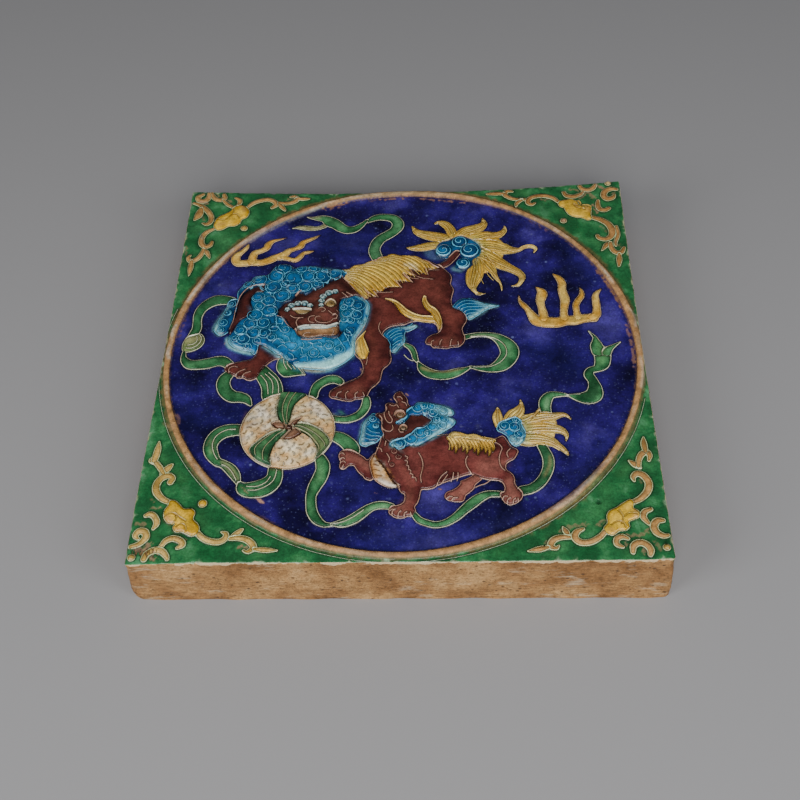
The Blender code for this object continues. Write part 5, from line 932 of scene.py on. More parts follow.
figure(((5.5, -30.6), (7.3, -28.5), (10.1, -28.5), (12.9, -29), (15.7, -29.7), (18.5, -30.8), (20.9, -32),
        (21.8, -33.4), (21.6, -35), (19.9, -35.3), (19.2, -36), (21.8, -37.1), (22.5, -38.5), (21.8, -40.4),
        (19.9, -42), (18.1, -43.2), (16, -44.8), (13.4, -46.9), (10.6, -49.3), (6.9, -51.4), (4.5, -50.9),
        (0.8, -52.8), (-1.1, -52.8), (-2.7, -51.8), (-3.9, -51.2), (-3.5, -49.3), (-1.3, -48), (2.2, -47),
        (4.5, -45.2), (6.8, -42.6), (9.3, -41.9), (11.2, -40.3), (12.9, -38.1), (11.6, -36.6), (9.4, -35.4),
        (7.2, -36.1), (4.5, -35.8), (3, -37.8), (1.6, -39.6), (-0.8, -40.6), (-1.6, -39.4), (1, -38),
        (2.8, -36), (2.6, -33.6), (4, -32)), TURQUOISE, TURQUOISE_THREAD, 1.5, dome=0.35, width=2.5)
for glow in (((7, -48.5, 1.5), (14, -43, 2.5), (18, -39, 2)), ((8, -30.5, 1), (14, -32, 2), (19, -34, 1.5))):
    wash(glow, "#2fa6dc", 0.75, 2.8)
for halo, strength in (
        (((15, -30.2, 0.6), (19, -31.8, 1.2), (21, -34, 1)), 0.95),
        (((19.5, -37, 0.6), (21.8, -38.8, 0.8)), 0.85),
        (((20, -41.3, 0.6), (16, -44.3, 0.8), (12, -47.6, 0.6)), 0.9),
        (((15, -33, 1.2), (19, -35.4, 1.4)), 0.8), (((14, -40, 0.8), (18, -40, 1)), 0.6),
        (((9, -50, 0.5), (5, -51, 0.5)), 0.6), (((0, -52.3, 0.5), (-3, -50.8, 0.8), (-2.6, -49, 0.5)), 0.8),
        (((7, -29, 0.4), (11, -29, 0.5)), 0.6)):
    wash(halo, MINT, strength, 1.3)
for x, y, radius, start in ((7.1, -32, 1.8, 0.5), (13.6, -34.8, 1.6, 2.0), (17.8, -34, 1.3, 4.0),
                            (17.6, -38.2, 1.6, 3.3), (15, -38.4, 1.2, 1.2), (13.4, -41.8, 1.8, 5.2),
                            (17.3, -41.2, 1.3, 0.2), (8.7, -45, 2.3, 2.8), (4.5, -48, 2.1, 0.9),
                            (-0.1, -50.3, 2.0, 4.2), (9.8, -31.2, 1.2, 2.4), (12.7, -31.4, 1.3, 0.3),
                            (15.5, -32, 1.2, 1.9), (10.5, -34, 1.1, 3.9), (0.9, -39, 0.9, 1.0),
                            (11.3, -45.2, 1.1, 1.6)):
    curl(x, y, radius*1.2, TURQUOISE_THREAD, start=start, width=0.13, turns=1.6)
for x, y, radius in ((-2.2, -53.9, 1.1), (-0.4, -56.7, 1.1), (-3, -60.5, 0.9)):
    curl(x, y, radius, "#a5786a", start=1.3, width=0.13, rise=0.25, turns=1.1)
for x, y, radius, code in ((-0.1, -35.5, 2.0, ("#7d5a3c", "#a8805a", "#b8926a")),
                           (1.3, -42.3, 1.5, ("#7d6a48", "#a39068", "#b5a47c"))):
    place, field = disc(x, y, radius, 1.5)
    flood(place, field, code, 1.7, 0.45, radius)
    lay_thread(place, field, "#b9907a", 0.2)
    wash(((x, y + 0.1, 0.45), (x + 0.05, y + 0.1, 0.45)), "#3a211a", 0.85, 0.3)
    curl(x, y, radius*0.55, "#c0a184", start=0.4, width=0.1, rise=0.16, dome=0.0, turns=0.9)
for line in (
        ((-6, -30.6), (-5.7, -32), (-6.2, -33.4), (-6.7, -34.8), (-6.4, -36.7), (-5.7, -38.5), (-4.6, -39.6),
         (-3.6, -39.5), (-3.3, -38.1), (-3.9, -36.7), (-4.6, -35.5), (-4.8, -33.6)),
        ((-7.6, -40.4), (-7.1, -42.3), (-5.7, -43.7), (-3.9, -44), (-2.9, -42.7), (-3.2, -40.9)),
        ((-4.6, -30), (-3.2, -30.9), (-1.6, -30.4), (-0.8, -31.8)), ((-1.3, -26), (0, -26.2), (0.7, -27.4)),
        ((0.5, -28.7), (2, -29.4), (2.6, -31)), ((-2.6, -35.7), (-1.9, -33.7), (-0.3, -33), (1.4, -33.6)),
        ((-8.7, -35.6), (-7.7, -37), (-7.6, -38.8)), ((-0.6, -43), (0, -44.4), (1.4, -44.6))):
    thread(line, AUBERGINE_THREAD, width=0.17)

# The cub's tail. Amber tufts that stream back from five small turquoise curls, combed with the
# tool like the big lion's.
cub_tufts = (
    ((69.8, -37.9, .15), (68.1, -36, .7), (66, -35.6, 1.2), (62.5, -36.6, 1.9), (58, -37, 2.6),
     (52, -38.3, 3)), ((57.4, -32.3, .2), (55.6, -35.2, .8), (52.5, -37.4, 1.6), (49, -39, 2)),
    ((49.8, -27.7, .15), (50, -30.4, .9), (48.8, -33.5, 2.3), (46.5, -36, 3.1), (44.5, -39, 2.4)),
    ((40.1, -31.5, .15), (40.2, -33.4, 1), (40, -36.5, 2), (40.5, -40.5, 1.8)),
    ((67.1, -48.9, .15), (67.5, -46.6, .7), (66.2, -44.2, 1.4), (63, -42.9, 2.2), (57.5, -42.4, 3),
     (51, -43, 3.2)),
    ((67.4, -55.9, .3), (66.3, -54, .9), (64, -51.6, 1.3), (61, -49.2, 2), (56, -47.7, 2.8),
     (50, -47.6, 2.8)),
)
CUB_HAIR = ("#d6a63c", "#fad264", "#ffe284")
figure(((50, -37.4), (54, -36), (58, -34.4), (62, -35.8), (64, -39), (63.5, -43), (62.5, -47), (61, -50.4),
        (56, -50.4), (50, -50)), CUB_HAIR, None, 0.6, dome=0.2)
for tuft in cub_tufts:
    band(tuft, CUB_HAIR, HAIR_LINE, 0.75, wide=0.1)
thread(((48, -50.6), (52, -51.4), (56, -51), (61, -51.6), (64, -53.6)), HAIR_LINE, width=0.15)
for tuft, strands in zip(cub_tufts, (3, 1, 2, 1, 3, 3)):
    comb(tuft, strands, "#ffe08c", width=0.13, rise=0.35)
    comb(tuft, strands + 1, "#b98a34", shares=(0.2, 0.95), width=0.12, rise=-0.3)
wash(((51, -38.5, 1.2), (52.5, -44, 1.6), (51.5, -49, 1.2)), "#9db06c", 0.7, 2)
figure(((39.6, -43.2), (40, -40.8), (41.5, -39), (44, -38), (47, -36.9), (49.3, -38.6), (49.8, -41.6),
        (51, -45), (50, -49), (47, -51.3), (44.6, -49.4), (43.7, -46.6), (42, -44.8)),
       TURQUOISE, TURQUOISE_THREAD, 0.95, dome=0.3, width=2.5)
wash(((45, -47.8, 0.8), (47, -50, 1.2), (49.3, -48.8, 1)), MINT, 0.85, 1.5)
wash(((49.6, -40, 0.5), (50.3, -44, 0.6)), MINT, 0.6, 1.2)
for x, y, radius, start in ((42.6, -41.6, 2.0, 1.0), (46.6, -42.2, 2.1, 3.6), (47.4, -38.7, 1.3, 0.4),
                            (48.4, -45.9, 1.9, 5.0), (46.2, -48.2, 1.8, 2.0)):
    curl(x, y, radius*1.1, TURQUOISE_THREAD, start=start, width=0.13)

cub_here = np.abs(relief - without_cub) > 0.03

# The ring. A plain rounded moulding of bare, tan clay between the blue and the green, with
# a thin white slip that has mostly worn off and a few runs of glaze across it.
RING_CLAY = "#b38653"
RING_RADIUS = 101.75            # the middle of the moulding
HALO_RADIUS = 104.3             # how far the brown halo reaches at the front
SLIP_RADIUS = 104.9             # the line of slip beyond it
around = np.arctan2(upward[:, None], across[None, :])
drift = 0.25*np.sin(3*around + 1) + 0.16*np.sin(7*around) + 0.1*np.sin(13*around + 2)
ring_gap = np.abs(from_middle - RING_RADIUS - 0.3*drift)
ring_half = 1.55 + 0.18*np.sin(5*around + 0.6)
on_ring = np.clip((ring_half - ring_gap) / 0.35 + 0.5, 0, 1)
picture_relief = relief.copy()
relief[:] = mix(relief, 2.15*np.sqrt(np.clip(1 - (ring_gap / (ring_half + 0.35))**2, 0.02, 1)), on_ring)
slip_cover = np.clip(0.38 + 0.5*np.sin(6*around + 2.4)*np.sin(11*around) + 0.3*np.sin(29*around + 4*drift)
                     + 0.25*(from_middle - 102.4), 0, 1)
ring_grain = swell(1.8, 21)
# The pale slip is laid along the crest of the moulding, where it also stands as a painted highlight
crest = np.exp(-((from_middle - 101.5 - 0.5*drift) / 0.75)**2)
slip_and_highlight = np.clip(slip_cover**2 * crest * (0.75 + 0.5*ring_grain), 0, 1) * 0.75
ring_tint = mix(linear(RING_CLAY) * (1 + 0.3*ring_grain)[..., None], linear("#e6dac2"),
                slip_and_highlight[..., None])
# Painted shade darkens both flanks of the rounded moulding
ring_tint *= (1 - 0.55*np.clip(ring_gap/ring_half - 0.62, 0, 1)/0.38)[..., None]
tint[:] = mix(tint, ring_tint, on_ring[..., None])
cobalt *= 1 - on_ring
copper *= 1 - on_ring
bare[:] = np.maximum(bare, 0.8*on_ring)
# The green stops short of the ring and leaves a brown halo, with a thin line of slip beyond it
ragged_edge = swell(3.2, 22)
towards_back = 0.5 + 0.5*np.sin(around - 0.1)
front_right = np.exp(-((around + 0.95)/0.3)**2)
halo_reach = HALO_RADIUS + 1.5*towards_back + 1.4*front_right + 0.9*ragged_edge
halo = np.clip((halo_reach - from_middle) / 0.9, 0, 1) * (from_middle > 102) * (1 - on_ring)
halo *= 0.85
halo_tint = mix(linear("#3f4228"), linear("#7d6238"),
                (0.35 + 0.65*np.maximum(towards_back, front_right))[..., None])
tint[:] = mix(tint, halo_tint * (1 + 0.3*ring_grain)[..., None], halo[..., None])
copper *= 1 - halo
bare[:] = np.maximum(bare, 0.5*halo)
# Painted shadow in a thin dark line at the foot of the ring, on the blue side
shadow_inside_ring = np.exp(-((from_middle - 99.6) / 0.45)**2)
tint *= (1 - 0.45*shadow_inside_ring)[..., None]
cobalt *= 1 - 0.5*shadow_inside_ring
outer_line = [(SLIP_RADIUS*math.cos(k/60*math.pi), SLIP_RADIUS*math.sin(k/60*math.pi))
              for k in range(55, 116)]
thread(outer_line, "#b9cfae", width=0.13, rise=0.25)
thread_gap[:] = mix(thread_gap, 3.0, on_ring)
for x0, y0, x1, y1, half, code, strength in (
        (-98.5, -37.6, -93, -40.2, 0.9, "#c79d77", 0.95), (-96, -38.6, -94, -41.5, 0.5, "#c79d77", 0.8),
        (-100.8, -3, -101.6, 3, 1.1, "#dfe0d4", 0.9), (-101.5, 10, -100.5, 16, 0.9, "#dbe3d8", 0.9),
        (101.8, 12, 100.6, 22, 1.0, "#e2dccb", 0.8), (100.2, -22, 101.6, -6, 1.0, "#ddd6c4", 0.7),
        (60, -82, 71, -73, 1.0, "#e1d9c7", 0.7), (72, 71, 62, 80.5, 1.0, "#e0d5bf", 0.7),
        (-30, 97.2, -12, 100.8, 1.0, "#e6ddc9", 0.8), (-66, 77, -76, 67, 0.9, "#e0d7c5", 0.75),
        (-97.2, 31, -80, 63.5, 1.0, "#dfe2d6", 1.1), (-78, 65.5, -38, 94.2, 0.8, "#dfe0d2", 0.8),
        (-82, -60, -71, -73, 0.9, "#d9cfbb", 0.6), (-20, -99.7, -2, -101.5, 0.8, "#d3bfa0", 0.5),
        (16, 100.3, 34, 95.8, 0.9, "#ddcdb2", 0.6)):
    wash(((x0, y0, half*0.5), ((x0 + x1)*0.505, (y0 + y1)*0.505, half*0.6), (x1, y1, half*0.5)), code,
         strength*0.5, 0.9)
for run, code, strength in (
        (((58.3, -82.6, 0.4), (71.4, -71.8, 0.7), (80.5, -61.4, 0.4)), "#4a4c70", 0.7),
        (((-77, 65.2, 0.2), (-68, 74.6, 0.4), (-60, 81.4, 0.2)), "#4a4c70", 0.55),
        (((-24, 98.8, 0.6), (0, 101.7, 0.8), (22, 99.2, 0.6)), "#8f9478", 0.4)):
    wash(run, code, strength, 1.0)
# The flakes of tan clay just inside the ring, where the blue glaze crawled back in the kiln
for line, strength in (
        (((-40.5, 91.3, 0.3), (-35, 93.6, 0.5), (-27, 96, 0.3)), 0.9),
        (((-38, 90.6, 0.15), (-31, 93.4, 0.25)), 0.7),
        (((-17, 97.2, 0.3), (-8, 98.4, 0.4), (2, 98.6, 0.3)), 0.8),
        (((8, 98, 0.3), (18, 96.6, 0.5), (29, 94, 0.3)), 0.8),
        (((88, 47, 0.4), (93, 36, 0.6), (96.5, 24, 0.5)), 0.85),
        (((98, 14, 0.4), (99, 2, 0.5), (98.6, -10, 0.3)), 0.7), (((-96.8, 22, 0.2), (-98.4, 10, 0.3)), 0.5),
        (((-93.5, -33, 0.4), (-92.4, -37.5, 0.6)), 0.6), (((60, 79, 0.2), (69, 71.3, 0.3)), 0.5),
        (((-60, -79.5, 0.2), (-48, -87, 0.3)), 0.35)):
    place, field = beyond(eased(line), 1.5)
    ragged = 0.9*ring_grain[place]
    share = np.clip(0.5 - (field + ragged) / 0.7, 0, 1) * strength
    tint[place] = mix(tint[place], linear("#a3764f"), share[..., None])
    cobalt[place] = mix(cobalt[place], 0.0, share)
    bare[place] = np.maximum(bare[place], share)
    relief[place] -= 0.06*share

# The four corners. Lotus scrolls outside the ring: a lobed yellow flower, arms that curl away
# from it along both edges, leaves and buds, all ochre glaze between pale threads on green.
OCHRE = ("#a68740", "#d2aa58", "#dfbc70")
SAND = ("#93703c", "#c29052", "#cea064")
TAN = ("#8c6638", "#b38048", "#c29258")
OCHRE_THREAD = "#d3dba4"
YELLOW = ("#b08412", "#e8b824", "#f2ca4c")
CORNER_SCALE = 0.994            # keeps the outer curls off the tile's rim
green_shades = random.Random(3)
for sx, sy in ((-1, -1), (1, -1), (-1, 1), (1, 1)):
    for x, y, size, code, strength in (
            (99, 72, 5, "#0d4d25", 0.7), (85, 71, 6, "#17602f", 0.5), (78, 84, 5, "#4c9356", 0.5),
            (92, 92, 5, "#3b8447", 0.5), (72, 99, 5, "#0e4f27", 0.65), (57, 99, 4, "#5c9a5c", 0.45),
            (98, 57, 4, "#569458", 0.45), (89, 63, 4, "#4d8d52", 0.5), (70, 86, 3.5, "#12532a", 0.45),
            (101, 40, 4, "#2f7a40", 0.5), (38, 102, 3.5, "#3c8148", 0.5), (103, 85, 3, "#0f4c28", 0.6),
            (86, 101, 3, "#4a8e54", 0.4), (91, 56, 3, "#1b6434", 0.5), (61, 91, 3, "#2c7a40", 0.5)):
        jx, jy = green_shades.uniform(-2.5, 2.5), green_shades.uniform(-2.5, 2.5)
        wash(((sx*(x - 1.5) + jx, sy*(y + 1.5) + jy, size*0.3),
              (sx*(x + 1.5) + jx, sy*(y - 1.5) + jy, size*0.4)), code, strength, size)
for x, y, size, code, strength in (
        (70, -87, 6, "#4c9a5c", 0.5), (97, -60, 5, "#4c9a5c", 0.45), (85, -100, 4, "#3f8a50", 0.4),
        (60, -97, 4, "#5aa568", 0.4), (-80, 87, 7, "#5aa568", 0.5), (-97, 77, 5, "#57a066", 0.5),
        (-63, 96, 4, "#57a066", 0.4), (-90, 60, 4, "#3f8a50", 0.4), (-98, -68, 5, "#15602f", 0.5),
        (-72, -99, 6, "#15602f", 0.45), (78, 92, 7, "#12482a", 0.5), (97, 72, 5, "#12482a", 0.5),
        (-82, -72, 6, "#12502b", 0.5), (-70, -88, 6, "#0f4c28", 0.5), (66, 88, 6, "#0f4327", 0.6),
        (-85, 70, 6, "#5fa86a", 0.6), (-70, 88, 5, "#114a2a", 0.4), (80, -72, 6, "#4c9f5e", 0.45)):
    wash(((x - 1.5, y + 1.5, size*0.4), (x + 1.5, y - 1.5, size*0.4)), code, strength, size)
scroll_marks = (
    # front left
    (((-90.5, -77.8, 1.1), (-94, -75.9, 1.4), (-96.8, -72.6, 1.6), (-97.3, -69, 1.6), (-95.8, -66, 1.6),
      (-93.2, -64.8, 1.5), (-91.3, -66, 1.3), (-91.9, -68, 1.3)),
     ((-96.5, -64, 0.4), (-94.3, -61.8, 1.5), (-93, -60, 1), (-92.1, -59.2, 0.2)),
     ((-95.2, -63.8, 0.9), (-97, -61, 1.2), (-98.9, -58.6, 1.2), (-100.8, -57.1, 1.6)),
     ((-100, -57.2, 1.4), (-99.6, -54, 1.5), (-99.4, -51, 1.3), (-99.4, -47.6, 0.2)),
     ((-78.3, -91.3, 1.2), (-75.8, -94, 1.3), (-72.6, -95.6, 1.4), (-69.2, -96, 1.4), (-66.9, -94.6, 1.3),
      (-66.7, -92.4, 1), (-68.4, -91.6, 0.4)),
     ((-64.6, -94, 0.6), (-62.9, -92.7, 1.3), (-61.2, -91, 0.9), (-60.3, -90.2, 0.2)),
     ((-64.8, -94.6, 0.9), (-61.3, -94.3, 1.3), (-57.7, -95.5, 1.5), (-55.5, -98.3, 1.4),
      (-57.3, -100.4, 0.9), (-59.2, -99.9, 0.4)),
     ((-55, -99.3, 0.8), (-50.5, -99.7, 1.2), (-46.2, -99.9, 0.2)),
     ((-99.4, -83.6, 0.9), (-97.6, -83, 1.3), (-95.6, -84.6, 1.3), (-94.6, -87.2, 1.3), (-95.6, -89.6, 0.6)),
     ((-91.3, -97.3, 1), (-89.6, -94.9, 1.3), (-86.8, -94.1, 1.4), (-83.9, -95.4, 1.4), (-83.2, -97.2, 1.3),
      (-84.9, -98.4, 0.7)),
     ((-103.4, -97.5, 0.9), (-100.2, -96.3, 1.2), (-98, -93.5, 1.5), (-98.8, -91, 1.6), (-101, -90.7, 1.5),
      (-102.2, -92.6, 1.2), (-101, -94, 0.6)),
     ((-97.3, -103, 1.3), (-96.4, -100.6, 1.5), (-93.8, -99.2, 1.5), (-90.9, -99.7, 1.5),
      (-88.9, -101.8, 1.2), (-88.2, -103.2, 0.8))),
    # front right
    (((90.6, -79.6, 1.1), (94.2, -77.7, 1.4), (97.2, -74.4, 1.6), (98.2, -70.4, 1.6), (96.6, -66.8, 1.6),
      (94.2, -65.8, 1.5), (92.5, -67.4, 1.1), (92.7, -69.2, 0.5)),
     ((95.8, -63, 0.6), (94, -61.5, 1.4), (92.6, -60.2, 0.9), (91.6, -59.4, 0.2)),
     ((95.2, -62.3, 1), (95.6, -59.4, 1.2), (97, -56.5, 1.4), (99.2, -55.2, 1.4), (100.2, -57.2, 1.1),
      (99.6, -59.4, 0.6)),
     ((98.8, -55, 1.1), (98.6, -51, 1.3), (98.8, -47.8, 0.2)),
     ((79.4, -92.2, 1.1), (76.6, -95.2, 1.3), (73, -97.2, 1.4), (69.3, -97.2, 1.5), (67.4, -95, 1.5),
      (68.4, -92.6, 1.3), (70.9, -91.3, 0.6)),
     ((65.2, -94.2, 0.6), (64.2, -92.3, 1.2), (63.2, -90.3, 0.2)),
     ((65.3, -95, 0.9), (62, -95, 1.3), (59.2, -96.2, 1.4), (58, -98.8, 1.3), (60, -99.8, 0.8),
      (61, -98.8, 0.4)),
     ((57, -99.4, 0.8), (53.5, -100.2, 1.3), (49.3, -101, 0.2)),
     ((97.4, -82.8, 1), (95.1, -83.9, 1.3), (94.3, -86.4, 1.3), (96, -89.4, 0.7)),
     ((101.5, -88, 1), (99.2, -88.2, 1.5), (97.8, -90.6, 1.6), (98.5, -93.4, 1.5), (100.8, -94.9, 1.2),
      (102.6, -94.8, 0.8)),
     ((85.1, -99.5, 0.6), (83, -98.3, 1.1), (83.2, -96, 1.2), (85.3, -95, 1.2), (87.4, -95.9, 0.7)),
     ((88.6, -101.9, 0.9), (89.2, -99, 1.4), (91.5, -97.7, 1.5), (94, -98.7, 1.5), (95.3, -101, 1.4),
      (95, -103, 1))),
    # back left
    (((-76.6, 93, 0.9), (-74.3, 95.8, 1.3), (-71, 97.7, 1.4), (-67, 98.5, 1.4), (-63.9, 97.2, 1.4),
      (-62.8, 94.8, 1.3), (-64.6, 92.9, 0.9)),
     ((-61.8, 95.5, 0.6), (-60, 93.6, 1.2), (-58.7, 91.8, 0.9), (-58, 90.7, 0.2)),
     ((-61.5, 96.3, 0.9), (-58, 96, 1.2), (-54.7, 96.8, 1.3), (-52.8, 99, 1.4), (-54, 100.9, 1.1),
      (-56, 100.6, 0.7)),
     ((-53, 99.3, 0.9), (-49.8, 99.3, 1.2), (-47, 99.4, 0.6)),
     ((-91.6, 78, 0.9), (-94.7, 75.6, 1.3), (-96.4, 72, 1.4), (-96.2, 68.3, 1.5), (-94.2, 66.2, 1.4),
      (-92, 67.2, 1.2), (-91.3, 69.4, 0.8)),
     ((-95, 64.8, 0.5), (-93.3, 62.8, 1.3), (-92, 60.6, 0.9), (-91.2, 58.6, 0.2)),
     ((-94.8, 64.3, 0.9), (-95.4, 61.3, 1.2), (-97, 58.4, 1.3), (-99.8, 56.9, 1.4), (-101.4, 58.9, 1),
      (-100.6, 60.6, 0.5)),
     ((-99.4, 56.5, 1.1), (-99.5, 52, 1.3), (-99.7, 47.6, 0.2)),
     ((-88.9, 101.6, 1), (-88.5, 99, 1.4), (-90.6, 97.7, 1.4), (-93, 98.6, 1.4), (-94.6, 101, 1.2),
      (-94.9, 102.6, 0.8)),
     ((-88.9, 97.6, 0.8), (-86.3, 94.6, 1.1), (-83.5, 92.8, 0.9)),
     ((-83, 99.4, 0.7), (-80.9, 97.9, 1.2), (-80.8, 95.6, 1.1), (-82, 93.6, 0.8)),
     ((-99.2, 101.4, 0.9), (-101.5, 99.2, 1.4), (-100.2, 96.9, 1.5), (-97.4, 97.3, 1.5), (-96.2, 99.6, 1.3),
      (-96.4, 102, 1)),
     ((-103, 95.3, 0.8), (-99.8, 94, 1.2), (-96.2, 90.6, 1.5), (-93.8, 86.8, 1.4), (-93.4, 83.4, 1.3),
      (-95, 81.2, 1.1), (-97.2, 81.8, 0.5)),
     ((-99, 91.6, 1), (-99.3, 89.6, 1.8), (-99.9, 87, 2), (-101.5, 84, 0.5))),
    # back right
    (((74, 92.6, 0.9), (71.6, 95.4, 1.2), (67.6, 97.1, 1.3), (63.2, 97.1, 1.3), (60.3, 95.4, 1.3),
      (59.7, 92.9, 1.3), (61.4, 91.6, 1), (62.9, 92.5, 0.6)),
     ((58, 95.3, 1.1), (55, 95.5, 1.1), (51.6, 96.6, 1.2), (48.8, 99.2, 1.3), (50, 101.6, 1.1),
      (52.4, 101.4, 0.7)),
     ((48.2, 100, 0.9), (44.5, 100.3, 1.4), (40.3, 100.2, 0.7)),
     ((56.9, 94.8, 0.7), (54.9, 93.6, 1.1), (54, 91.8, 0.8), (53.8, 90.3, 0.2)),
     ((89.5, 80.7, 1.2), (93.2, 78.9, 1.5), (96.4, 75.9, 1.7), (97.8, 72, 1.8), (97.2, 68.2, 1.6),
      (94.4, 66.3, 1.3), (91.6, 67.2, 1.2), (90.8, 68.8, 0.9)),
     ((100, 74, 0.8), (100.4, 69, 1), (98.9, 64.6, 0.9), (98.7, 62, 0.6)),
     ((96.6, 64.4, 0.6), (94.7, 62.9, 1.3), (93.3, 60.9, 0.9), (92, 59.2, 0.2)),
     ((96.4, 63.4, 1.1), (96.7, 60.2, 1.3), (98.4, 57.7, 1.4), (100.9, 57.8, 1.3), (102.3, 60.4, 0.8)),
     ((99.7, 56.4, 0.9), (99.4, 53, 1.4), (98.9, 49.2, 0.6)),
     ((97.6, 86, 1.1), (95.6, 85, 1.3), (93.3, 85.9, 1.3), (92.6, 88.4, 1.3), (93, 91.4, 0.8)),
     ((77.2, 98.4, 1), (78.4, 96.2, 1.3), (81.5, 95.2, 1.4), (84.6, 96.1, 1.2), (86.2, 97.6, 0.9)),
     ((85.1, 102, 1), (86.2, 99.9, 1.3), (88.8, 99, 1.4), (91.2, 99.9, 1.3), (92.6, 102, 1)),
     ((102.3, 97.9, 0.9), (99.6, 98.5, 1.4), (96.8, 97, 1.6), (96, 94.2, 1.6), (97.6, 92.2, 1.5),
      (100.2, 92.9, 1.2), (101, 94.4, 0.7))),
)
for corner, scroll, wide in zip(scroll_marks, (OCHRE, SAND, SAND, TAN), (0.2, 0.2, 0.15, 0.16)):
    for mark in corner:
        inner = [(x*CORNER_SCALE, y*CORNER_SCALE, half*0.88) for x, y, half in mark]
        band(inner, scroll, OCHRE_THREAD, 0.75, dome=0.2, wide=wide)
flowers = (
    ((-90.9, -77), (-89, -76.7), (-86.8, -78.4), (-84.7, -80.6), (-81.5, -80.7), (-80, -82.6),
     (-80.4, -85.4), (-78.4, -87.6), (-77.4, -89.8), (-77.9, -92.2), (-80, -93.3), (-82.4, -92.2),
     (-84.2, -91.3), (-86.6, -91.3), (-88, -89.3), (-87.5, -87.6), (-90.1, -87.2), (-92.1, -84.8),
     (-92.4, -81.6), (-91.2, -79)),
    ((90.2, -78), (91.4, -79.6), (91, -82), (92.9, -83.6), (92.8, -86.2), (90.6, -87.4), (88.6, -88.4),
     (88.6, -90.6), (87.2, -92.2), (84.4, -92.6), (82, -94.3), (79.6, -93.4), (78.7, -91), (80.3, -88.6),
     (80.4, -85.6), (81.6, -83.2), (84.4, -81.7), (87.3, -79.6)),
    ((-83, 93), (-84.6, 90.4), (-86.6, 88.6), (-89.6, 86.6), (-91.4, 83.4), (-91.6, 79.6), (-89.8, 77.2),
     (-87.2, 77.6), (-84.6, 79.6), (-81.6, 80), (-79.3, 81.8), (-78.5, 84.4), (-76.2, 86.2), (-75.4, 89.6),
     (-76.6, 92.6), (-79.6, 94.4)),
    ((74, 91.4), (75.4, 93), (78, 93.4), (80.6, 93.6), (83, 91.8), (84.2, 89.2), (86.9, 88.5), (89.4, 87.6),
     (89.3, 85), (88.9, 82), (89.2, 80), (87.2, 79), (84.6, 80.6), (81.8, 81.2), (79, 82.8), (77.4, 85.4),
     (76.6, 87.8), (74.8, 89)))
petals = (
    (((-87.5, -82.6), (-85.4, -84.4), (-82.5, -86.4)), ((-91.6, -83.6), (-89, -82.5), (-86.6, -83.4)),
     ((-86, -88.6), (-84.4, -87.5), (-82.7, -88.4), (-82, -90.4)),
     ((-88, -87), (-86.5, -85.4), (-86.8, -84))),
    (((84.5, -83), (85.8, -86), (85, -89)), ((91.5, -84.5), (88.5, -84.3), (86.5, -85.5)),
     ((86.5, -90.5), (85.6, -88.5), (83.6, -88), (81.2, -89.3))),
    (((-82.5, 90.5), (-82.8, 87), (-85, 84)), ((-89.5, 83.5), (-87, 82.8), (-84.8, 84)),
     ((-79.2, 84.6), (-80.8, 86.6), (-83, 86.8))),
    (((80.4, 89), (82.5, 88), (84, 89.5), (83.2, 91.5), (81.2, 91.2)),
     ((84.6, 88.8), (87, 88.6), (88.9, 87.3)), ((80.6, 88.6), (82, 86.6), (85, 85.4)),
     ((84, 86.4), (85.8, 84.8))))
tan_lobes = (
    ((-90.3, -84.5, 1.1), (-88.5, -86.3, 0.9)), ((90.8, -85.5, 0.9), (91.2, -83, 0.7)),
    ((-78, 92, 0.8), (-77.2, 89.5, 0.7)), ((86.6, 86.2, 1), (87.8, 84, 0.8)))
second_lobes = (((-86.2, -89.7, 0.9), (-84.2, -90.3, 0.8)), ((80.8, -91.6, 0.8), (82.4, -93, 0.7)),
                ((-88.5, 79.6, 0.8), (-86.2, 80.2, 0.7)), ((75.8, 91.6, 0.7), (77.4, 92.3, 0.7)))
for outline, folds, lobe, other in zip(flowers, petals, tan_lobes, second_lobes):
    figure([(x*CORNER_SCALE, y*CORNER_SCALE) for x, y in outline], YELLOW, OCHRE_THREAD, 1.0, dome=0.8,
           width=4)
    wash(lobe, "#b98c58", 0.85, 1.2)
    wash(other, "#b98c58", 0.6, 1)
    for fold in folds:
        thread(fold, "#a8852f", width=0.25, rise=-0.4)
        thread([(x + 0.35, y + 0.35) for x, y in fold], "#dcc069", width=0.12, rise=0.2)
wash(((79, 89.5, 2.5), (83, 86, 3), (87, 82, 2)), "#a8801e", 0.5, 3)
for x, y, radius, glaze in (
        (-77.1, -77.8, 1.7, YELLOW), (-76.4, 78.1, 1.6, OCHRE),
        (75.3, 78.9, 1.5, ("#a5805c", "#bd9570", "#c9a37f")), (-101.7, -101.6, 1.4, OCHRE),
        (100.8, -99.5, 1.4, OCHRE), (98.0, 101.8, 1.4, ("#b09160", "#c9ab72", "#d3b983"))):
    place, field = disc(x, y, radius, 1.5)
    flood(place, field, glaze, 0.9, 0.5, radius)
    lay_thread(place, field, OCHRE_THREAD)

# Wear and losses. A pit where one bud broke off, chips by the ball and the lion's leg, clay
# that shows rough beside the outer scrolls, smears of green in the blue, and kiln specks.
place, field = beyond([(77.4, -78, 1.1), (77.5, -78, 1.1)], 1.5)
hollow = np.clip(0.5 - field, 0, 1)
relief[place] -= 0.9*hollow
tint[place] = mix(tint[place], linear("#123a24"), 0.8*hollow[..., None])
for smear, code, strength in (
        (((-26.5, -33.6, 0.5), (-25.2, -32.6, 0.9), (-23.5, -33.8, 0.5)), "#3a7a55", 0.85),
        (((-28.5, -34.2, 0.3), (-26, -34.7, 0.5), (-22, -34.4, 0.2)), "#5a8a62", 0.7),
        (((49.7, -76.4, 0.5), (50.2, -77, 0.3)), "#4d8a5c", 0.8),
        (((-95.6, 71, 0.5), (-97.4, 75, 0.3)), "#4f8a9a", 0.4)):
    wash(smear, code, strength, 0.8)


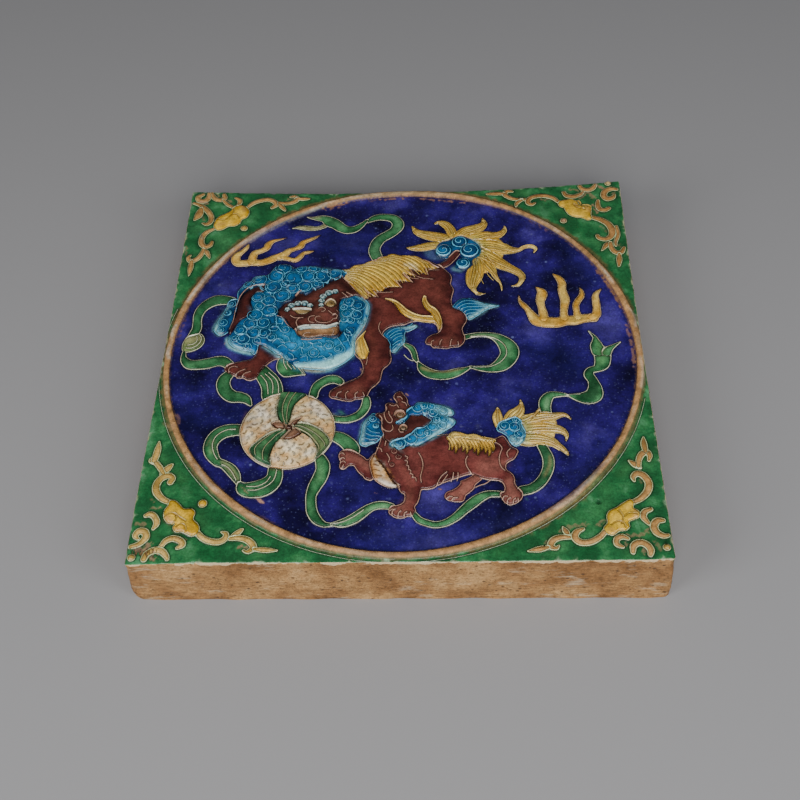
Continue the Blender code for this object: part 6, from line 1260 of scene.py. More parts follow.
def open_clay(line, code, strength, ragged=0.8, sink=0.0):
    """Strips the glaze from a patch with a broken edge, so that the clay shows."""
    place, field = beyond(eased(line), 2.5)
    x, y = across[place[1]][None, :], upward[place[0]][:, None]
    broken = (np.sin(2.1*x + 1.3*np.sin(1.9*y)) + np.sin(2.7*y + 1.7*np.sin(2.3*x))
              + 0.6*np.sin(5.3*x - 4.1*y)) / 2.6
    share = np.clip(0.5 - (field + ragged*broken) / 0.5, 0, 1) * strength
    tint[place] = mix(tint[place], linear(code), share[..., None])
    for glaze in (cobalt, copper):
        glaze[place] = mix(glaze[place], 0.0, share)
    bare[place] = np.maximum(bare[place], share)
    relief[place] += share * (0.12*broken - sink)


for line, code, strength in (
        (((-56.6, -75, 0.3), (-54.8, -76.3, 0.8), (-53, -77.6, 0.5)), "#b88a72", 0.95),
        (((-17.8, -8.6, 0.2), (-17, -10.5, 0.5), (-16.6, -12, 0.3)), "#a98263", 0.9),
        (((-77.6, 8, 0.2), (-77.8, 5.4, 0.3)), "#8f5f45", 0.7),
        (((2.3, -23.6, 0.5), (2.9, -24.2, 0.3)), "#b58b6f", 0.9),
        (((-4.4, -26.2, 0.3), (-3.6, -26.8, 0.3)), "#b58b6f", 0.8),
        (((-77.4, -45, 0.2), (-79, -50, 0.2)), "#8a6f58", 0.4),
        (((15.6, -71.4, 0.5), (16.6, -71.9, 0.3)), "#b0826a", 0.9),
        (((-9.5, -73.3, 0.15), (-8.6, -73.5, 0.15)), "#b0826a", 0.8)):
    open_clay(line, code, strength, ragged=0.3)
for line, strength in (
        (((-100.5, -97.8, 1.2), (-97.6, -98, 1), (-95.4, -95.4, 0.8)), 0.85),
        (((-99, -87, 1), (-102, -86.5, 0.8)), 0.5), (((-94, -102, 1), (-92.5, -102.2, 0.7)), 0.8),
        (((-85.5, -93.5, 0.4), (-82, -93.8, 0.3)), 0.5), (((-97.5, -79.5, 0.4), (-94, -79.6, 0.5)), 0.55),
        (((-60.5, -97.5, 0.8), (-57.6, -97.6, 0.6)), 0.7),
        (((90.5, 93.5, 1), (88, 97, 1), (84, 93.5, 0.7)), 0.6), (((93, 100.8, 1), (95.5, 99, 0.8)), 0.8),
        (((83.5, 98.8, 0.7), (80, 100, 0.6)), 0.55), (((99.6, 95.4, 0.6), (100.4, 95.2, 0.4)), 0.7),
        (((90, 89, 0.5), (91.4, 83.5, 0.7)), 0.75), (((66, 94.3, 0.6), (69.5, 93.8, 0.4)), 0.55),
        (((97.4, 65.4, 0.5), (100, 61.5, 0.6)), 0.5), (((92.5, 74.5, 0.4), (94.6, 71, 0.5)), 0.4),
        (((-96.5, 95, 0.9), (-99.2, 95.6, 0.7)), 0.7), (((-86.5, 97.5, 0.6), (-84.6, 96.3, 0.6)), 0.6),
        (((-97.5, 85.5, 0.6), (-96, 83.6, 0.4)), 0.5), (((-91.6, 101.5, 0.7), (-91.2, 100.4, 0.5)), 0.6),
        (((-56.8, 98.4, 0.5), (-54.8, 98.6, 0.5)), 0.6), (((-102.2, 61, 0.4), (-102.6, 66, 0.3)), 0.5),
        (((62, -91.5, 0.7), (66, -89.6, 0.9), (72, -88.5, 0.6)), 0.5),
        (((76, -89, 0.6), (79, -87, 0.7)), 0.5),
        (((86, -93.8, 0.5), (92, -93.6, 0.8), (95, -91.5, 0.5)), 0.55),
        (((55, -97.5, 0.4), (58, -95.5, 0.6)), 0.5), (((92.5, -101.2, 0.8), (92, -100, 0.5)), 0.6),
        (((97, -97, 0.7), (98.6, -100.5, 0.6)), 0.5), (((86, -98, 0.4), (85.6, -97, 0.4)), 0.6),
        (((94.5, -69.5, 0.4), (95, -68, 0.3)), 0.4), (((-62, -70.5, 0.2), (-60, -73.2, 0.2)), 0.4),
        (((-98.2, -75.5, 0.3), (-97, -76.6, 0.3)), 0.4)):
    open_clay(line, "#ab8264", strength, sink=0.1)
# Tool marks in the front left corner, cut to key the clay before the last curls were laid
for k in range(16):
    x, y = -101.6 + 0.62*k + 0.5*math.sin(k*1.7), -99.6 + 0.9*math.sin(k*2.3)
    thread(((x - 0.3, y + 1.1), (x, y), (x + 0.35, y - 1.0)), "#8c6a4c", width=0.12, rise=-0.3, steps=2)
# The glaze is rubbed off along the arris, down to cream slip and clay
rim_gap = SIDE/2 - np.maximum(np.abs(net_mm[None, :]), np.abs(net_mm[:, None]))
rubbed = np.clip((0.75 + 1.3*ragged_edge + 0.8*ring_grain - rim_gap) / 0.4, 0, 1) * 0.85
tint[:] = mix(tint, mix(linear("#cdb995"), linear("#8fae8a"), np.clip(0.5 + ring_grain, 0, 1)[..., None]),
              rubbed[..., None])
copper *= 1 - rubbed
bare[:] = np.maximum(bare, 0.6*rubbed)
# Milky drifts where the cobalt glaze is thin
for drift_line, strength in (
        (((-46, -15, 4), (-38, -15, 4), (-27, -13, 3)), 0.5), (((-88, 42, 3), (-82, 52, 3)), 0.35),
        (((-10, -93, 3), (20, -94, 4), (45, -86, 4)), 0.5), (((70, -66, 4), (84, -48, 4)), 0.4),
        (((-20, -66, 4), (-14, -74, 4)), 0.4), (((20, -36, 5), (38, -36, 5), (50, -24, 4)), 0.28),
        (((-62, -86, 3), (-45, -93, 2)), 0.4), (((60, 45, 4), (84, 50, 4)), 0.25),
        (((62, 6, 5), (80, 4, 4)), 0.2), (((-90, -20, 3), (-92, -30, 2)), 0.4),
        (((10, 90, 4), (35, 84, 4)), 0.25), (((8, -30, 4), (-4, -12, 3)), 0.25),
        (((-35, -36, 0.5), (-20, -30, 3)), 0.3), (((70, -30, 2), (72, -44, 3)), 0.3)):
    place, field = beyond(eased(drift_line), 5)
    share = np.clip(0.5 - field/10, 0, 1)**1.5 * strength * cobalt[place]
    tint[place] = mix(tint[place], linear("#4a4488"), share[..., None])
    cobalt[place] -= 0.7*share
# Deep pools where the cobalt glaze is thick
for pool, strength in (
        (((-38, 71, 4), (-28, 66, 5), (-18, 68, 4)), 0.7), (((-92, 44, 2), (-86, 36, 3)), 0.5),
        (((58, 0, 5), (72, -8, 6)), 0.5), (((-66, -36, 4), (-86, -36, 4)), 0.4),
        (((54, -64, 1), (56, -56, 2)), 0.5), (((-2, 70, 3), (-10, 60, 3)), 0.45),
        (((-16, -96, 2), (2, -97, 2)), 0.35), (((76, 62, 4), (88, 40, 4)), 0.35)):
    wash(pool, "#0b0728", strength, 7)
specks = random.Random(11)
for x, y, radius, strength in (
        (32, -41, 1.0, 0.45), (25, -41, 0.7, 0.45), (39.8, -27, 0.6, 0.6), (-27, -54.7, 0.5, 0.6),
        (60, 71, 0.6, 0.6), (63, 66.3, 0.6, 0.55), (-10, 91.5, 0.5, 0.6), (-55, 82, 0.5, 0.5),
        (29, -3, 0.7, 0.35), (23, -24, 0.5, 0.5), (-84, 41.5, 0.9, 0.4), (54.5, -21, 0.8, 0.3),
        (81, 43, 0.5, 0.45), (-60, 68, 0.5, 0.3), (12.5, -30, 0.5, 0.3), (33, 12.5, 0.5, 0.3),
        (-66, -72, 0.5, 0.35), (-83, 66, 0.4, 0.4), (11, 89, 0.5, 0.3), (-9.5, -91.5, 0.5, 0.4)):
    wash(((x, y, radius*0.3), (x + 0.1, y, radius*0.3)), "#c9d2e6", min(strength*1.7, 0.95), radius*1.3,
         blue=0.3)
for k in range(520):
    x, y = specks.uniform(-98, 98), specks.uniform(-98, 98)
    if math.hypot(x, y) > 98:
        continue
    col, row = np.searchsorted(across, x), np.searchsorted(upward, y)
    if cobalt[row, col] > 0.95:
        size = 0.16 + 0.8*specks.random()**4
        wash(((x, y, size*0.3), (x + 0.05, y, size*0.3)), "#a9b1d8", specks.uniform(0.3, 0.85), size*1.9,
             blue=0.4)
# Glaze runs off the combed hair, so little of it pools dark between the locks, and the painted shade at the
# feet and beside the threads is kept faint there
yellow = (tint[..., 0] > 0.3) & (tint[..., 1] > 2.0*tint[..., 2])
pooled *= np.where(yellow, 0.3, 1.0)
thread_gap *= np.where(yellow & (thread_gap > 0), 2.5, 1.0)

# The clay body: walls, underside, rim, corners and ring, one lump in the real tile. A fine grid
# takes the worked face, its rim is drawn down for the walls and the foot is closed flat. The
# roundel is left sunk here, because its picture is finer and gets meshes of its own below.
RIM_RADIUS = 1.1                # the arris left when the clay came out of the mould
WALL_ROWS = 20
PAN = 1.6                       # how far the body is sunk under the picture
LAP = 0.6                       # how far a finer mesh goes down past what it stands on
SUNK_RADIUS = 100.15            # the sunk part ends at the ring's inner edge


def ripple(x, y, size, seed=0.0):
    """A gentle unevenness of about one unit, with swells of a given size in millimetres."""
    a, b = x*math.tau/size, y*math.tau/size
    return (np.sin(a + 1.7*np.sin(0.63*b + seed) + seed) + np.sin(0.81*b + 1.9*np.sin(0.57*a + 2*seed))
            + np.sin(0.55*(a + b) + 3*seed)) / 3


def corner_lift(x, y):
    """How far a point of the top stands above the flat, in millimetres."""
    u, v = x*2/SIDE, y*2/SIDE
    return sum(lift * np.clip(sx*u, 0, None)**2 * np.clip(sy*v, 0, None)**2
               for (sx, sy), lift in CORNER_LIFTS.items())


def at_net(values, x, y):
    """The worked face's value at points of the tile, taken between the net's crossings."""
    col, row = (np.clip((v + SIDE/2) / CELL, 0, count - 1.001) for v in (x, y))
    i, j = row.astype(int), col.astype(int)
    t, s = row - i, col - j
    if values.ndim == 3:
        t, s = t[:, None], s[:, None]
    return mix(mix(values[i, j], values[i, j + 1], s), mix(values[i + 1, j], values[i + 1, j + 1], s), t)


def points_mm(thing):
    flat = np.empty(len(thing.data.vertices) * 3)
    thing.data.vertices.foreach_get("co", flat)
    return flat.reshape(-1, 3) * 1000


def set_points(thing, places):
    thing.data.vertices.foreach_set("co", (places / 1000).ravel())
    thing.data.update()


def pick_border():
    """In edit mode, selects the open border of the piece being worked."""
    bpy.context.tool_settings.mesh_select_mode = (False, True, False)
    bpy.ops.mesh.select_all(action="DESELECT")
    bpy.ops.mesh.select_non_manifold(extend=False, use_boundary=True, use_wire=False, use_multi_face=False,
                                     use_non_contiguous=False, use_verts=False)


def sheet(name, x_span, y_span, step):
    """A fine level grid at the height of the pressed face, over a part of the tile in millimetres."""
    for thing in bpy.context.scene.objects:
        thing.select_set(False)
    size = [(span[1] - span[0]) / 1000 for span in (x_span, y_span)]
    columns, rows = (round(length*1000/step) for length in size)
    bpy.ops.mesh.primitive_grid_add(x_subdivisions=columns, y_subdivisions=rows, size=1,
                                    location=(sum(x_span)/2000, sum(y_span)/2000, THICK/1000))
    piece = bpy.context.object
    piece.name = name
    piece.scale = (size[0], size[1], 1)
    bpy.ops.object.transform_apply(location=True, rotation=True, scale=True)
    return piece


def thin_out(piece, most):
    """Drops the points that the relief doesn't need, down to a number of triangles."""
    bpy.context.view_layer.objects.active = piece
    piece.select_set(True)
    thin = piece.modifiers.new("thin", "DECIMATE")
    thin.ratio = min(1.0, most / sum(len(f.vertices) - 2 for f in piece.data.polygons))
    bpy.ops.object.modifier_apply(modifier=thin.name)


def paint(piece):
    """Records the glazes and slips point by point on the finished clay, as they were laid on."""
    x, y, z = points_mm(piece).T
    for name, values in (("glaze_colour", tint), ("thread_colour", slip)):
        colour = np.ones((len(x), 4))
        colour[:, :3] = at_net(values, x, y)
        layer = piece.data.color_attributes.new(name, "FLOAT_COLOR", "POINT")
        layer.data.foreach_set("color", colour.ravel())
    numbers = {name: at_net(values, x, y)
               for name, values in (("thread_gap", thread_gap), ("cobalt", cobalt), ("copper", copper),
                                    ("pooled", pooled), ("open_clay", bare))}
    numbers["below_rim"] = np.clip(THICK + corner_lift(x, y) - z, 0, 60)
    for name, values in numbers.items():
        piece.data.attributes.new(name, "FLOAT", "POINT").data.foreach_set("value", values)


body = sheet("tile_body", (-SIDE/2, SIDE/2), (-SIDE/2, SIDE/2), 0.4)
bpy.ops.object.mode_set(mode="EDIT")
pick_border()
bpy.ops.mesh.extrude_edges_move(TRANSFORM_OT_translate={"value": (0, 0, -THICK/1000)})
foot_scale = 1 + FOOT*2/SIDE
bpy.ops.transform.resize(value=(foot_scale, foot_scale, 1), center_override=(0, 0, 0))
bpy.ops.object.mode_set(mode="OBJECT")
ends = np.empty(len(body.data.edges) * 2, int)
body.data.edges.foreach_get("vertices", ends)
ends = ends.reshape(-1, 2)
low = points_mm(body)[:, 2] < 1.0
body.data.vertices.foreach_set("select", np.zeros(len(low), bool))
body.data.polygons.foreach_set("select", np.zeros(len(body.data.polygons), bool))
body.data.edges.foreach_set("select", low[ends[:, 0]] ^ low[ends[:, 1]])
bpy.ops.object.mode_set(mode="EDIT")
bpy.ops.mesh.subdivide(number_cuts=WALL_ROWS - 1)
bpy.ops.object.mode_set(mode="OBJECT")

x, y, z = points_mm(body).T
top = z > THICK - 0.01
share = np.where(top, 1.0, z / THICK)
# The upright corners are rounded in plan, and worn rounder at the two front feet
at_x, at_y = np.abs(x), np.abs(y)
half_here = (SIDE/2) * (1 + (foot_scale - 1)*(1 - share))
worn_foot = np.where(y < 0, np.where(x < 0, 5.0, 3.0), 2.0) * np.clip(1 - share*1.6, 0, 1)**2.4
corner_radius = 2.6 + worn_foot + 0.7*ripple(z, x + y, 14.0)
past_x = np.clip(at_x - half_here + corner_radius, 0, None)
past_y = np.clip(at_y - half_here + corner_radius, 0, None)
past = np.hypot(past_x, past_y)
pull = np.clip(past - corner_radius, 0, None) / np.maximum(past, 0.01)
x = x - np.sign(x)*past_x*pull
y = y - np.sign(y)*past_y*pull
edge_gap = SIDE/2 - np.maximum(np.abs(x), np.abs(y))
arris = RIM_RADIUS * (1 + 0.35*ripple(x, y, 17.0) + 0.25*ripple(x, y, 5.3, 1.0))
tuck = np.clip(1 - edge_gap/arris, 0, 1)
fall = arris * (1 - np.sqrt(1 - tuck**2 * 0.98))
nicks = np.clip(ripple(x, y, 7.1, 2.0) * ripple(x, y, 23.0, 4.0) - 0.22, 0, 1)
nicks *= np.clip(1 - edge_gap/2.4, 0, 1)
# The front left corner is worn down, and the last of the front right one stands proud
worn_corner = 1.5 * np.clip(1 - np.hypot(x + SIDE/2, y + SIDE/2)/42, 0, 1)**1.3
proud_corner = 0.8 * np.clip(1 - np.hypot(x - SIDE/2, y + SIDE/2)/14, 0, 1)
inside = np.hypot((x - MIDDLE[0])/UNIT, (y - MIDDLE[1])/UNIT) < SUNK_RADIUS
raised = np.where(inside, -PAN, at_net(relief, x, y) * np.clip(edge_gap/1.2, 0, 1))
lifted = z + (corner_lift(x, y) - worn_corner + proud_corner) * share
on_top = lifted + raised + 0.1*ripple(x, y, 46.0) - fall - 1.8*nicks
new_z = np.where(top, on_top, np.where(z < 0.01, 0.0, lifted - arris*share**6))
# Drag marks: the wire and the board pulled along each wall and left short shallow strokes and pits
along_x = np.abs(y) > np.abs(x)
run, level = np.where(along_x, x, y), new_z
side_seed = np.where(along_x, np.sign(y), 2 + np.sign(x)) * 3.1
drag = (0.16*np.sin(level*math.tau/2.9 + 1.2*np.sin(run/31 + side_seed) + side_seed)
        * (0.5 + 0.5*np.sin(run/17 + side_seed + level/5))
        + 0.14*np.sin(level*math.tau/1.6 + np.sin(run/8) + 2*side_seed) * (0.5 + 0.5*np.sin(run/5 + level))
        + 0.32*ripple(run, level*2, 44.0, 1.3))
drag -= 1.5*np.clip(ripple(run, level*1.5, 5.1, 0.7) * ripple(run, level*1.2, 9.7, 2.2) - 0.40, 0, 1)
inward = (0.62 - 0.5*drag) * np.clip(level/1.5, 0, 1) * np.clip((1 - share)*9, 0, 1)
inward += 0.5*np.clip(1 - level/1.2, 0, 1) * (1 + 0.6*ripple(run, level, 21.0, 0.4))
shrink = 1 - np.clip(inward, 0.02, 2.4) / (SIDE/2 + FOOT)
grow = np.where(top, 1 - 0.0015*tuck, shrink)
set_points(body, np.stack([x*grow, y*grow, new_z], axis=1))
thin_out(body, 192000)
bpy.ops.object.mode_set(mode="EDIT")
# Points that met on the rounded corners become one
bpy.ops.mesh.select_all(action="SELECT")
bpy.ops.mesh.remove_doubles(threshold=0.000005)
pick_border()
bpy.ops.transform.resize(value=(1, 1, 0), center_override=(0, 0, 0))
bpy.ops.mesh.extrude_edges_move(TRANSFORM_OT_translate={"value": (0, 0, 0)})
bpy.ops.transform.resize(value=(0.985, 0.985, 1), center_override=(0, 0, 0))
bpy.ops.mesh.edge_face_add()
bpy.ops.mesh.quads_convert_to_tris()
bpy.ops.mesh.select_all(action="SELECT")
bpy.ops.mesh.normals_make_consistent(inside=False)
bpy.ops.object.mode_set(mode="OBJECT")
bpy.ops.object.shade_smooth_by_angle(angle=math.radians(60))
paint(body)
x, y, z = points_mm(body).T
edge_gap = SIDE/2 - np.maximum(np.abs(x), np.abs(y))
# The glaze ends at the arris, and the walls and underside below it are bare
wall_faces = [int(f.center.z*1000 < THICK - 2.8
                  or f.normal.z < 0.55 and edge_gap[list(f.vertices)].min() < 0.75)
              for f in body.data.polygons]

# The picture in the roundel, pressed in the same clay and too fine for one mesh. The ground with
# its ribbons and flames is one, the big lion is the next, and the cub with the ball is the last.
# Each goes down a little past the face it stands on, so the clay reads as one surface.


def grown(mask, steps):
    """A patch of the net, made a few cells larger all round, or smaller for negative steps."""
    for _ in range(abs(steps)):
        sides = [np.roll(mask, 1, 0), np.roll(mask, -1, 0), np.roll(mask, 1, 1), np.roll(mask, -1, 1)]
        mask = np.logical_or.reduce([mask] + sides) if steps > 0 else np.logical_and.reduce([mask] + sides)
    return mask


PICTURE_RADIUS = 99.3           # beyond it the ground stays as it was before the ring was laid
GROUND_RADIUS = 100.9           # the ground's mesh ends under the ring


def press(name, here, height, most, step, smooth):
    """Cuts one part of the picture out of a grid, shapes it and closes it below."""
    rows, cols = np.nonzero(here)
    x_span = net_mm[cols.min()] - CELL, net_mm[cols.max()] + CELL
    y_span = net_mm[rows.min()] - CELL, net_mm[rows.max()] + CELL
    piece = sheet(name, x_span, y_span, step)
    x, y, z = points_mm(piece).T
    stays = at_net(here.astype(float), x, y) > 0.5
    for kind in (piece.data.edges, piece.data.polygons):
        kind.foreach_set("select", np.zeros(len(kind), bool))
    piece.data.vertices.foreach_set("select", ~stays)
    bpy.ops.object.mode_set(mode="EDIT")
    bpy.context.tool_settings.mesh_select_mode = (True, False, False)
    bpy.ops.mesh.delete(type="VERT")
    bpy.ops.object.mode_set(mode="OBJECT")
    x, y, z = points_mm(piece).T
    lifted = z + corner_lift(x, y) + 0.1*ripple(x, y, 46.0) + at_net(height, x, y)
    set_points(piece, np.stack([x, y, lifted], axis=1))
    thin_out(piece, most)
    floor_z = (THICK - PAN - 0.3)/1000
    bpy.ops.object.mode_set(mode="EDIT")
    pick_border()
    bpy.ops.mesh.extrude_edges_move(TRANSFORM_OT_translate={"value": (0, 0, 0)})
    bpy.ops.transform.resize(value=(1, 1, 0), center_override=(0, 0, floor_z))
    bpy.ops.mesh.fill(use_beauty=False)
    bpy.ops.mesh.select_all(action="SELECT")
    bpy.ops.mesh.normals_make_consistent(inside=False)
    bpy.ops.object.mode_set(mode="OBJECT")
    bpy.ops.object.shade_smooth_by_angle(angle=math.radians(smooth))
    paint(piece)
    return piece


picture = np.where(from_middle > PICTURE_RADIUS, picture_relief, relief)
figures = lion_here | cub_here
ground_height = np.where(grown(figures, -1), -LAP, picture)
ground = press("roundel_ground", from_middle < GROUND_RADIUS, ground_height, 190000, 0.33, 40)
lion = press("big_lion", grown(lion_here, 2), np.where(lion_here, picture, -LAP), 183000, 0.27, 60)
cub = press("cub_and_ball", grown(cub_here, 2), np.where(cub_here, picture, -LAP), 160000, 0.27, 60)


def rgba(code):
    return (*linear(code), 1.0)


def add(tree, kind, output, values):
    """Adds a shader node and gives back a link to one of its outputs. A value is a setting, an
    input's number or hex colour, a link for an input, or the stops of a colour ramp."""
    node = tree.nodes.new("ShaderNode" + kind)
    for name, value in values.items():
        if name == "stops":
            while len(node.color_ramp.elements) < len(value):
                node.color_ramp.elements.new(0.5)
            for element, (place, shade) in zip(node.color_ramp.elements, value):
                element.position = place
                element.color = rgba(shade) if isinstance(shade, str) else (shade, shade, shade, 1)
        elif isinstance(value, tuple) and isinstance(value[0], bpy.types.Node):
            tree.links.new(value[0].outputs[value[1]], node.inputs[name])
        elif isinstance(name, int) or name in node.inputs:
            node.inputs[name].default_value = rgba(value) if isinstance(value, str) else value
        else:
            setattr(node, name, value)
    return node, output


# Lead glaze on slip and clay: a thick glassy skin that settles deep in the hollows and thins to
# the clay on the crests, mottled by the copper, cobalt and iron in it, and crazed by age
glaze = bpy.data.materials.new("lead_glaze_on_clay")
glaze.use_nodes = True
tree = glaze.node_tree
tree.nodes.clear()
LAID = {"data_type": "RGBA"}                               # one colour over another, by a share
SHADED = {"data_type": "RGBA", "blend_type": "MULTIPLY"}   # one colour darkened by another
spot = add(tree, "TexCoord", "Object", {})
drawn, thread_code = (
    add(tree, "Attribute", "Color", {"attribute_name": name}) for name in ("glaze_colour", "thread_colour"))
gap, is_cobalt, is_copper, pool_and_shade_share, is_bare = (
    add(tree, "Attribute", "Fac", {"attribute_name": name})
    for name in ("thread_gap", "cobalt", "copper", "pooled", "open_clay"))
# Clouds 38 mm across, drifts 13 mm, mottling 5 mm and grains near 1 mm
clouds, drifts, mottle, grain = (
    add(tree, "TexNoise", "Fac", {"Scale": 1/size, "Detail": detail, "Roughness": 0.6, "Vector": spot})
    for size, detail in ((0.038, 4.0), (0.013, 4.0), (0.005, 4.0), (0.0011, 3.0)))
# Cobalt settles in dark pools with paler, milky drifts between them
cloud_shade = add(tree, "ValToRGB", "Color", {
    "Fac": clouds, "stops": ((0.36, "#0c0530"), (0.46, "#1d0e54"), (0.55, "#2a186e"), (0.68, "#463a8c"))})
drift_shade = add(tree, "ValToRGB", "Color", {
    "Fac": drifts, "stops": ((0.36, 0.62), (0.5, 1.0), (0.64, 1.5))})
blue = add(tree, "Mix", 2, {**SHADED, 0: 0.85, 6: cloud_shade, 7: drift_shade})
# Pale specks of unmelted glaze, one to a 6 mm cell, and finer dust to a 2 mm one
fleck_cells, _ = add(tree, "TexVoronoi", "Distance", {"Scale": 1/0.006, "Randomness": 1.0, "Vector": spot})
fleck_on = add(tree, "ValToRGB", "Color", {
    "Fac": (fleck_cells, "Distance"), "stops": ((0.07, 0.85), (0.2, 0.0))})
fleck_pick = add(tree, "ValToRGB", "Color", {
    "Fac": (fleck_cells, "Color"), "stops": ((0.70, 0.0), (0.9, 0.8))})
flecks = add(tree, "Math", 0, {"operation": "MULTIPLY", 0: fleck_on, 1: fleck_pick})
dust = add(tree, "TexVoronoi", "Distance", {"Scale": 1/0.0022, "Randomness": 1.0, "Vector": spot})
dust_on = add(tree, "ValToRGB", "Color", {"Fac": dust, "stops": ((0.08, 0.22), (0.26, 0.0))})
any_fleck = add(tree, "Math", 0, {"operation": "MAXIMUM", 0: flecks, 1: dust_on})
flecked = add(tree, "Mix", 2, {**LAID, 0: any_fleck, 6: blue, 7: "#7c88c4"})
# Copper green runs from bottle green in the pools to a fresh pale green where it is thin
green_shade = add(tree, "ValToRGB", "Color", {
    "Fac": drifts, "stops": ((0.36, "#0a3620"), (0.45, "#174f2e"), (0.52, "#287042"), (0.59, "#3f8a54"),
                             (0.68, "#68b07e"))})
green = add(tree, "Mix", 2, {**LAID, 0: 0.55, 6: drawn, 7: green_shade})
body_shade = add(tree, "ValToRGB", "Color", {
    "Fac": mottle, "stops": ((0.36, 0.70), (0.5, 1.0), (0.64, 1.3))})
body_mottled = add(tree, "Mix", 2, {**SHADED, 0: 0.8, 6: drawn, 7: body_shade})
with_green = add(tree, "Mix", 2, {**LAID, 0: is_copper, 6: body_mottled, 7: green})
with_blue = add(tree, "Mix", 2, {**LAID, 0: is_cobalt, 6: with_green, 7: flecked})
# Glaze gathers dark at the foot of every figure and on both sides of every thread, and painted shade darkens
# these same places
foot_dark = add(tree, "MapRange", 0, {"To Min": 1.0, "To Max": 0.3, "Value": pool_and_shade_share})
beside = add(tree, "MapRange", 0, {"From Min": 0.05, "From Max": 0.9, "To Min": 0.28, "To Max": 1.0,
                                   "Value": gap})
pooling_and_shade = add(tree, "Math", 0, {"operation": "MULTIPLY", 0: foot_dark, 1: beside})
deepened = add(tree, "Mix", 2, {**SHADED, 0: 1.0, 6: with_blue, 7: pooling_and_shade})
grain_shade = add(tree, "ValToRGB", "Color", {
    "Fac": grain, "stops": ((0.36, 0.74), (0.5, 1.0), (0.64, 1.2))})
grained = add(tree, "Mix", 2, {**SHADED, 0: 0.8, 6: deepened, 7: grain_shade})
# Threads stand pale through the glaze and are stained or rubbed to the tan clay in places
stain = add(tree, "ValToRGB", "Color", {"Fac": mottle, "stops": ((0.52, 0.0), (0.66, 0.5))})
thread_shade = add(tree, "Mix", 2, {**LAID, 0: stain, 6: thread_code, 7: "#8a643f"})
on_thread = add(tree, "MapRange", 0, {"From Min": -0.06, "From Max": 0.07, "To Min": 0.92, "To Max": 0.0,
                                      "Value": gap})
trailed = add(tree, "Mix", 2, {**LAID, 0: on_thread, 6: grained, 7: thread_shade})
gloss = add(tree, "ValToRGB", "Color", {"Fac": mottle, "stops": ((0.3, 0.24), (0.7, 0.34))})
gloss_here = add(tree, "Mix", 0, {"data_type": "FLOAT", 0: is_bare, 2: gloss, 3: 0.78})
crazing = add(tree, "TexVoronoi", "Distance", {"feature": "DISTANCE_TO_EDGE", "Scale": 1/0.006,
                                               "Vector": spot})
craze = add(tree, "ValToRGB", "Color", {"Fac": crazing, "stops": ((0.0, 0.0), (0.03, 1.0))})
wavy = add(tree, "Bump", "Normal", {"Strength": 0.35, "Distance": 0.0008, "Height": mottle})
grainy = add(tree, "Bump", "Normal", {"Strength": 0.30, "Distance": 0.0003, "Height": grain, "Normal": wavy})
cracked = add(tree, "Bump", "Normal", {"Strength": 0.12, "Distance": 0.0002, "Height": craze,
                                       "Normal": grainy})
shader = add(tree, "BsdfPrincipled", "BSDF", {"IOR": 1.6, "Metallic": 0.0, "Base Color": trailed,
                                              "Roughness": gloss_here, "Normal": cracked})
add(tree, "OutputMaterial", None, {"Surface": shader})

# Unglazed buff earthenware: the walls and underside, dragged along the bench while wet, so dry
# and matt, with grit, pits and a line of white slip that ran over the rim
clay = bpy.data.materials.new("buff_fired_clay")
clay.use_nodes = True
tree = clay.node_tree
tree.nodes.clear()
spot = add(tree, "TexCoord", "Object", {})
patches = add(tree, "TexNoise", "Fac", {"Scale": 1/0.026, "Detail": 5.0, "Roughness": 0.65, "Vector": spot})
patch_shade = add(tree, "ValToRGB", "Color", {
    "Fac": patches, "stops": ((0.36, "#755029"), (0.45, "#8c643a"), (0.54, "#9e7648"), (0.64, "#b48d5c"))})
# Drag strokes 6 mm long and under 1 mm apart
stroke_spot = add(tree, "Mapping", "Vector", {"Scale": (1/0.006, 1/0.006, 1/0.0009), "Vector": spot})
strokes = add(tree, "TexNoise", "Fac", {"Scale": 1.0, "Detail": 4.0, "Roughness": 0.7,
                                        "Vector": stroke_spot})
stroke_shade = add(tree, "ValToRGB", "Color", {
    "Fac": strokes, "stops": ((0.36, 0.55), (0.5, 1.0), (0.62, 1.3))})
body_clay = add(tree, "Mix", 2, {**SHADED, 0: 0.75, 6: patch_shade, 7: stroke_shade})
grit = add(tree, "TexNoise", "Fac", {"Scale": 1/0.0014, "Detail": 4.0, "Roughness": 0.75, "Vector": spot})
grit_shade = add(tree, "ValToRGB", "Color", {
    "Fac": grit, "stops": ((0.36, 0.4), (0.45, 1.0), (0.62, 1.25))})
gritty = add(tree, "Mix", 2, {**SHADED, 0: 0.75, 6: body_clay, 7: grit_shade})
# Small dark pits, one to a 6 mm cell and a little flattened, and pale dry scuffs
pit_spot = add(tree, "Mapping", "Vector", {"Scale": (1/0.006, 1/0.006, 1/0.0045), "Vector": spot})
pit_cells, _ = add(tree, "TexVoronoi", "Distance", {"Scale": 1.0, "Randomness": 1.0, "Vector": pit_spot})
pit_on = add(tree, "ValToRGB", "Color", {
    "Fac": (pit_cells, "Distance"), "stops": ((0.10, 0.85), (0.20, 0.0))})
pit_pick = add(tree, "ValToRGB", "Color", {
    "Fac": (pit_cells, "Color"), "stops": ((0.40, 0.0), (0.55, 1.0))})
pitted = add(tree, "Math", 0, {"operation": "MULTIPLY", 0: pit_on, 1: pit_pick})
holed = add(tree, "Mix", 2, {**LAID, 0: pitted, 6: gritty, 7: "#4a3522"})
scuff_spot = add(tree, "Mapping", "Vector", {"Scale": (1/0.022, 1/0.022, 1/0.006),
                                             "Location": (3.0, 1.0, 2.0), "Vector": spot})
scuffs = add(tree, "TexNoise", "Fac", {"Scale": 1.0, "Detail": 5.0, "Roughness": 0.7, "Vector": scuff_spot})
scuff_on = add(tree, "ValToRGB", "Color", {"Fac": scuffs, "stops": ((0.57, 0.0), (0.72, 0.5))})
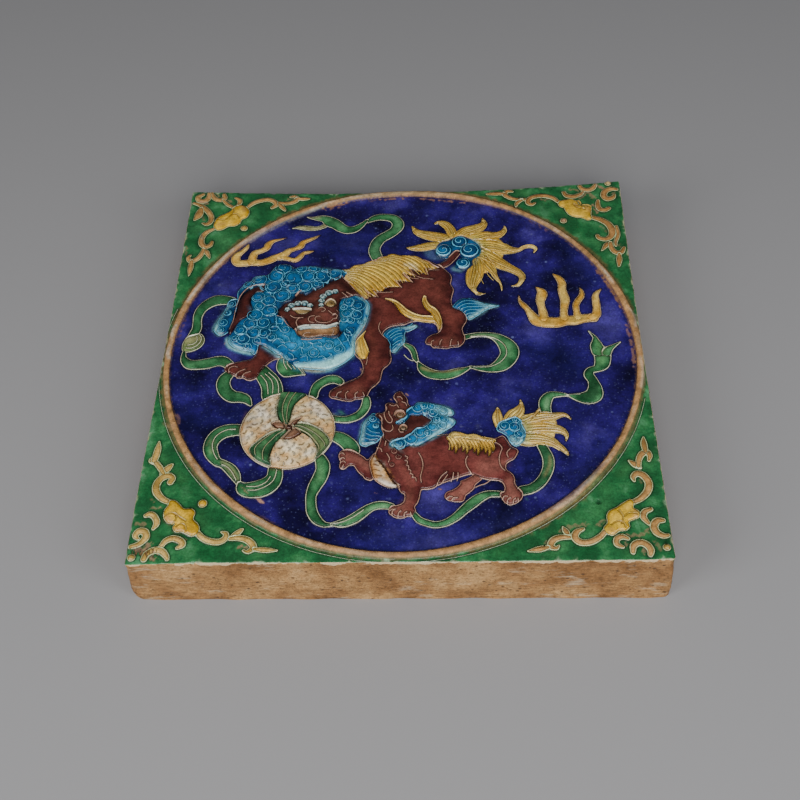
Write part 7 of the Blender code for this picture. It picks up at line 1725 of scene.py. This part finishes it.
dry = add(tree, "Mix", 2, {**LAID, 0: scuff_on, 6: holed, 7: "#e2cfae"})
# The slip reaches a few millimetres down from the rim, by a wandering depth
wander = add(tree, "TexNoise", "Fac", {"Scale": 1/0.008, "Detail": 4.0, "Roughness": 0.5, "Vector": spot})
slip_depth = add(tree, "Math", 0, {"operation": "MULTIPLY_ADD", 0: wander, 1: 11.0, 2: -4.9})
below_rim = add(tree, "Attribute", "Fac", {"attribute_name": "below_rim"})
slip_gap = add(tree, "Math", 0, {"operation": "SUBTRACT", 0: below_rim, 1: slip_depth})
slip_on = add(tree, "ValToRGB", "Color", {"Fac": slip_gap, "stops": ((0.25, 0.9), (0.7, 0.0))})
slipped = add(tree, "Mix", 2, {**LAID, 0: slip_on, 6: dry, 7: "#d6bf98"})
height = add(tree, "Mix", 0, {"data_type": "FLOAT", 0: 0.5, 2: strokes, 3: grit})
rough_skin = add(tree, "Bump", "Normal", {"Strength": 1.0, "Distance": 0.0012, "Height": height})
shader = add(tree, "BsdfPrincipled", "BSDF", {"IOR": 1.5, "Metallic": 0.0, "Roughness": 0.9,
                                              "Base Color": slipped, "Normal": rough_skin})
add(tree, "OutputMaterial", None, {"Surface": shader})
for piece in (body, ground, lion, cub):
    piece.data.materials.append(glaze)
    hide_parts("tile")
    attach(piece, "root")
body.data.materials.append(clay)
body.data.polygons.foreach_set("material_index", wall_faces)
body.data.update()

# The studio. A plain pale floor, a soft light above the viewer and one on each side of the
# front, and a camera that looks down at the tile.
bpy.ops.mesh.primitive_plane_add(size=6, location=(0, 0, 0))
floor = bpy.context.object
floor.name = "floor"
paper = bpy.data.materials.new("grey_paper")
paper.use_nodes = True
paper.node_tree.nodes["Principled BSDF"].inputs["Base Color"].default_value = rgba("#9a9a9d")
paper.node_tree.nodes["Principled BSDF"].inputs["Roughness"].default_value = 0.9
floor.data.materials.append(paper)
world = bpy.data.worlds.new("studio_air")
world.use_nodes = True
world.node_tree.nodes["Background"].inputs["Color"].default_value = (0.72, 0.74, 0.78, 1)
world.node_tree.nodes["Background"].inputs["Strength"].default_value = 0.08
bpy.context.scene.world = world
for name, place, size, power, hue in (
        ("softbox_front", (0.1, -1.5, 1.1), 1.2, 30.0, (1.0, 0.98, 0.95)),
        ("softbox_left", (-1.2, -0.9, 0.9), 0.8, 13.0, (1.0, 0.99, 0.97)),
        ("softbox_right", (1.2, -0.9, 0.9), 0.8, 10.0, (0.98, 0.99, 1.0))):
    light = bpy.data.lights.new(name, "AREA")
    light.size, light.energy, light.color = size, power, hue
    lamp = bpy.data.objects.new(name, light)
    lamp.location = place
    lamp.rotation_euler = mathutils.Vector([-c for c in place]).to_track_quat("-Z", "Y").to_euler()
    bpy.context.scene.collection.objects.link(lamp)
lens = bpy.data.cameras.new("camera")
lens.lens, lens.sensor_width = 51.15, 36.0
camera = bpy.data.objects.new("camera", lens)
look = mathutils.Vector((-0.0395, 0.6224, -0.7817)).normalized()
side = look.cross(mathutils.Vector((0.011, 0.7825, 0.6226))).normalized()
camera.matrix_world = mathutils.Matrix.Translation((0.027, -0.464, 0.5714)) @ mathutils.Matrix(
    (side, side.cross(look), -look)).transposed().to_4x4()
bpy.context.scene.collection.objects.link(camera)
bpy.context.scene.camera = camera
